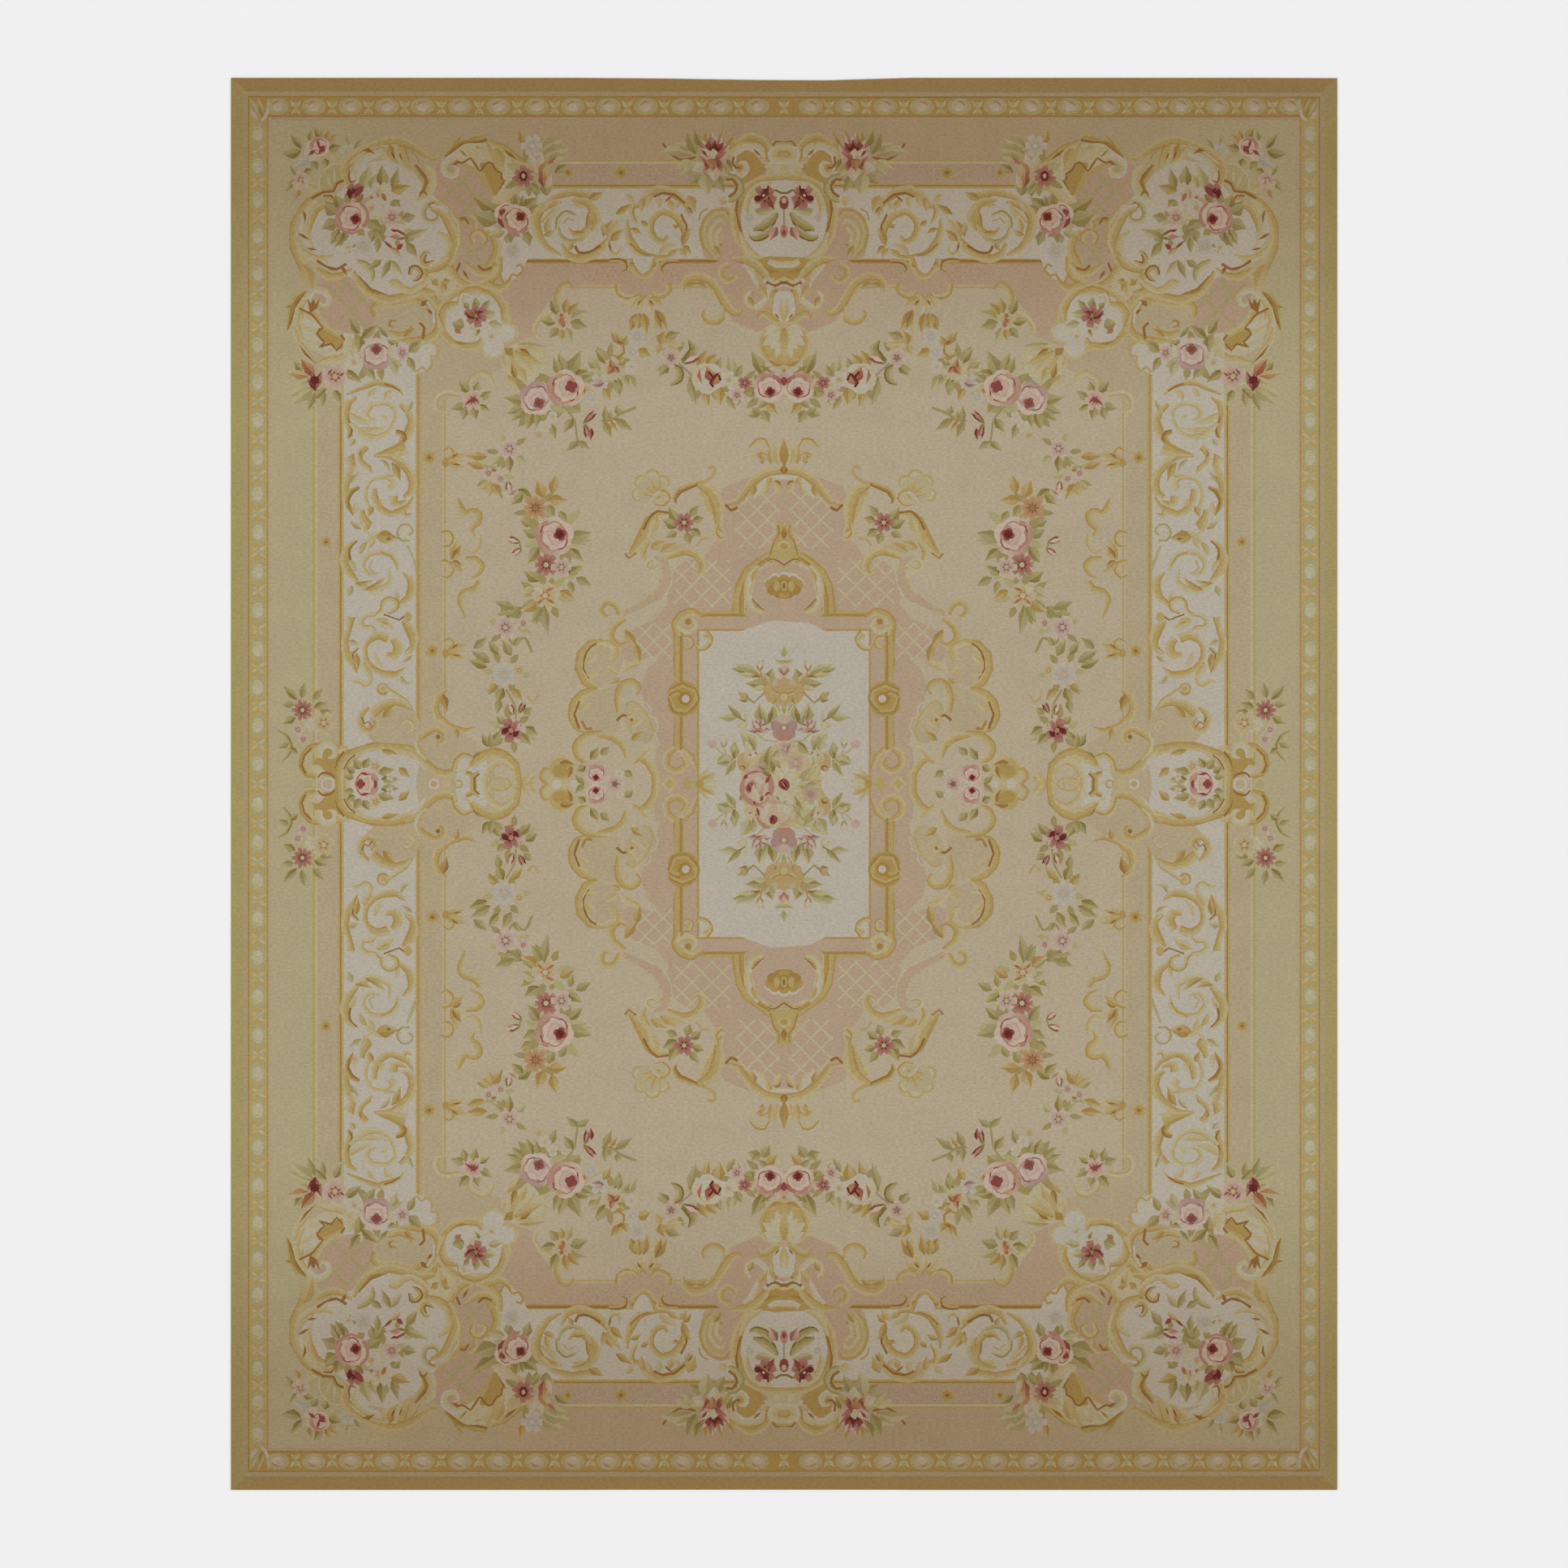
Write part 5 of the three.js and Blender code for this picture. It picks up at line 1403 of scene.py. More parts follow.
class SideCentre(Section):
    """Oval cartouche in the middle of the long side, and the arch between it and the field."""

    GROUNDS = (
        Ground((424, 972, 424, 944, 436, 930, 456, 924, 482, 924, 504, 932, 518, 944, 524, 972), Wool.IVORY),
        Ground((503, 905, 522, 898, 545, 893, 566, 900, 590, 916, 602, 930, 606, 972, 520, 972, 516, 940, 504,
                920), Wool.SAND),
        Ground((560, 930, 580, 934, 592, 930, 600, 938, 600, 972, 560, 972, 564, 952), Wool.IVORY),
        Ground((396, 926, 412, 918, 430, 922, 424, 936, 418, 954, 402, 956, 386, 944), Wool.HONEY),
    )
    SCROLLWORK = (
        # Asters and acanthus outside the oval
        Leaf(366, 862, 349, 844, 7, OLIVES), Leaf(372, 860, 376, 840, 7, SAGES),
        Leaf(362, 868, 347, 868, 7, SAGES), Leaf(386, 862, 399, 848, 7, SAGES),
        Leaf(388, 872, 404, 866, 8, OLIVES), Leaf(392, 880, 411, 876, 8, SAGES),
        Leaf(364, 884, 348, 892, 8, OLIVES),
        Scroll((342, 900, 352, 906, 358, 918, 355, 930, 348, 938), (1, 4, 5, 4, 1), SAGES),
        Leaf(356, 916, 343, 922, 6, SAGES), Leaf(358, 922, 368, 930, 7, OLIVES),
        Bloom(373, 875, 14, 10, REDS, 0, Wool.CREAM), Bloom(367, 899, 8, 5, MAUVES, 0, Wool.STRAW),
        Bloom(374, 911, 8, 5, MAUVES, 20, Wool.PEACH), Bloom(386, 893, 11, 6, CREAMS, 0, Wool.STRAW),
        Bloom(399, 891, 17, 5, PEACHES, 15, Wool.CREAM),
        Scroll((398, 919, 386, 921, 376, 931, 374, 943, 380, 953, 392, 956), (4, 8, 9, 9, 8, 3), GILT, -1),
        Line((384, 922, 375, 931, 372, 943, 377, 953), 2.2, Wool.BRONZE),
        Scroll((394, 934, 394, 924, 403, 917, 413, 922, 412, 932, 404, 934), (5, 7, 7, 6, 5, 1), IVORIES),
        Leaf(414, 926, 431, 920, 8, PALE_GILT), Line((424, 926, 416, 938, 414, 952), 2.6, Wool.BRONZE),
        Leaf(384, 944, 402, 952, 8, IVORIES), Disc(380, 966, 8, 8, Wool.STRAW, 10),
        Disc(380, 966, 5.5, 6, Wool.SAGE, 9), Disc(404, 966, 9, 9, Wool.IVORY, 10),
        Disc(404, 966, 6, 6, Wool.SAND, 9), Disc(394, 957, 4, 4, Wool.CREAM, 8),
        Line((392, 958, 398, 952, 408, 954, 414, 960), 2.4, Wool.BRONZE),
        # Oval ring
        Scroll((420, 972, 418, 952, 424, 936, 438, 926, 456, 920, 480, 919, 502, 924, 517, 935),
               (8, 8, 9, 9, 8, 9, 9, 6), GILT),
        Scroll((428, 972, 427, 952, 434, 939, 448, 930), (3, 5, 5, 1), PALE_GILT),
        Leaf(470, 924, 492, 930, 6, STRAWS), Line((424, 948, 429, 938, 438, 930), 2, Wool.BRONZE),
        Leaf(437, 952, 427, 944, 8, OLIVES), Leaf(444, 948, 437, 934, 9, SAGES),
        Leaf(448, 946, 456, 933, 8, OLIVES), Leaf(466, 952, 487, 948, 9, SAGES),
        Leaf(470, 960, 492, 961, 9, OLIVES), Leaf(436, 958, 424, 956, 7, SAGES),
        Leaf(492, 946, 505, 958, 8, STRAWS), Bloom(463, 944, 9, 5, PEACHES, 0, Wool.STRAW),
        Bloom(481, 957, 6, 5, CREAMS, 0, Wool.PEACH), Rose(450, 966, 18, 180, ROSES, Wool.CRIMSON),
        Stroke(444, 952, 456, 955, 4, Wool.CRIMSON), Stroke(462, 960, 464, 970, 4, Wool.CRIMSON),
        # Scrolls between the band and the arch
        Scroll((550, 850, 540, 858, 536, 872, 541, 885, 553, 890), (3, 7, 8, 8, 3), GILT),
        Leaf(546, 856, 551, 877, 8, BURNT_GILT),
        Scroll((548, 890, 560, 897, 574, 901, 587, 895), (3, 6, 6, 1), GILT),
        Leaf(562, 898, 564, 912, 6, STRAWS),
        Scroll((514, 914, 524, 903, 538, 898, 548, 905, 545, 915, 537, 914), (3, 6, 6, 6, 5, 1), GILT, -1),
        Disc(540, 908, 3, 3, Wool.BRONZE, 7),
        Scroll((500, 918, 513, 926, 524, 940, 538, 951, 553, 953, 564, 944), (3, 7, 8, 8, 8, 3), GILT),
        Scroll((506, 926, 516, 936, 526, 950), (1, 5, 2), IVORIES),
        Scroll((518, 903, 513, 914, 517, 927, 526, 936), (3, 5, 5, 2), PALE_GILT),
        Scroll((560, 940, 565, 930, 576, 932, 578, 943, 570, 949), (5, 6, 6, 5, 2), IVORIES),
        Scroll((558, 952, 562, 938, 572, 930, 584, 934), (3, 5, 5, 2), GILT),
        Leaf(602, 920, 594, 903, 8, OLIVES), Leaf(606, 918, 618, 899, 9, OLIVES),
        Leaf(606, 922, 604, 903, 7, SAGES), Leaf(582, 938, 601, 924, 8, OLIVES),
        # Arch, ellipse and bow
        Scroll((580, 944, 592, 934, 608, 928, 622, 932, 634, 944, 638, 960, 638, 972),
               (4, 9, 11, 11, 11, 9, 8), GILT),
        Scroll((633, 947, 618, 938, 604, 946, 598, 958, 597, 972), (3, 6, 7, 6, 5), PALE_GILT),
        Disc(616, 966, 15, 9, Wool.GOLD, 16), Disc(616, 966, 12.5, 6.8, Wool.STRAW, 16),
        Disc(616, 966, 8, 4, Wool.SAND, 12), Scroll((574, 952, 583, 957, 584, 972), (4, 6, 4), STRAWS),
        Scroll((590, 952, 583, 958, 582, 972), (4, 5, 3), BURNT_GILT), Disc(550, 966, 6, 6, Wool.STRAW, 9),
        Disc(565, 966, 6, 6, Wool.GOLD, 9), Disc(565, 966, 3.4, 3.4, Wool.IVORY, 8),
        Disc(535, 966, 7, 7, Wool.IVORY, 9), Disc(535, 966, 4, 4, Wool.PEACH, 8),
        Leaf(646, 966, 662, 957, 8, GILT), Leaf(644, 966, 658, 948, 7, PALE_GILT),
    )
    MOTIFS = (*GROUNDS, *SCROLLWORK)


class MedallionFrame(Section):
    """Frame of the centre medallion: ivory panel, gilt bars and the arches at its ends."""

    GROUNDS = (
        Ground((842, 760, 978, 760, 978, 978, 842, 978), Wool.BISQUE, False),
        Ground((859, 775, 925, 775, 925, 978, 859, 978), Wool.HONEY, False),
        Ground((861.5, 777.5, 978, 777.5, 978, 978, 861.5, 978), Wool.IVORY, False),
        Ground((905, 782, 918, 776, 932, 769, 948, 765, 978, 764, 978, 790, 905, 790), Wool.IVORY),
        Ground((829, 778, 842, 778, 842, 924, 829, 924), Wool.HONEY, False),
        Ground((832, 778, 837, 778, 837, 924, 832, 924), Wool.GOLD, False),
        Ground((838, 778, 840, 778, 840, 924, 838, 924), Wool.OCHRE, False),
        Ground((840, 749, 922, 749, 922, 760, 840, 760), Wool.HONEY, False),
        Ground((840, 751.5, 922, 751.5, 922, 756, 840, 756), Wool.GOLD, False),
        Ground((840, 757, 922, 757, 922, 758.6, 840, 758.6), Wool.OCHRE, False),
        Ground((818, 752, 806, 764, 786, 772, 772, 782, 766, 800, 774, 815, 800, 810, 829, 812, 829, 778, 840,
                760, 840, 750, 828, 742), Wool.BISQUE),
        Ground((890, 604, 912, 592, 940, 584, 978, 582, 978, 690, 940, 688, 916, 702, 906, 720, 904, 750, 830,
                750, 826, 712, 846, 690, 864, 690, 880, 668, 894, 660, 884, 640), Wool.BISQUE),
        Ground((920, 752, 918, 730, 928, 710, 946, 698, 978, 692, 978, 760, 922, 760), Wool.BISQUE),
        Ground((800, 822, 829, 812, 829, 920, 812, 916, 800, 880, 790, 850), Wool.BISQUE),
        Ground((810, 920, 829, 922, 842, 932, 852, 950, 852, 978, 812, 978, 806, 944), Wool.BISQUE),
    )
    MOTIFS = (
        # Corner knot and curls
        Scroll((836, 784, 832, 770, 840, 758, 854, 754, 866, 762), (5, 8, 9, 8, 4), GILT),
        Scroll((834, 770, 846, 778, 856, 772, 852, 760), (4, 6, 6, 2), PALE_GILT),
        Disc(848, 766, 4, 4, Wool.OCHRE, 8),
        Scroll((842, 786, 850, 786, 853, 794, 847, 799, 842, 794), (3, 4, 4, 3, 1), GILT),
        Scroll((870, 778, 876, 786, 872, 796, 862, 800, 857, 794), (4, 5, 5, 4, 1), GILT),
        Leaf(866, 782, 878, 792, 5, PALE_GILT),
        # Side knot
        Disc(841, 852, 18, 13, Wool.HONEY, 14), Disc(841, 870, 18, 13, Wool.HONEY, 14),
        *(Scroll((841 + a, 861 + b, 841 + c, 861 + d, 841 + e, 861 + f), (4, 5, 4),
                 Tones(Wool.GOLD, Wool.HONEY, Wool.OCHRE)) for a, b, c, d, e,
          f in ((-16, -10, 0, -17, 16, -10), (16, -10, 18, 2, 6, 16), (6, 16, -10, 14, -16, -2),
                (-16, -2, -6, -8, 4, 4))),
        Disc(844, 861, 8.5, 8.5, Wool.OCHRE, 11), Disc(845, 861, 5, 5, Wool.IVORY, 9),
        # Foot of the bar
        Scroll((832, 922, 822, 930, 822, 944, 834, 950, 845, 942, 840, 932, 832, 936), (5, 7, 7, 7, 6, 4, 1),
               GILT),
        Scroll((842, 922, 852, 932, 858, 948), (3, 6, 2), GILT),
        Ground((814, 966, 825, 954, 836, 966, 825, 978), Wool.STRAW, False),
        Ground((819, 966, 825, 960, 831, 966, 825, 972), Wool.GOLD, False),
        Ground((835, 978, 846, 956, 858, 966, 858, 978), Wool.GOLD, False),
        Leaf(862, 968, 874, 944, 9, PALE_GILT), Leaf(862, 968, 882, 952, 9, GILT),
        Leaf(861, 968, 886, 962, 9, IVORIES), Disc(862, 966, 5, 6, Wool.HONEY, 9),
        # Arch over the panel
        Scroll((972, 579, 946, 582, 928, 592, 918, 606, 908, 618, 893, 621), (6, 8, 9, 8, 6, 2), GILT),
        Scroll((972, 588, 950, 590, 936, 600, 930, 616), (3, 5, 5, 1), IVORIES),
        Leaf(930, 598, 926, 616, 7, STRAWS), Line((894, 622, 901, 629, 909, 625), 3.4, Wool.BRONZE),
        Leaf(955, 592, 963, 603, 6, BURNT_GILT), Leaf(966, 584, 966, 572, 8, BURNT_GILT),
        Leaf(954, 594, 962, 610, 7, PALE_GILT), Leaf(944, 594, 926, 614, 7, IVORIES, -0.1),
        Leaf(950, 588, 944, 600, 6, GILT), Leaf(940, 572, 938, 556, 6, STRAWS),
        Leaf(950, 572, 948, 548, 8, GILT, 0.05), Leaf(958, 572, 957, 546, 8, PALE_GILT),
        Leaf(966, 574, 966, 540, 9, STRAWS),
        Scroll((924, 552, 932, 544, 942, 543, 948, 553), (3, 5, 5, 1), GILT),
        Scroll((946, 560, 938, 556, 932, 562, 940, 568), (3, 4, 4, 1), GILT),
        Ribbon((910, 756, 910, 738, 915, 718, 925, 702, 940, 689, 958, 682, 974, 682),
               (16, 16, 16, 15, 13, 12, 12),
               ((-1, -0.72, Wool.HONEY), (-0.72, 0.1, Wool.GOLD), (0.1, 0.3, Wool.OCHRE),
                (0.3, 0.85, Wool.HONEY), (0.85, 1, Wool.CREAM))),
        Ground((948, 686, 950, 672, 956, 660, 956, 648, 962, 642, 966, 648, 970, 642, 976, 660, 974, 688),
               Wool.GOLD),
        Line((949, 684, 953, 668, 960, 658, 959, 647), 2, Wool.OCHRE), Disc(966, 672, 8, 6, Wool.STRAW, 11),
        Disc(966, 673, 5, 4, Wool.HONEY, 9), Leaf(966, 664, 966, 648, 6, BURNT_GILT),
        Leaf(954, 690, 944, 694, 4, GILT), Scroll((946, 692, 954, 690, 966, 698), (2, 3, 3), BURNT_GILT),
        Scroll((940, 753, 930, 750, 923, 740, 921, 724, 925, 709, 934, 697), (7, 8, 7, 7, 6, 3), IVORIES),
        Leaf(926, 716, 936, 698, 6, GILT), Scroll((926, 738, 932, 747, 941, 752), (2, 4, 2), BURNT_GILT),
        Leaf(924, 734, 930, 712, 4, PALE_GILT),
        *(Disc(966 + dx, 721 + dy, 7.5, 7, Wool.IVORY, 9) for dx, dy in ((-17, -3), (-11, -8), (0, -10))),
        *(Disc(966 + dx, 722 + dy, 7, 6.5, wool, 9) for dx, dy, wool in (
            (-17, -2, Wool.HONEY), (-14, 5, Wool.OCHRE), (-11, -6, Wool.HONEY), (0, -8, Wool.HONEY),
            (-6, 9, Wool.OCHRE), (0, 10, Wool.HONEY))),
        Ground((950, 722, 958, 714, 974, 714, 974, 730, 958, 730), Wool.OCHRE),
        *(Disc(966 + dx, 722, 4, 7, Wool.GOLD, 9) for dx in (-9, 0)), Disc(966, 722, 2, 4, Wool.BRONZE, 8),
    )
    LATTICES = ((906, 604, 960, 676, 25), (830, 690, 900, 749, 25), (784, 768, 828, 812, 22))

    def draw(self, cartoon: Cartoon) -> None:
        """Add the areas, the lattices and the frame."""
        for ground in self.GROUNDS:
            ground.draw(cartoon)
        for box in self.LATTICES:
            self.lattice(cartoon, *box)
        super().draw(cartoon)

    def lattice(self, cartoon: Cartoon, left: float, top: float, right: float, bottom: float,
                pitch: float) -> None:
        """Add crossed slanting lines over an upright box."""
        for lean in (1, -1):
            offset = -(bottom - top)
            while offset < right - left:
                start = left + offset if lean > 0 else right - offset
                span = [(start, top), (start + lean * (bottom - top), bottom)]
                low, high = sorted((x for x, _ in span))
                if high > left and low < right:
                    run = span[1][0] - span[0][0]
                    shares = sorted((edge - span[0][0]) / run for edge in (left, right))
                    first, last = max(0.0, shares[0]), min(1.0, shares[1])
                    if last - first > 0.05:
                        (ax, ay), (bx, by) = span
                        ends = ((ax + (bx - ax) * part, ay + (by - ay) * part) for part in (first, last))
                        Line(tuple(level for end in ends for level in end), 2, Wool.CREAM).draw(cartoon)
                offset += pitch


class MedallionScrolls(Section):
    """Scrollwork round the medallion, from the arch at its end to the clasp at its side."""

    MOTIFS = (
        # Shell and crimson flower at the shoulder
        *(Disc(x, y, r, r, Wool.GOLD, 12) for x, y, r in (
            (790, 594, 9), (804, 588, 10), (817, 594, 9), (787, 610, 9))),
        *(Disc(x, y, r, r, Wool.CREAM, 12) for x, y, r in (
            (791, 595, 7), (804, 589, 8), (816, 595, 7), (788, 609, 7))),
        Ground((784, 598, 798, 586, 818, 592, 822, 606, 812, 618, 790, 618), Wool.KHAKI),
        *(Leaf(812, 614, x, y, 5, GILT, 0.08) for x, y in ((787, 594), (800, 587), (814, 592), (784, 607))),
        Scroll((803, 618, 808, 610, 818, 606, 824, 614, 816, 622, 806, 621), (2, 4, 4, 5, 4, 2), GILT),
        Line((800, 620, 806, 610, 814, 605), 2, Wool.IVORY), Leaf(836, 646, 824, 624, 11, OLIVES),
        Leaf(834, 650, 816, 640, 10, OLIVES), Leaf(834, 656, 820, 662, 8, SAGES),
        Leaf(850, 636, 862, 622, 8, SAGES), Leaf(854, 642, 868, 638, 8, OLIVES),
        Leaf(852, 652, 864, 662, 9, OLIVES), Leaf(846, 656, 850, 672, 9, SAGES),
        Bloom(843, 644, 14, 6, REDS, 0, Wool.CREAM), Disc(843, 644, 3, 3, Wool.STRAW, 7),
        Scroll((864, 594, 850, 599, 837, 605, 831, 615, 834, 621), (3, 6, 6, 5, 1), BURNT_GILT),
        Scroll((860, 597, 874, 604, 883, 618, 886, 634, 886, 648, 892, 656), (5, 11, 14, 12, 8, 2), GILT, -1),
        Leaf(862, 606, 876, 626, 8, PALE_GILT), Leaf(868, 616, 878, 642, 8, PALE_GILT),
        Line((862, 596, 873, 591, 881, 583, 879, 575, 872, 577), 4.5, Wool.GOLD),
        Scroll((824, 634, 812, 634, 802, 643, 796, 657, 787, 671, 775, 684), (3, 9, 14, 15, 10, 3), GILT, -1),
        Leaf(810, 638, 800, 664, 9, PALE_GILT),
        Line((824, 632, 810, 630, 799, 640, 793, 653), 3, Wool.BRONZE),
        Line((770, 682, 775, 688, 784, 681), 3, Wool.OCHRE),
        Scroll((884, 645, 881, 657, 888, 665, 898, 660), (3, 5, 5, 1), GILT),
        Leaf(802, 676, 822, 666, 9, GILT), Leaf(814, 680, 836, 668, 9, GILT),
        Leaf(826, 683, 850, 670, 9, PALE_GILT),
        Scroll((820, 688, 842, 679, 858, 684, 866, 697, 861, 707, 852, 701), (3, 8, 8, 8, 6, 1), GILT, -1),
        Line((858, 673, 865, 664, 874, 664), 3, Wool.GOLD),
        Scroll((800, 668, 792, 680, 796, 692), (3, 6, 2), GILT),
        # Strap and volute
        Ribbon((806, 686, 817, 690, 822, 702, 821, 718, 813, 732, 800, 742, 784, 751, 768, 757),
               (4, 10, 14, 15, 15, 14, 12, 8),
               ((-1, -0.8, Wool.CREAM), (-0.8, 0.8, Wool.BISQUE), (0.8, 1, Wool.STRAW))),
        *(Disc(x, y, 2.2, 2.2, Wool.GOLD, 6) for x, y in ((816, 700), (814, 716), (800, 734), (772, 752))),
        Scroll((806, 689, 798, 692, 797, 700, 806, 702, 813, 696), (2, 4, 4, 4, 1), PALE_GILT),
        Line((801, 685, 795, 694, 799, 704, 808, 706), 1.8, Wool.CREAM),
        Scroll((764, 757, 758, 745, 747, 742, 740, 750, 745, 760, 753, 757), (5, 6, 6, 6, 5, 1), GILT),
        Scroll((770, 762, 756, 772, 752, 786, 762, 796, 774, 792), (4, 7, 8, 7, 2), GILT),
        # C scrolls down the side
        Ground((744, 790, 762, 796, 768, 812, 760, 832, 740, 846, 724, 838, 718, 816, 726, 798), Wool.SAND),
        Ground((738, 850, 762, 846, 766, 880, 760, 900, 736, 902, 716, 896, 710, 876, 720, 858), Wool.SAND),
        Scroll((744, 789, 728, 794, 717, 807, 715, 824, 722, 839, 736, 848), (3, 9, 11, 11, 10, 4), GILT, -1),
        Line((742, 790, 728, 797, 720, 810, 719, 824, 726, 836), 2.4, Wool.BRONZE),
        Scroll((735, 793, 747, 792, 758, 800, 756, 812, 746, 813), (3, 6, 7, 6, 1), PALE_GILT),
        Scroll((737, 849, 718, 856, 707, 870, 706, 886, 713, 898, 724, 902), (4, 9, 10, 9, 7, 2), GILT, -1),
        Line((714, 864, 708, 880, 714, 898), 2.6, Wool.BRONZE),
        Line((717, 888, 722, 898, 730, 897), 3, Wool.OCHRE),
        Scroll((742, 902, 722, 906, 710, 919, 713, 933, 724, 940), (3, 7, 8, 7, 2), GILT, -1),
        Leaf(722, 818, 736, 806, 7, PALE_GILT), Leaf(722, 830, 738, 832, 7, PALE_GILT),
        Leaf(714, 876, 728, 866, 7, PALE_GILT),
        Ground((772, 866, 782, 864, 795, 874, 806, 888, 808, 902, 800, 914, 790, 916, 778, 906, 768, 886),
               Wool.SAND),
        Line((768, 866, 772, 859, 782, 860, 790, 866, 797, 866, 802, 874, 800, 881, 808, 886, 811, 896, 808,
              904, 810, 912, 803, 919, 794, 922), 2.2, Wool.CREAM),
        Line((771, 869, 780, 864, 789, 870, 797, 878, 802, 890, 805, 902, 800, 913), 1.8, Wool.GOLD),
        Line((776, 876, 786, 872, 794, 884, 798, 898), 1.6, Wool.STRAW),
        Line((760, 888, 768, 881, 778, 886, 782, 896), 3.2, Wool.BRONZE), Leaf(778, 912, 793, 901, 7, STRAWS),
        Leaf(774, 896, 794, 886, 7, PALE_GILT), Leaf(772, 886, 786, 872, 7, PALE_GILT),
        Scroll((762, 878, 761, 858, 768, 843, 780, 840, 788, 848, 783, 856), (3, 7, 8, 7, 6, 2), GILT),
        Leaf(770, 776, 786, 800, 8, STRAWS), Leaf(784, 794, 788, 818, 8, STRAWS),
        Leaf(790, 818, 762, 832, 8, PALE_GILT, 0.15), Leaf(760, 796, 752, 814, 8, PALE_GILT),
        Leaf(760, 830, 746, 820, 7, PALE_GILT), Leaf(764, 836, 750, 842, 7, GILT),
        Scroll((735, 906, 754, 908, 768, 919, 772, 935), (2, 7, 7, 2), GILT, -1),
        Scroll((781, 940, 788, 934, 799, 940, 807, 954, 807, 974), (3, 7, 8, 7, 6), GILT, -1),
        Leaf(790, 934, 804, 922, 7, PALE_GILT),
        # Clasp at the side
        Leaf(728, 936, 738, 920, 8, OLIVES), Leaf(770, 950, 780, 958, 8, SAGES),
        Leaf(740, 930, 752, 920, 8, SAGES), Leaf(722, 944, 710, 950, 8, OLIVES),
        Rose(735, 954, 13, 100, ROSES), Bloom(758, 966, 13, 5, MAUVES, 0, Wool.PLUM),
        Bloom(764, 953, 6, 5, CREAMS, 0, Wool.STRAW), Disc(692, 947, 19, 17, Wool.STRAW, 16),
        Disc(692, 947, 15, 13, Wool.GOLD, 15), Disc(690, 950, 9, 8, Wool.HONEY, 12),
        Leaf(690, 940, 708, 942, 7, BURNT_GILT), Leaf(704, 944, 699, 960, 6, BURNT_GILT),
        Disc(686, 966, 8, 8, Wool.STRAW, 11), Disc(686, 966, 6, 6, Wool.IVORY, 10),
        Disc(707, 966, 7, 7, Wool.STRAW, 10), Disc(707, 966, 5, 5, Wool.IVORY, 9),
        Scroll((676, 966, 668, 958, 672, 948, 680, 950), (4, 6, 5, 1), GILT),
        Leaf(720, 966, 708, 954, 6, SAGES),
    )


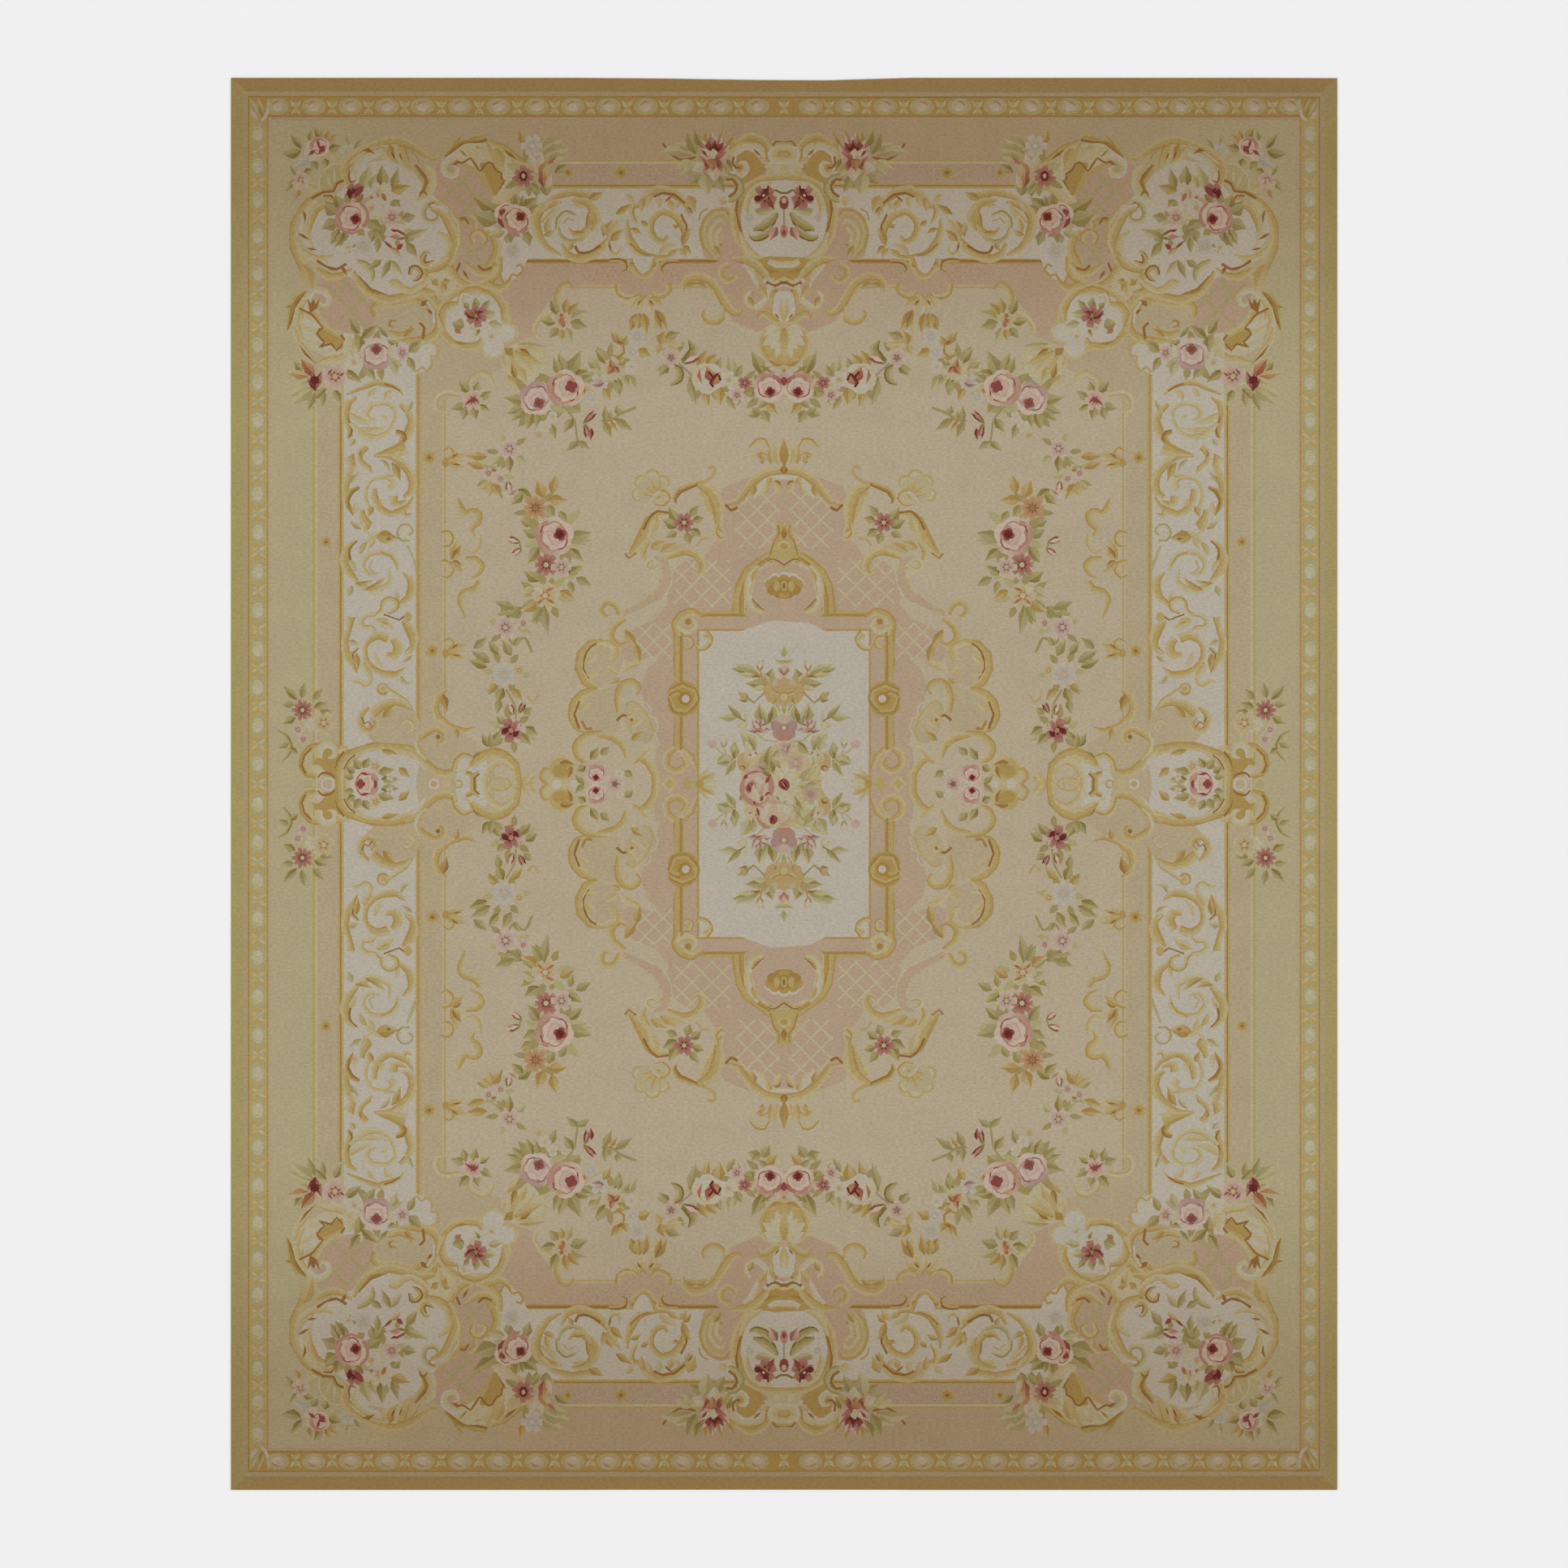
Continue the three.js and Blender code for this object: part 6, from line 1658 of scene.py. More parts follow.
class BouquetSprays(Section):
    """Leaf sprays and small flowers that stand round the centre bouquet."""

    MOTIFS = (
        # Finial at the end
        Leaf(966, 808, 957, 797, 4, IVORIES), Leaf(966, 810, 966, 796, 5, MISTS),
        Scroll((955, 814, 961, 817, 972, 817), (2, 5, 6), MISTS),
        Ground((959, 823, 966, 820, 973, 823, 972, 831, 966, 835, 960, 831), Wool.SHELL),
        Disc(962, 826, 2.5, 3, Wool.ROSE, 7), Leaf(966, 832, 962, 822, 3, ROSES),
        Leaf(946, 843, 952, 823, 12, OLIVES), Leaf(948, 842, 941, 830, 6, MISTS),
        # Side leaves and peach bud
        Line((946, 846, 940, 836, 930, 828), 3, Wool.HONEY), Leaf(936, 834, 901, 824, 11, OLIVES, 0.08),
        Leaf(932, 828, 906, 818, 8, MISTS), Leaf(930, 832, 906, 831, 5, PALE_GILT),
        Line((940, 838, 936, 824), 2.2, Wool.HONEY), Bud(936, 826, 937, 811, 10, CREAMS, STRAWS),
        Leaf(946, 846, 918, 842, 11, OLIVES, 0.06), Leaf(944, 847, 926, 849, 6, PALE_GILT),
        # Large peach flower
        *(Disc(966 + 19 * math.cos(math.radians(a)), 853 + 12 * math.sin(math.radians(a)), 7, 6.5, wool, 10)
          for a, wool in ((180, Wool.PEACH), (215, Wool.PEACH), (245, Wool.SAND), (270, Wool.PEACH),
                          (145, Wool.PEACH), (115, Wool.SAND), (90, Wool.PEACH))),
        Ground((950, 846, 982, 846, 982, 864, 950, 864), Wool.PEACH),
        Scroll((950, 850, 958, 855, 974, 855), (2, 3, 3), STRAWS), Disc(966, 858, 6.5, 6, Wool.HONEY, 11),
        Disc(966, 859, 5, 4.5, Wool.STRAW, 10), Leaf(956, 860, 950, 868, 5, STRAWS),
        # Twig with a hooked bud
        Line((943, 853, 936, 858, 929, 866, 923, 862, 918, 856), 2.6, Wool.REED),
        Leaf(922, 859, 909, 853, 6, OLIVES), Leaf(922, 861, 910, 863, 6, SAGES),
        Disc(916, 858, 4, 5, Wool.PEACH, 8), Stroke(914, 862, 920, 866, 2, Wool.BRONZE),
        # Pointed leaves above the mauve flowers
        Leaf(938, 891, 937, 866, 13, MISTS), Leaf(940, 889, 935, 868, 5, OLIVES),
        Leaf(948, 892, 953, 868, 10, OLIVES, 0.1), Leaf(945, 892, 941, 880, 5, SAGES),
        Stroke(949, 888, 953, 876, 2.4, Wool.MOSS), Leaf(961, 882, 962, 868, 4, IVORIES),
        Leaf(966, 880, 966, 866, 4, MISTS), Line((956, 868, 961, 876), 1.6, Wool.LICHEN),
        # Outward sprays
        Line((919, 889, 908, 883, 902, 880), 2, Wool.OLIVE), Leaf(908, 884, 884, 884, 8, MISTS),
        Leaf(906, 882, 888, 882, 4, PALE_GILT), Leaf(914, 886, 896, 868, 6, SAGES),
        Leaf(920, 888, 918, 872, 5, IVORIES), Leaf(920, 892, 906, 894, 7, PALE_GILT),
        Leaf(921, 890, 911, 902, 6, IVORIES),
        # Mauve flowers
        *(Leaf(936, 899, x, y, w, MAUVES) for x, y, w in (
            (920, 900, 7), (926, 886, 7), (932, 884, 6), (940, 885, 6), (950, 890, 6), (951, 900, 6))),
        Leaf(936, 898, 928, 890, 4, IVORIES), Leaf(937, 898, 946, 894, 4, IVORIES),
        Disc(936, 899, 3.6, 2.4, Wool.ROSE, 8), Stroke(931, 900, 940, 903, 1.8, Wool.CRIMSON),
        *(Ground((966, 897, 966 + 14 * math.cos(a - 0.5), 897 + 14 * math.sin(a - 0.5),
                  966 + 17 * math.cos(a), 897 + 17 * math.sin(a), 966 + 14 * math.cos(a + 0.5),
                  897 + 14 * math.sin(a + 0.5)), wool) for a, wool in (
            (-2.2, Wool.LILAC), (-1.57, Wool.SHELL), (-2.9, Wool.MAUVE), (2.4, Wool.MAUVE),
            (1.57, Wool.SHELL), (1.95, Wool.ROSE))),
        *(Stroke(966, 897, 966 + 10 * math.cos(a), 897 + 10 * math.sin(a), 2.2, Wool.MAUVE)
          for a in (-2.2, -2.9, 2.4, 1.8)),
        Disc(966, 897, 5, 4.5, Wool.PLUM, 9), Disc(966, 897, 3.6, 3.6, Wool.STRAW, 9),
        # Feathered leaf, buds and side leaves
        Leaf(931, 924, 912, 902, 15, MISTS, 0.05), Leaf(930, 922, 922, 906, 6, SAGES),
        Leaf(926, 928, 918, 912, 6, IVORIES), Line((932, 902, 942, 912, 958, 914), 2.2, Wool.SAGE),
        Line((906, 934, 896, 931, 888, 927, 882, 921), 2.2, Wool.SAGE),
        Line((896, 931, 892, 922, 890, 917), 2, Wool.SAGE), Disc(878, 917, 6, 5.5, Wool.SHELL, 9),
        Disc(877, 919, 3.5, 3, Wool.LILAC, 7), Bud(892, 920, 892, 907, 9, CREAMS, STRAWS),
        Leaf(905, 935, 906, 913, 8, OLIVES, 0.05), Leaf(902, 928, 904, 914, 5, MISTS),
        Leaf(904, 934, 881, 940, 8, MISTS, -0.1), Leaf(898, 938, 884, 940, 4, SAGES),
        Leaf(906, 936, 894, 957, 8, MISTS), Leaf(903, 940, 893, 956, 4, SAGES),
        Leaf(884, 938, 896, 931, 6, MISTS),
    )


class BouquetHeart(Section):
    """Cabbage roses and open flowers in the very middle, woven once and not repeated."""

    MOTIFS = (
        # Peach ground flowers at either side
        Ground((914, 950, 926, 936, 944, 922, 966, 915, 988, 919, 1004, 934, 1011, 950, 1012, 984, 1002, 1002,
                984, 1016, 958, 1020, 934, 1016, 924, 998, 912, 982), Wool.STRAW),
        Leaf(1004, 994, 984, 1012, 12, MISTS), Leaf(1000, 944, 992, 922, 11, CREAMS),
        Leaf(1012, 962, 990, 952, 13, PALE_GILT), Leaf(1010, 972, 1008, 998, 13, PALE_GILT),
        Leaf(990, 996, 1008, 984, 11, IVORIES), Leaf(1008, 956, 1002, 930, 9, MISTS),
        *(Disc(966 + way * 50, 966 + up * 27, 8, 12, Wool.PEACH, 12) for way in (-1, 1) for up in (-1, 1)
          if (way, up) != (-1, 1)),
        *(Disc(966 + way * 45, y, 5, 4, Wool.STRAW, 9) for way in (-1, 1) for y in (935, 998)),
        *(Stroke(966 + way * 47, 966 + up * 40, 966 + way * 39, 966 + up * 34, 4, Wool.CORAL)
          for way in (-1, 1) for up in (-1, 1)),
        *(Stroke(966 + way * 36, 966 + up * 40, 966 + way * 33, 966 + up * 36, 3.4, Wool.CORAL)
          for way in (-1, 1) for up in (-1, 1)),
        *(Leaf(966 + way * 40, 966 + up * 41, 966 + way * 50, 966 + up * 34, 3, IVORIES) for way in (-1, 1)
          for up in (-1, 1)),
        Disc(915, 946, 4, 3, Wool.BRONZE, 8), Disc(914, 947, 3, 2.4, Wool.PEACH, 7),
        Disc(1016, 946, 4.4, 3.4, Wool.BRONZE, 8), Disc(1017, 947, 3, 2.4, Wool.PEACH, 7),
        Disc(1016, 987, 4, 4, Wool.BRONZE, 8), Disc(1017, 985, 3, 3, Wool.PEACH, 7),
        Leaf(924, 1010, 914, 1030, 12, MISTS), Leaf(1008, 1008, 1018, 1028, 12, MISTS),
        Leaf(1008, 924, 1018, 904, 10, MISTS),
        # Greenery behind the flowers
        Leaf(936, 946, 948, 922, 12, MISTS, 0.1), Leaf(948, 950, 950, 918, 9, OLIVES, -0.08),
        Leaf(956, 938, 962, 918, 9, IVORIES), Leaf(952, 932, 974, 920, 8, MISTS),
        Leaf(984, 914, 998, 930, 8, OLIVES, 0.1), Leaf(960, 948, 948, 934, 10, OLIVES),
        Leaf(950, 950, 966, 946, 9, OLIVES, 0.1), Leaf(986, 968, 1004, 942, 12, MISTS),
        Leaf(996, 962, 1010, 944, 8, PALE_GILT), Leaf(984, 968, 1006, 966, 11, SAGES),
        Leaf(976, 964, 1000, 962, 9, MISTS), Leaf(962, 986, 990, 1000, 14, OLIVES, -0.1),
        Leaf(972, 978, 978, 1002, 10, PALE_GILT), Leaf(984, 996, 976, 1012, 10, MISTS),
        Leaf(972, 1012, 994, 1020, 10, PALE_GILT), Leaf(990, 1018, 1006, 1008, 9, MISTS),
        Line((974, 986, 980, 998, 990, 1010), 1.8, Wool.REED), Leaf(912, 986, 918, 978, 5, OLIVES),
        Leaf(962, 986, 958, 976, 6, OLIVES),
        # Mauve blossoms on the right
        Bloom(968, 923, 11, 5, Tones(Wool.SHELL, Wool.MAUVE, Wool.MAUVE), 20, Wool.SHELL),
        Leaf(970, 926, 976, 916, 5, MAUVES), Leaf(972, 924, 984, 922, 5, IVORIES),
        Bloom(981, 940, 12, 6, Tones(Wool.SHELL, Wool.MAUVE, Wool.ROSE), 8, Wool.STRAW),
        Disc(981, 940, 3.4, 3.4, Wool.STRAW, 9),
        Bloom(999, 979, 13, 6, Tones(Wool.SAND, Wool.MAUVE, Wool.ROSE), 24, Wool.ROSE),
        Disc(999, 979, 4, 4, Wool.ROSE, 9),
        # Ivory rose with a crimson heart
        *(Leaf(966, 967, x, y, w, IVORIES) for x, y, w in (
            (956, 944, 13), (968, 938, 14), (980, 946, 13), (988, 960, 12), (984, 976, 13),
            (978, 992, 13), (964, 990, 13), (952, 982, 12), (948, 966, 12))),
        *(Leaf(966, 967, x, y, w, CREAMS) for x, y, w in (
            (960, 950, 9), (974, 950, 9), (980, 968, 9), (972, 984, 9), (956, 978, 8))),
        Ground((960, 962, 965, 959, 971, 962, 973, 969, 970, 974, 963, 972, 959, 968), Wool.CRIMSON),
        Ground((962, 965, 966, 963, 970, 968, 968, 972, 964, 970), Wool.GARNET),
        Stroke(962, 962, 969, 972, 2, Wool.ROSE),
        # Cabbage rose
        Ground((914, 962, 920, 950, 932, 944, 944, 946, 952, 958, 954, 974, 948, 988, 940, 994, 924, 992, 914,
                982, 911, 972), Wool.ROSE),
        Leaf(950, 956, 922, 948, 12, OLIVES, 0.22),
        Leaf(944, 948, 926, 946, 6, Tones(Wool.SHELL, Wool.MAUVE, Wool.PLUM), 0.2),
        Leaf(942, 954, 918, 954, 8, ROSES, 0.22),
        Ground((918, 960, 926, 953, 938, 952, 946, 960, 947, 974, 940, 984, 928, 986, 918, 978), Wool.SHELL),
        Leaf(946, 968, 930, 954, 8, CREAMS, -0.2),
        Leaf(934, 990, 942, 962, 10, Tones(Wool.CREAM, Wool.SHELL, Wool.ROSE), 0.12),
        Ground((920, 966, 927, 961, 932, 966, 930, 976, 922, 978, 917, 972), Wool.ROSE),
        Ground((921, 968, 926, 964, 930, 970, 926, 976, 920, 974), Wool.CRIMSON),
        Leaf(927, 976, 922, 963, 4, REDS),
        *(Stroke(a, b, c, d, 5, wool) for a, b, c, d, wool in (
            (943, 966, 949, 955, Wool.CRIMSON), (942, 980, 950, 976, Wool.CRIMSON),
            (936, 988, 941, 980, Wool.CRIMSON), (929, 992, 932, 985, Wool.CRIMSON),
            (946, 972, 954, 972, Wool.ROSE), (914, 976, 921, 984, Wool.ROSE),
            (916, 960, 922, 954, Wool.CRIMSON))),
        Leaf(936, 990, 928, 966, 8, CREAMS, -0.1),
        Leaf(952, 992, 946, 978, 8, Tones(Wool.SHELL, Wool.SALMON, Wool.ROSE)),
        # Cream and pink rose below it
        Ground((931, 1000, 938, 990, 952, 986, 968, 990, 974, 1004, 970, 1016, 958, 1020, 944, 1020, 934,
                1012), Wool.SALMON),
        Ground((936, 1002, 944, 993, 956, 990, 966, 995, 968, 1006, 962, 1014, 948, 1017, 938, 1012),
               Wool.SHELL),
        Leaf(938, 1010, 950, 990, 12, CREAMS, -0.2), Leaf(968, 1012, 956, 990, 13, CREAMS, 0.2),
        Leaf(960, 1018, 942, 1012, 10, IVORIES, 0.15),
        Line((935, 1000, 933, 1008, 940, 1018, 948, 1020), 3, Wool.ROSE),
        Stroke(932, 994, 936, 1006, 4, Wool.CRIMSON), Stroke(936, 1012, 946, 1020, 4, Wool.ROSE),
        Stroke(930, 988, 942, 996, 5, Wool.ROSE),
        Ground((948, 1008, 951, 1004, 957, 1006, 958, 1012, 954, 1016, 949, 1015), Wool.CRIMSON),
        Stroke(950, 1014, 953, 1004, 3, Wool.GARNET),
    )


SECTIONS = (Borders, BeadBorder, SideBand, CornerGrounds, CornerStraps, CornerWings, CornerCartouche, TopBand,
            TopCentre, Festoon, SideGarland, SideCentre, MedallionFrame, MedallionScrolls, BouquetSprays)


def draw_cartoons() -> tuple[Cartoon, Cartoon]:
    """Draw the design.

    Returns:
        The quarter that is repeated and the flowers in the middle that are not.
    """
    quarter, middle = Cartoon(), Cartoon()
    for section in SECTIONS:
        section().draw(quarter)
    BouquetHeart().draw(middle)
    return quarter, middle


class Edge:
    """How far one side of the rug draws in along its length, read off the solid's outline."""

    def __init__(self, dips: Iterable[Place]) -> None:
        self.dips = sorted(dips)

    def depth(self, along: float) -> float:
        """Distance that the edge stands in at a place along it, in metres."""
        for (low, first), (high, last) in zip(self.dips, self.dips[1:]):
            if low <= along <= high and high > low:
                return first + (last - first) * (along - low) / (high - low)
        return 0.0


class Outline:
    """The rug's uneven outline, and how the weave follows it near the edge."""

    REACH = 0.05  # how far in from the edge the weave is drawn along, in metres
    DEEPEST = 0.011  # no side draws in further than this, in metres

    def __init__(self) -> None:
        low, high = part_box("rug")
        self.half_width, self.half_length, self.top = high.x, high.y, high.z
        rim = [(v.co.x, v.co.y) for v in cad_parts["rug"].data.vertices if v.co.z > (low.z + high.z) / 2]
        width, length = self.half_width, self.half_length
        self.head = Edge((x, length - y) for x, y in rim if length - y < self.DEEPEST)
        self.foot = Edge((x, length + y) for x, y in rim if length + y < self.DEEPEST)
        self.left = Edge((y, width + x) for x, y in rim if width + x < self.DEEPEST and abs(y) < length / 2)
        self.right = Edge((y, width - x) for x, y in rim if width - x < self.DEEPEST and abs(y) < length / 2)

    def drawn_in(self, x: float, y: float) -> Place:
        """Move a place near the edge inward as the edge does.

        Args:
            x: Its place across, in metres from the middle.
            y: Its place along, in metres from the middle.

        Returns:
            Where it lies in the woven rug.
        """
        def pull(edge: Edge, along: float, gap: float) -> float:
            return edge.depth(along) * max(0.0, 1 - gap / self.REACH)

        return (x + pull(self.left, y, self.half_width + x) - pull(self.right, y, self.half_width - x),
                y + pull(self.foot, x, self.half_length + y) - pull(self.head, x, self.half_length - y))


@dataclass(frozen=True)
class Piece:
    """One area's outline where it lies on the loom, and the box round it."""

    quarter: tuple[int, int]
    number: int
    outline: Sequence[Place]
    left: float
    right: float
    top: float
    low: float


class Loom:
    """Weaves the cartoon: overlapping areas become one layer of triangles, each in its topmost wool."""

    LEFT, TOP = 284.7, 96.4  # the rug's upper left corner on the cartoon
    BAYS_ACROSS, BAYS_ALONG = 17, 22
    QUARTERS = ((1, 1), (-1, 1), (1, -1), (-1, -1))
    EVERY = (0, 0)  # stands for all four quarters
    ONLY_INSIDE = 1  # the cutter keeps only what lies inside an area
    NEAR = 1e-4  # places closer than this on the cartoon are one
    JOIN = 4e-5  # and so are places closer than this on the rug, in metres
    STRAIGHT = 0.29  # greatest turn, in radians, that counts as straight on
    LONGEST_RIM, RIM_CUTS = 0.03, 12  # a longer side of the rim, in metres, is cut this often
    ROUNDING = 0.0009  # the rim lies this much lower than the face, in metres
    CHART_WIDTH = 0.496  # half the width of both maps
    FACE_MAP, UNDERSIDE_MAP = (0.519, 0.477), (0.018, 0.015)  # middle and half the height

    def __init__(self, quarter: Cartoon, middle: Cartoon, outline: Outline) -> None:
        self.areas = [*quarter.patches, *middle.patches]
        self.repeated = len(quarter.patches)
        first: dict[tuple, int] = {}
        self.alike = [first.setdefault((i < self.repeated, area.near, area.far, area.start, area.end), i)
                      for i, area in enumerate(self.areas)]
        self.outline = outline
        self.places: list[Place] = []
        self.triangles: list[tuple[int, int, int]] = []
        self.owners: list[int] = []

    def bay(self, corners: Sequence[Place],
            drawn: Sequence[tuple[int, Sequence[Place]]]) -> tuple[list, list]:
        """Cut one bay of the loom into triangles.

        Args:
            corners: The bay's four corners.
            drawn: Number and outline of each area in it, from the lowest to the topmost.

        Returns:
            The places, and for each triangle its corners' numbers and its topmost area's number.
        """
        points, faces = list(corners), [[0, 1, 2, 3]]
        for _, places in drawn:
            turn = sum(a[0] * b[1] - b[0] * a[1] for a, b in zip(places, (*places[1:], places[0])))
            numbers = range(len(points), len(points) + len(places))
            faces.append(list(numbers if turn > 0 else reversed(numbers)))
            points.extend(places)
        places, _, triangles, _, _, above = delaunay_2d_cdt(
            [Vector(p) for p in points], [], faces, self.ONLY_INSIDE, self.NEAR, True)
        cut = []
        for triangle, parents in zip(triangles, above):
            x, y = (sum(places[corner][k] for corner in triangle) / 3 for k in (0, 1))
            top = next((p for p in sorted(parents, reverse=True) if p and holds(drawn[p - 1][1], x, y)), 0)
            if 0 in parents and top:
                cut.append((*triangle, drawn[top - 1][0]))
        return places, cut

    def lay(self, cut: tuple[list, list], across: int, along: int) -> None:
        """Add a bay's triangles to one quarter of the rug."""
        first = len(self.places)
        self.places += [(MIDDLE + (x - MIDDLE) * across, MIDDLE + (y - MIDDLE) * along) for x, y in cut[0]]
        for a, b, c, owner in cut[1]:
            self.triangles.append((first + a, first + b, first + c))
            self.owners.append(self.alike[owner])

    def pieces(self) -> list[Piece]:
        """Every area where it lies: a repeated one once, any other in each of the quarters."""
        laid = []
        for number, patch in enumerate(self.areas):
            for across, along in self.QUARTERS if number >= self.repeated else (self.EVERY,):
                outline = patch.outline if not across else [
                    (MIDDLE + (x - MIDDLE) * across, MIDDLE + (y - MIDDLE) * along) for x, y in patch.outline]
                xs, ys = [x for x, _ in outline], [y for _, y in outline]
                laid.append(Piece((across, along), number, outline, min(xs), max(xs), min(ys), max(ys)))
        return laid

    def weave_bays(self) -> None:
        """Cut every bay, once for all four quarters where nothing but the repeat lies in it."""
        pieces = self.pieces()
        width = (MIDDLE - self.LEFT) / self.BAYS_ACROSS
        height = (MIDDLE - self.TOP) / self.BAYS_ALONG
        for column in range(self.BAYS_ACROSS):
            left = self.LEFT + column * width
            right = left + width
            standing = [p for p in pieces if p.left < right and p.right > left]
            for row in range(self.BAYS_ALONG):
                top = self.TOP + row * height
                low = top + height
                near = [p for p in standing if p.top < low and p.low > top]
                corners = ((left, top), (right, top), (right, low), (left, low))
                shared = None
                for quarter in self.QUARTERS:
                    here = [(p.number, p.outline) for p in near if p.quarter in (self.EVERY, quarter)]
                    if any(p.quarter == quarter for p in near):
                        self.lay(self.bay(corners, here), *quarter)
                    else:
                        shared = shared or self.bay(corners, here)
                        self.lay(shared, *quarter)

    def weave(self) -> bpy.types.Mesh:
        """Weave all four quarters as one closed sheet.

        Returns:
            The sheet's mesh, with the wool's colour at each corner.
        """
        self.weave_bays()
        scale_x = self.outline.half_width / (MIDDLE - self.LEFT)
        scale_y = self.outline.half_length / (MIDDLE - self.TOP)
        spots = [((x - MIDDLE) * scale_x, (MIDDLE - y) * scale_y, self.outline.top) for x, y in self.places]
        mesh = bpy.data.meshes.new("rug_sheet")
        mesh.from_pydata(spots, [], self.triangles)
        mesh.polygons.foreach_set("material_index", self.owners)
        bm = bmesh.new()
        bm.from_mesh(mesh)
        bmesh.ops.remove_doubles(bm, verts=bm.verts, dist=self.JOIN)
        LOG.info("woven: %d triangles", len(bm.faces))
        bmesh.ops.dissolve_limit(bm, angle_limit=self.STRAIGHT, verts=bm.verts, edges=bm.edges,
                                 delimit={"MATERIAL"})
        LOG.info("joined: %d areas", len(bm.faces))
        bmesh.ops.triangulate(bm, faces=bm.faces)
        LOG.info("cut: %d triangles", len(bm.faces))
        self.dye(bm, scale_x, scale_y)
        self.close(bm)
        bm.to_mesh(mesh)
        bm.free()
        return mesh

    def charted(self, spot: Vector, rows: tuple[float, float]) -> Place:
        """Place on the flat map of one of the rug's vertices."""
        middle, half = rows
        return (0.5 + self.CHART_WIDTH * spot.x / self.outline.half_width,
                middle + half * spot.y / self.outline.half_length)

    def dye(self, bm: bmesh.types.BMesh, scale_x: float, scale_y: float) -> None:
        """Colour every corner and lay the map out flat.

        Args:
            bm: The woven face of the rug.
            scale_x: Metres to one unit of the cartoon across.
            scale_y: Metres to one unit of the cartoon along.
        """
        wools = bm.loops.layers.float_color.new("wool")
        chart = bm.loops.layers.uv.new("OFBake")
        for face in bm.faces:
            area, repeated = self.areas[face.material_index], face.material_index < self.repeated
            for loop in face.loops:
                x, y = MIDDLE + loop.vert.co.x / scale_x, MIDDLE - loop.vert.co.y / scale_y
                if repeated:
                    x, y = MIDDLE - abs(x - MIDDLE), MIDDLE - abs(y - MIDDLE)
                loop[wools] = (*area.colour_at((x, y)), 1)
                loop[chart].uv = self.charted(loop.vert.co, self.FACE_MAP)
            face.material_index = 0

    def close(self, bm: bmesh.types.BMesh) -> None:
        """Draw the edges in as the solid's do, turn the rim down and close the underside.

        Args:
            bm: The dyed face of the rug.
        """
        wools, chart = bm.loops.layers.float_color["wool"], bm.loops.layers.uv["OFBake"]
        rim = [e for e in bm.edges if e.is_boundary]
        long = [e for e in rim if e.calc_length() > self.LONGEST_RIM]
        bmesh.ops.subdivide_edges(bm, edges=long, cuts=self.RIM_CUTS)
        bmesh.ops.triangulate(bm, faces=[f for f in bm.faces if len(f.verts) > 3])
        for vert in bm.verts:
            vert.co.xy = self.outline.drawn_in(vert.co.x, vert.co.y)
        rim = [e for e in bm.edges if e.is_boundary]
        for vert in {v for e in rim for v in e.verts}:
            vert.co.z -= self.ROUNDING
        woven = set(bm.faces)
        wall = bmesh.ops.extrude_edge_only(bm, edges=rim)["geom"]
        for vert in (g for g in wall if isinstance(g, bmesh.types.BMVert)):
            vert.co.z = 0.0
        bmesh.ops.triangle_fill(bm, use_beauty=True, edges=[e for e in bm.edges if e.is_boundary])
        bmesh.ops.recalc_face_normals(bm, faces=bm.faces)
        for face in (f for f in bm.faces if f not in woven):
            for loop in face.loops:
                loop[wools] = (*Wool.KHAKI.rgb, 1)
                loop[chart].uv = self.charted(loop.vert.co, self.UNDERSIDE_MAP)


class NodeTree:
    """A material's nodes, added one at a time."""

    def __init__(self, name: str) -> None:
        self.material = bpy.data.materials.new(name)
        self.material.use_nodes = True
        self.tree = self.material.node_tree
        self.tree.nodes.clear()

    def add(self, kind: str, settings: dict[str, object] | None = None, **inputs: object) -> bpy.types.Node:
        """Add one node.

        Args:
            kind: Its type.
            settings: Its own settings by name.
            inputs: A value or another node's socket for each input, spaces in names written as underscores.

        Returns:
            The node.
        """
        node = self.tree.nodes.new(kind)
        for name, value in (settings or {}).items():
            setattr(node, name, value)
        for name, value in inputs.items():
            key = int(name[1:]) if name[0] == "_" else name.replace("_", " ")
            if isinstance(value, bpy.types.NodeSocket):
                self.tree.links.new(value, node.inputs[key])
            else:
                node.inputs[key].default_value = value
        return node

    def maths(self, operation: str, first: object, second: object = 0.0) -> bpy.types.NodeSocket:
        """Result of one sum on two values."""
        return self.add("ShaderNodeMath", {"operation": operation}, _0=first, _1=second).outputs[0]


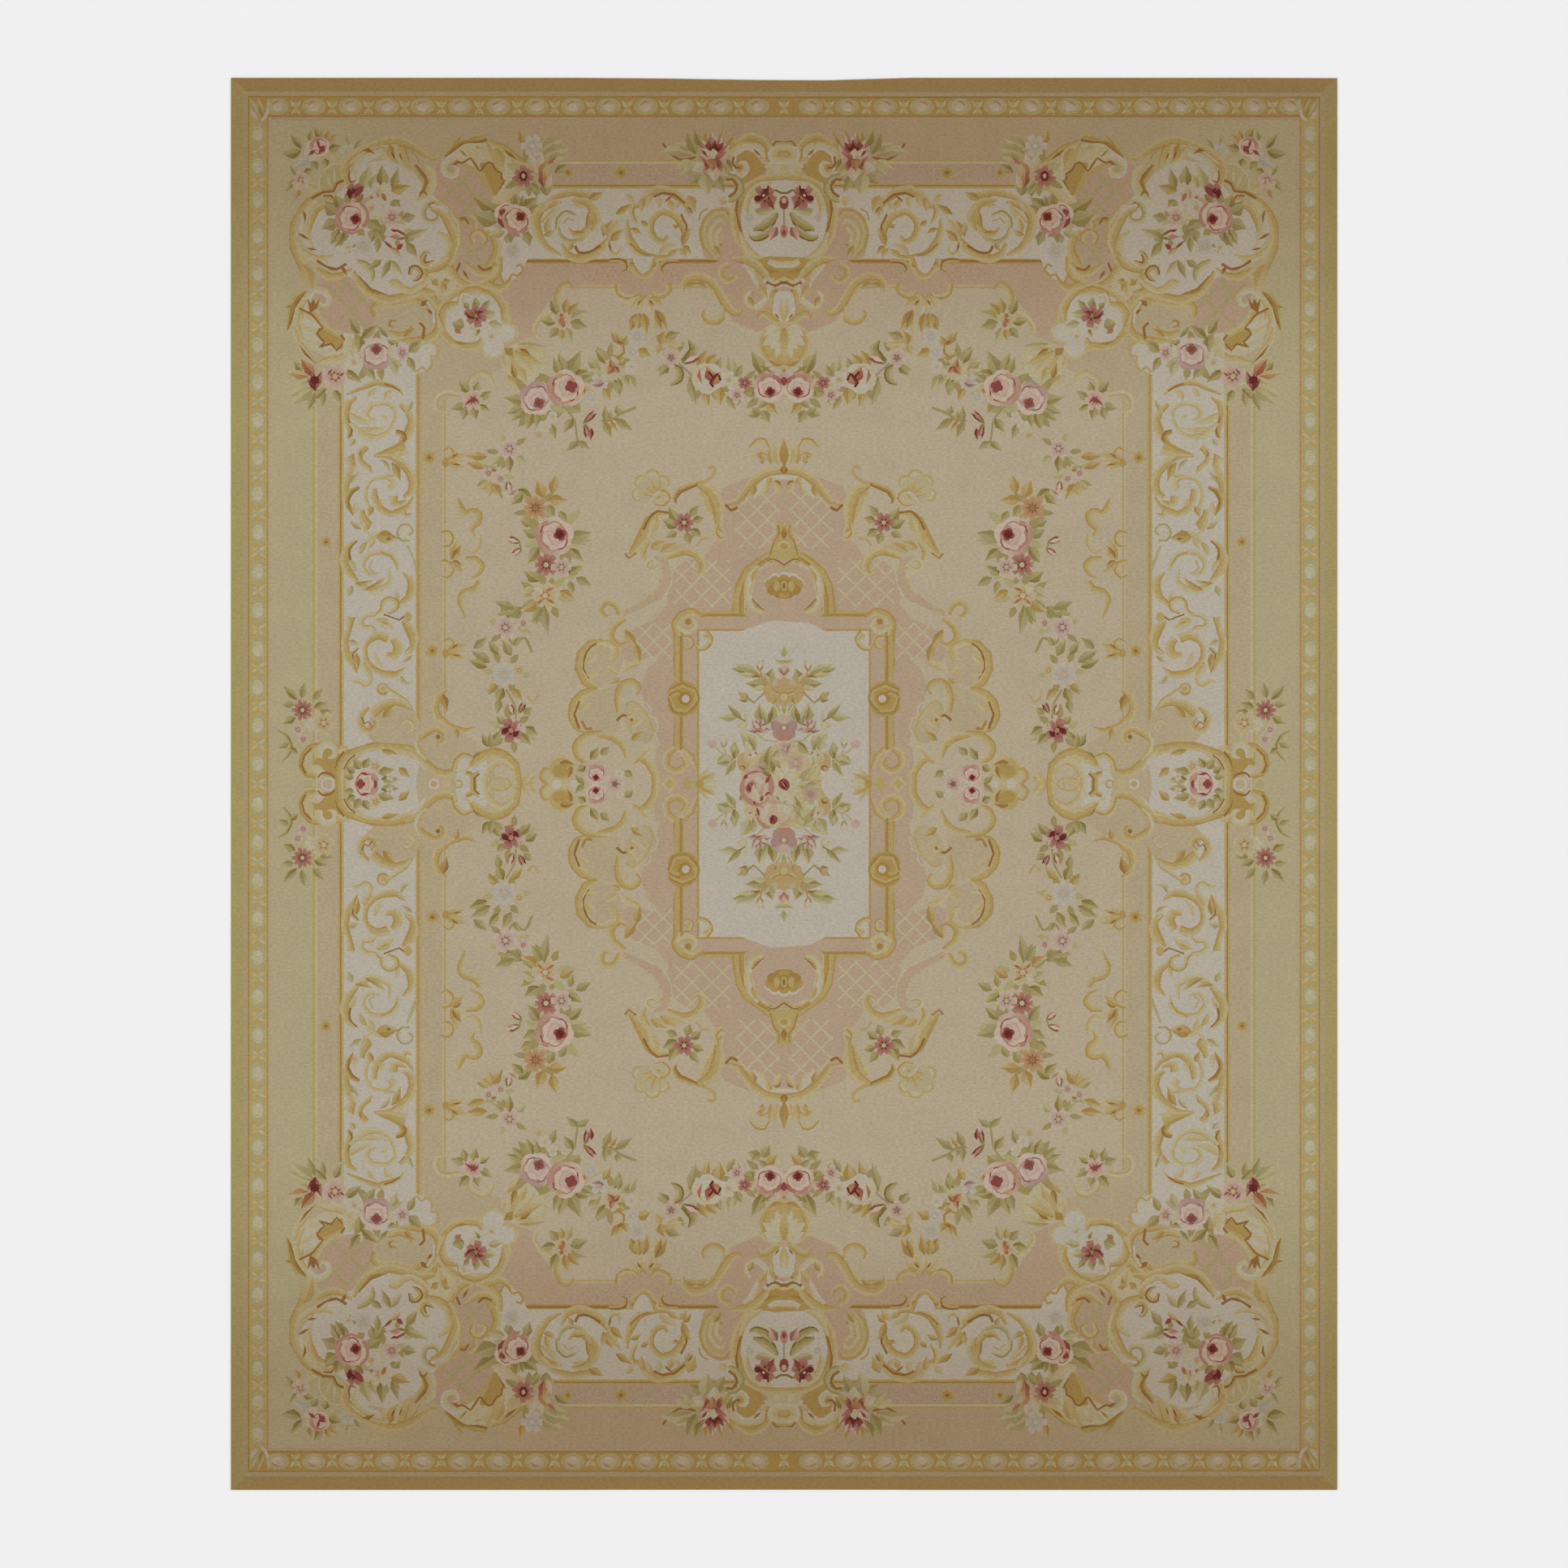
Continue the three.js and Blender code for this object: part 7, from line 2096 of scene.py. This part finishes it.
@dataclass(frozen=True)
class TapestryWool:
    """Wool tapestry weave: dyed weft packed over hidden warps, so fine ribs run along the rug.

    It gives the eye a dry, slightly mottled cloth whose shades drift from one dye lot to the next.
    """

    rib_mm: float = 2.6
    grain: float = 0.15
    drift: float = 0.06
    weft_mm: float = 8.0
    mottle_mm: float = 60.0
    lot_mm: float = 130.0
    relief: float = 0.0006
    # colour multiplier at both ends of the rug: the weave is drawn darker and warmer towards both ends
    end_tint: Colour = (0.77, 0.71, 0.64)
    ends_from: float = 0.75
    ends_full: float = 1.42

    def build(self) -> bpy.types.Material:
        """Make the material."""
        nodes = NodeTree("wool_tapestry_weave")
        place = nodes.add("ShaderNodeTexCoord").outputs["Object"]

        def noise(scale: tuple[float, float], size_mm: float, detail: float) -> bpy.types.NodeSocket:
            stretched = nodes.add("ShaderNodeMapping", Vector=place, Scale=(*scale, 1.0)).outputs[0]
            return nodes.add("ShaderNodeTexNoise", {"noise_dimensions": "2D"}, Vector=stretched,
                             Scale=1000 / size_mm, Detail=detail, Roughness=0.6).outputs["Fac"]

        weft = noise((1.0, 2.0), self.weft_mm, 3.0)
        mottle = noise((1.0, 1.0), self.mottle_mm, 2.0)
        lots = noise((0.35, 1.6), self.lot_mm, 1.0)
        shade = 1.0
        for value, amount in ((weft, self.grain * 3.2), (mottle, self.drift * 1.6), (lots, self.drift)):
            step = nodes.add("ShaderNodeMath", {"operation": "MULTIPLY_ADD"}, _0=value, _1=amount,
                             _2=1 - amount / 2)
            shade = nodes.maths("MULTIPLY", step.outputs[0], shade)
        # darker and warmer towards both ends of the rug, blending in from ends_from to ends_full metres out
        # from the middle
        along = nodes.add("ShaderNodeSeparateXYZ", Vector=place).outputs["Y"]
        outward = nodes.maths("ABSOLUTE", along)
        ends = nodes.add("ShaderNodeMapRange", {"interpolation_type": "SMOOTHSTEP"}, Value=outward,
                         From_Min=self.ends_from, From_Max=self.ends_full, To_Min=0.0, To_Max=1.0).outputs[0]
        end_darkening = nodes.add("ShaderNodeVectorMath", {"operation": "MULTIPLY_ADD"}, _0=ends,
                          _1=tuple(level - 1 for level in self.end_tint), _2=(1, 1, 1)).outputs[0]
        dye = nodes.add("ShaderNodeAttribute", {"attribute_name": "wool"}).outputs["Color"]
        dyed = nodes.add("ShaderNodeVectorMath", {"operation": "MULTIPLY"}, _0=dye, _1=end_darkening).outputs[0]
        toned = nodes.add("ShaderNodeVectorMath", {"operation": "SCALE"}, _0=dyed, Scale=shade)
        ribs = nodes.add("ShaderNodeTexWave", {"bands_direction": "X", "wave_profile": "SIN"}, Vector=place,
                         Scale=math.tau * 1000 / (20 * self.rib_mm)).outputs["Fac"]
        height = nodes.maths("ADD", nodes.maths("MULTIPLY", ribs, 0.35), weft)
        bump = nodes.add("ShaderNodeBump", Strength=0.5, Distance=self.relief, Height=height).outputs[0]
        skin = nodes.add("ShaderNodeBsdfPrincipled", Base_Color=toned.outputs[0], Roughness=0.95, Normal=bump,
                         Specular_IOR_Level=0.15, Sheen_Weight=0.08, Sheen_Roughness=0.6)
        nodes.add("ShaderNodeOutputMaterial", Surface=skin.outputs[0])
        return nodes.material


class RugSheet:
    """The rug itself, one flat sheet of tapestry weave."""

    FLAT = (2.39, 3.05)

    def build(self, floor: bpy.types.Object) -> bpy.types.Object:
        """Weave the rug and lay it on the floor.

        Args:
            floor: What it lies on; not used.

        Returns:
            The rug's object.
        """
        mesh = Loom(*draw_cartoons(), Outline()).weave()
        rug = bpy.data.objects.new("rug_sheet", mesh)
        bpy.context.collection.objects.link(rug)
        mesh.materials.append(TapestryWool().build())
        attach(rug, "root")
        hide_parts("rug")
        LOG.info("rug_sheet: %d faces", len(mesh.polygons))
        return rug


@dataclass(frozen=True)
class Studio:
    """Pale floor, soft even light from overhead and a camera straight above the rug."""

    floor_size: float = 40.0
    floor_gap: float = 0.0005
    view_width: float = 3.388
    lens: float = 110.0
    sky: float = 0.55
    sun: float = 1.45
    sun_spread: float = 40.0
    sun_tilt: tuple[float, float] = (28.0, -22.0)

    def floor(self) -> bpy.types.Object:
        """Lay the floor, painted a matt near-white."""
        nodes = NodeTree("matt_white_floor")
        cloud = nodes.add("ShaderNodeTexNoise", {"noise_dimensions": "2D"}, Scale=0.7, Detail=2.0)
        tone = nodes.add("ShaderNodeMapRange", Value=cloud.outputs["Fac"], To_Min=0.93,
                         To_Max=0.95).outputs[0]
        grey = nodes.add("ShaderNodeCombineColor", Red=tone, Green=tone, Blue=tone)
        paint = nodes.add("ShaderNodeBsdfDiffuse", Color=grey.outputs[0])
        nodes.add("ShaderNodeOutputMaterial", Surface=paint.outputs[0])
        mesh = bpy.data.meshes.new("floor")
        half = self.floor_size / 2
        corners = [(-half, -half, 0), (half, -half, 0), (half, half, 0), (-half, half, 0)]
        mesh.from_pydata(corners, [], [(0, 1, 2, 3)])
        mesh.materials.append(nodes.material)
        floor = bpy.data.objects.new("floor", mesh)
        floor.location.z = -self.floor_gap
        bpy.context.collection.objects.link(floor)
        return floor

    def light(self) -> None:
        """Set the sky's soft fill and one wide soft lamp."""
        scene = bpy.context.scene
        scene.world = bpy.data.worlds.new("studio")
        scene.world.use_nodes = True
        sky = scene.world.node_tree.nodes["Background"].inputs
        sky["Color"].default_value, sky["Strength"].default_value = (1, 1, 1, 1), self.sky
        lamp = bpy.data.lights.new("overhead", "SUN")
        lamp.energy, lamp.angle = self.sun, math.radians(self.sun_spread)
        sun = bpy.data.objects.new("overhead", lamp)
        sun.rotation_euler = (*(math.radians(tilt) for tilt in self.sun_tilt), 0)
        bpy.context.collection.objects.link(sun)
        scene.view_settings.view_transform = "Standard"

    def camera(self) -> None:
        """Hang the camera straight above the middle of the rug."""
        data = bpy.data.cameras.new("camera")
        data.lens = self.lens
        camera = bpy.data.objects.new("camera", data)
        camera.location = (0, 0, self.view_width * self.lens / data.sensor_width)
        bpy.context.collection.objects.link(camera)
        bpy.context.scene.camera = camera


def main() -> None:
    """Build the studio and the rug."""
    logging.basicConfig(level=logging.INFO, format="%(name)s %(message)s")
    studio = Studio()
    studio.camera()
    studio.light()
    floor = studio.floor()
    RugSheet().build(floor)


if __name__ == "__main__":
    main()
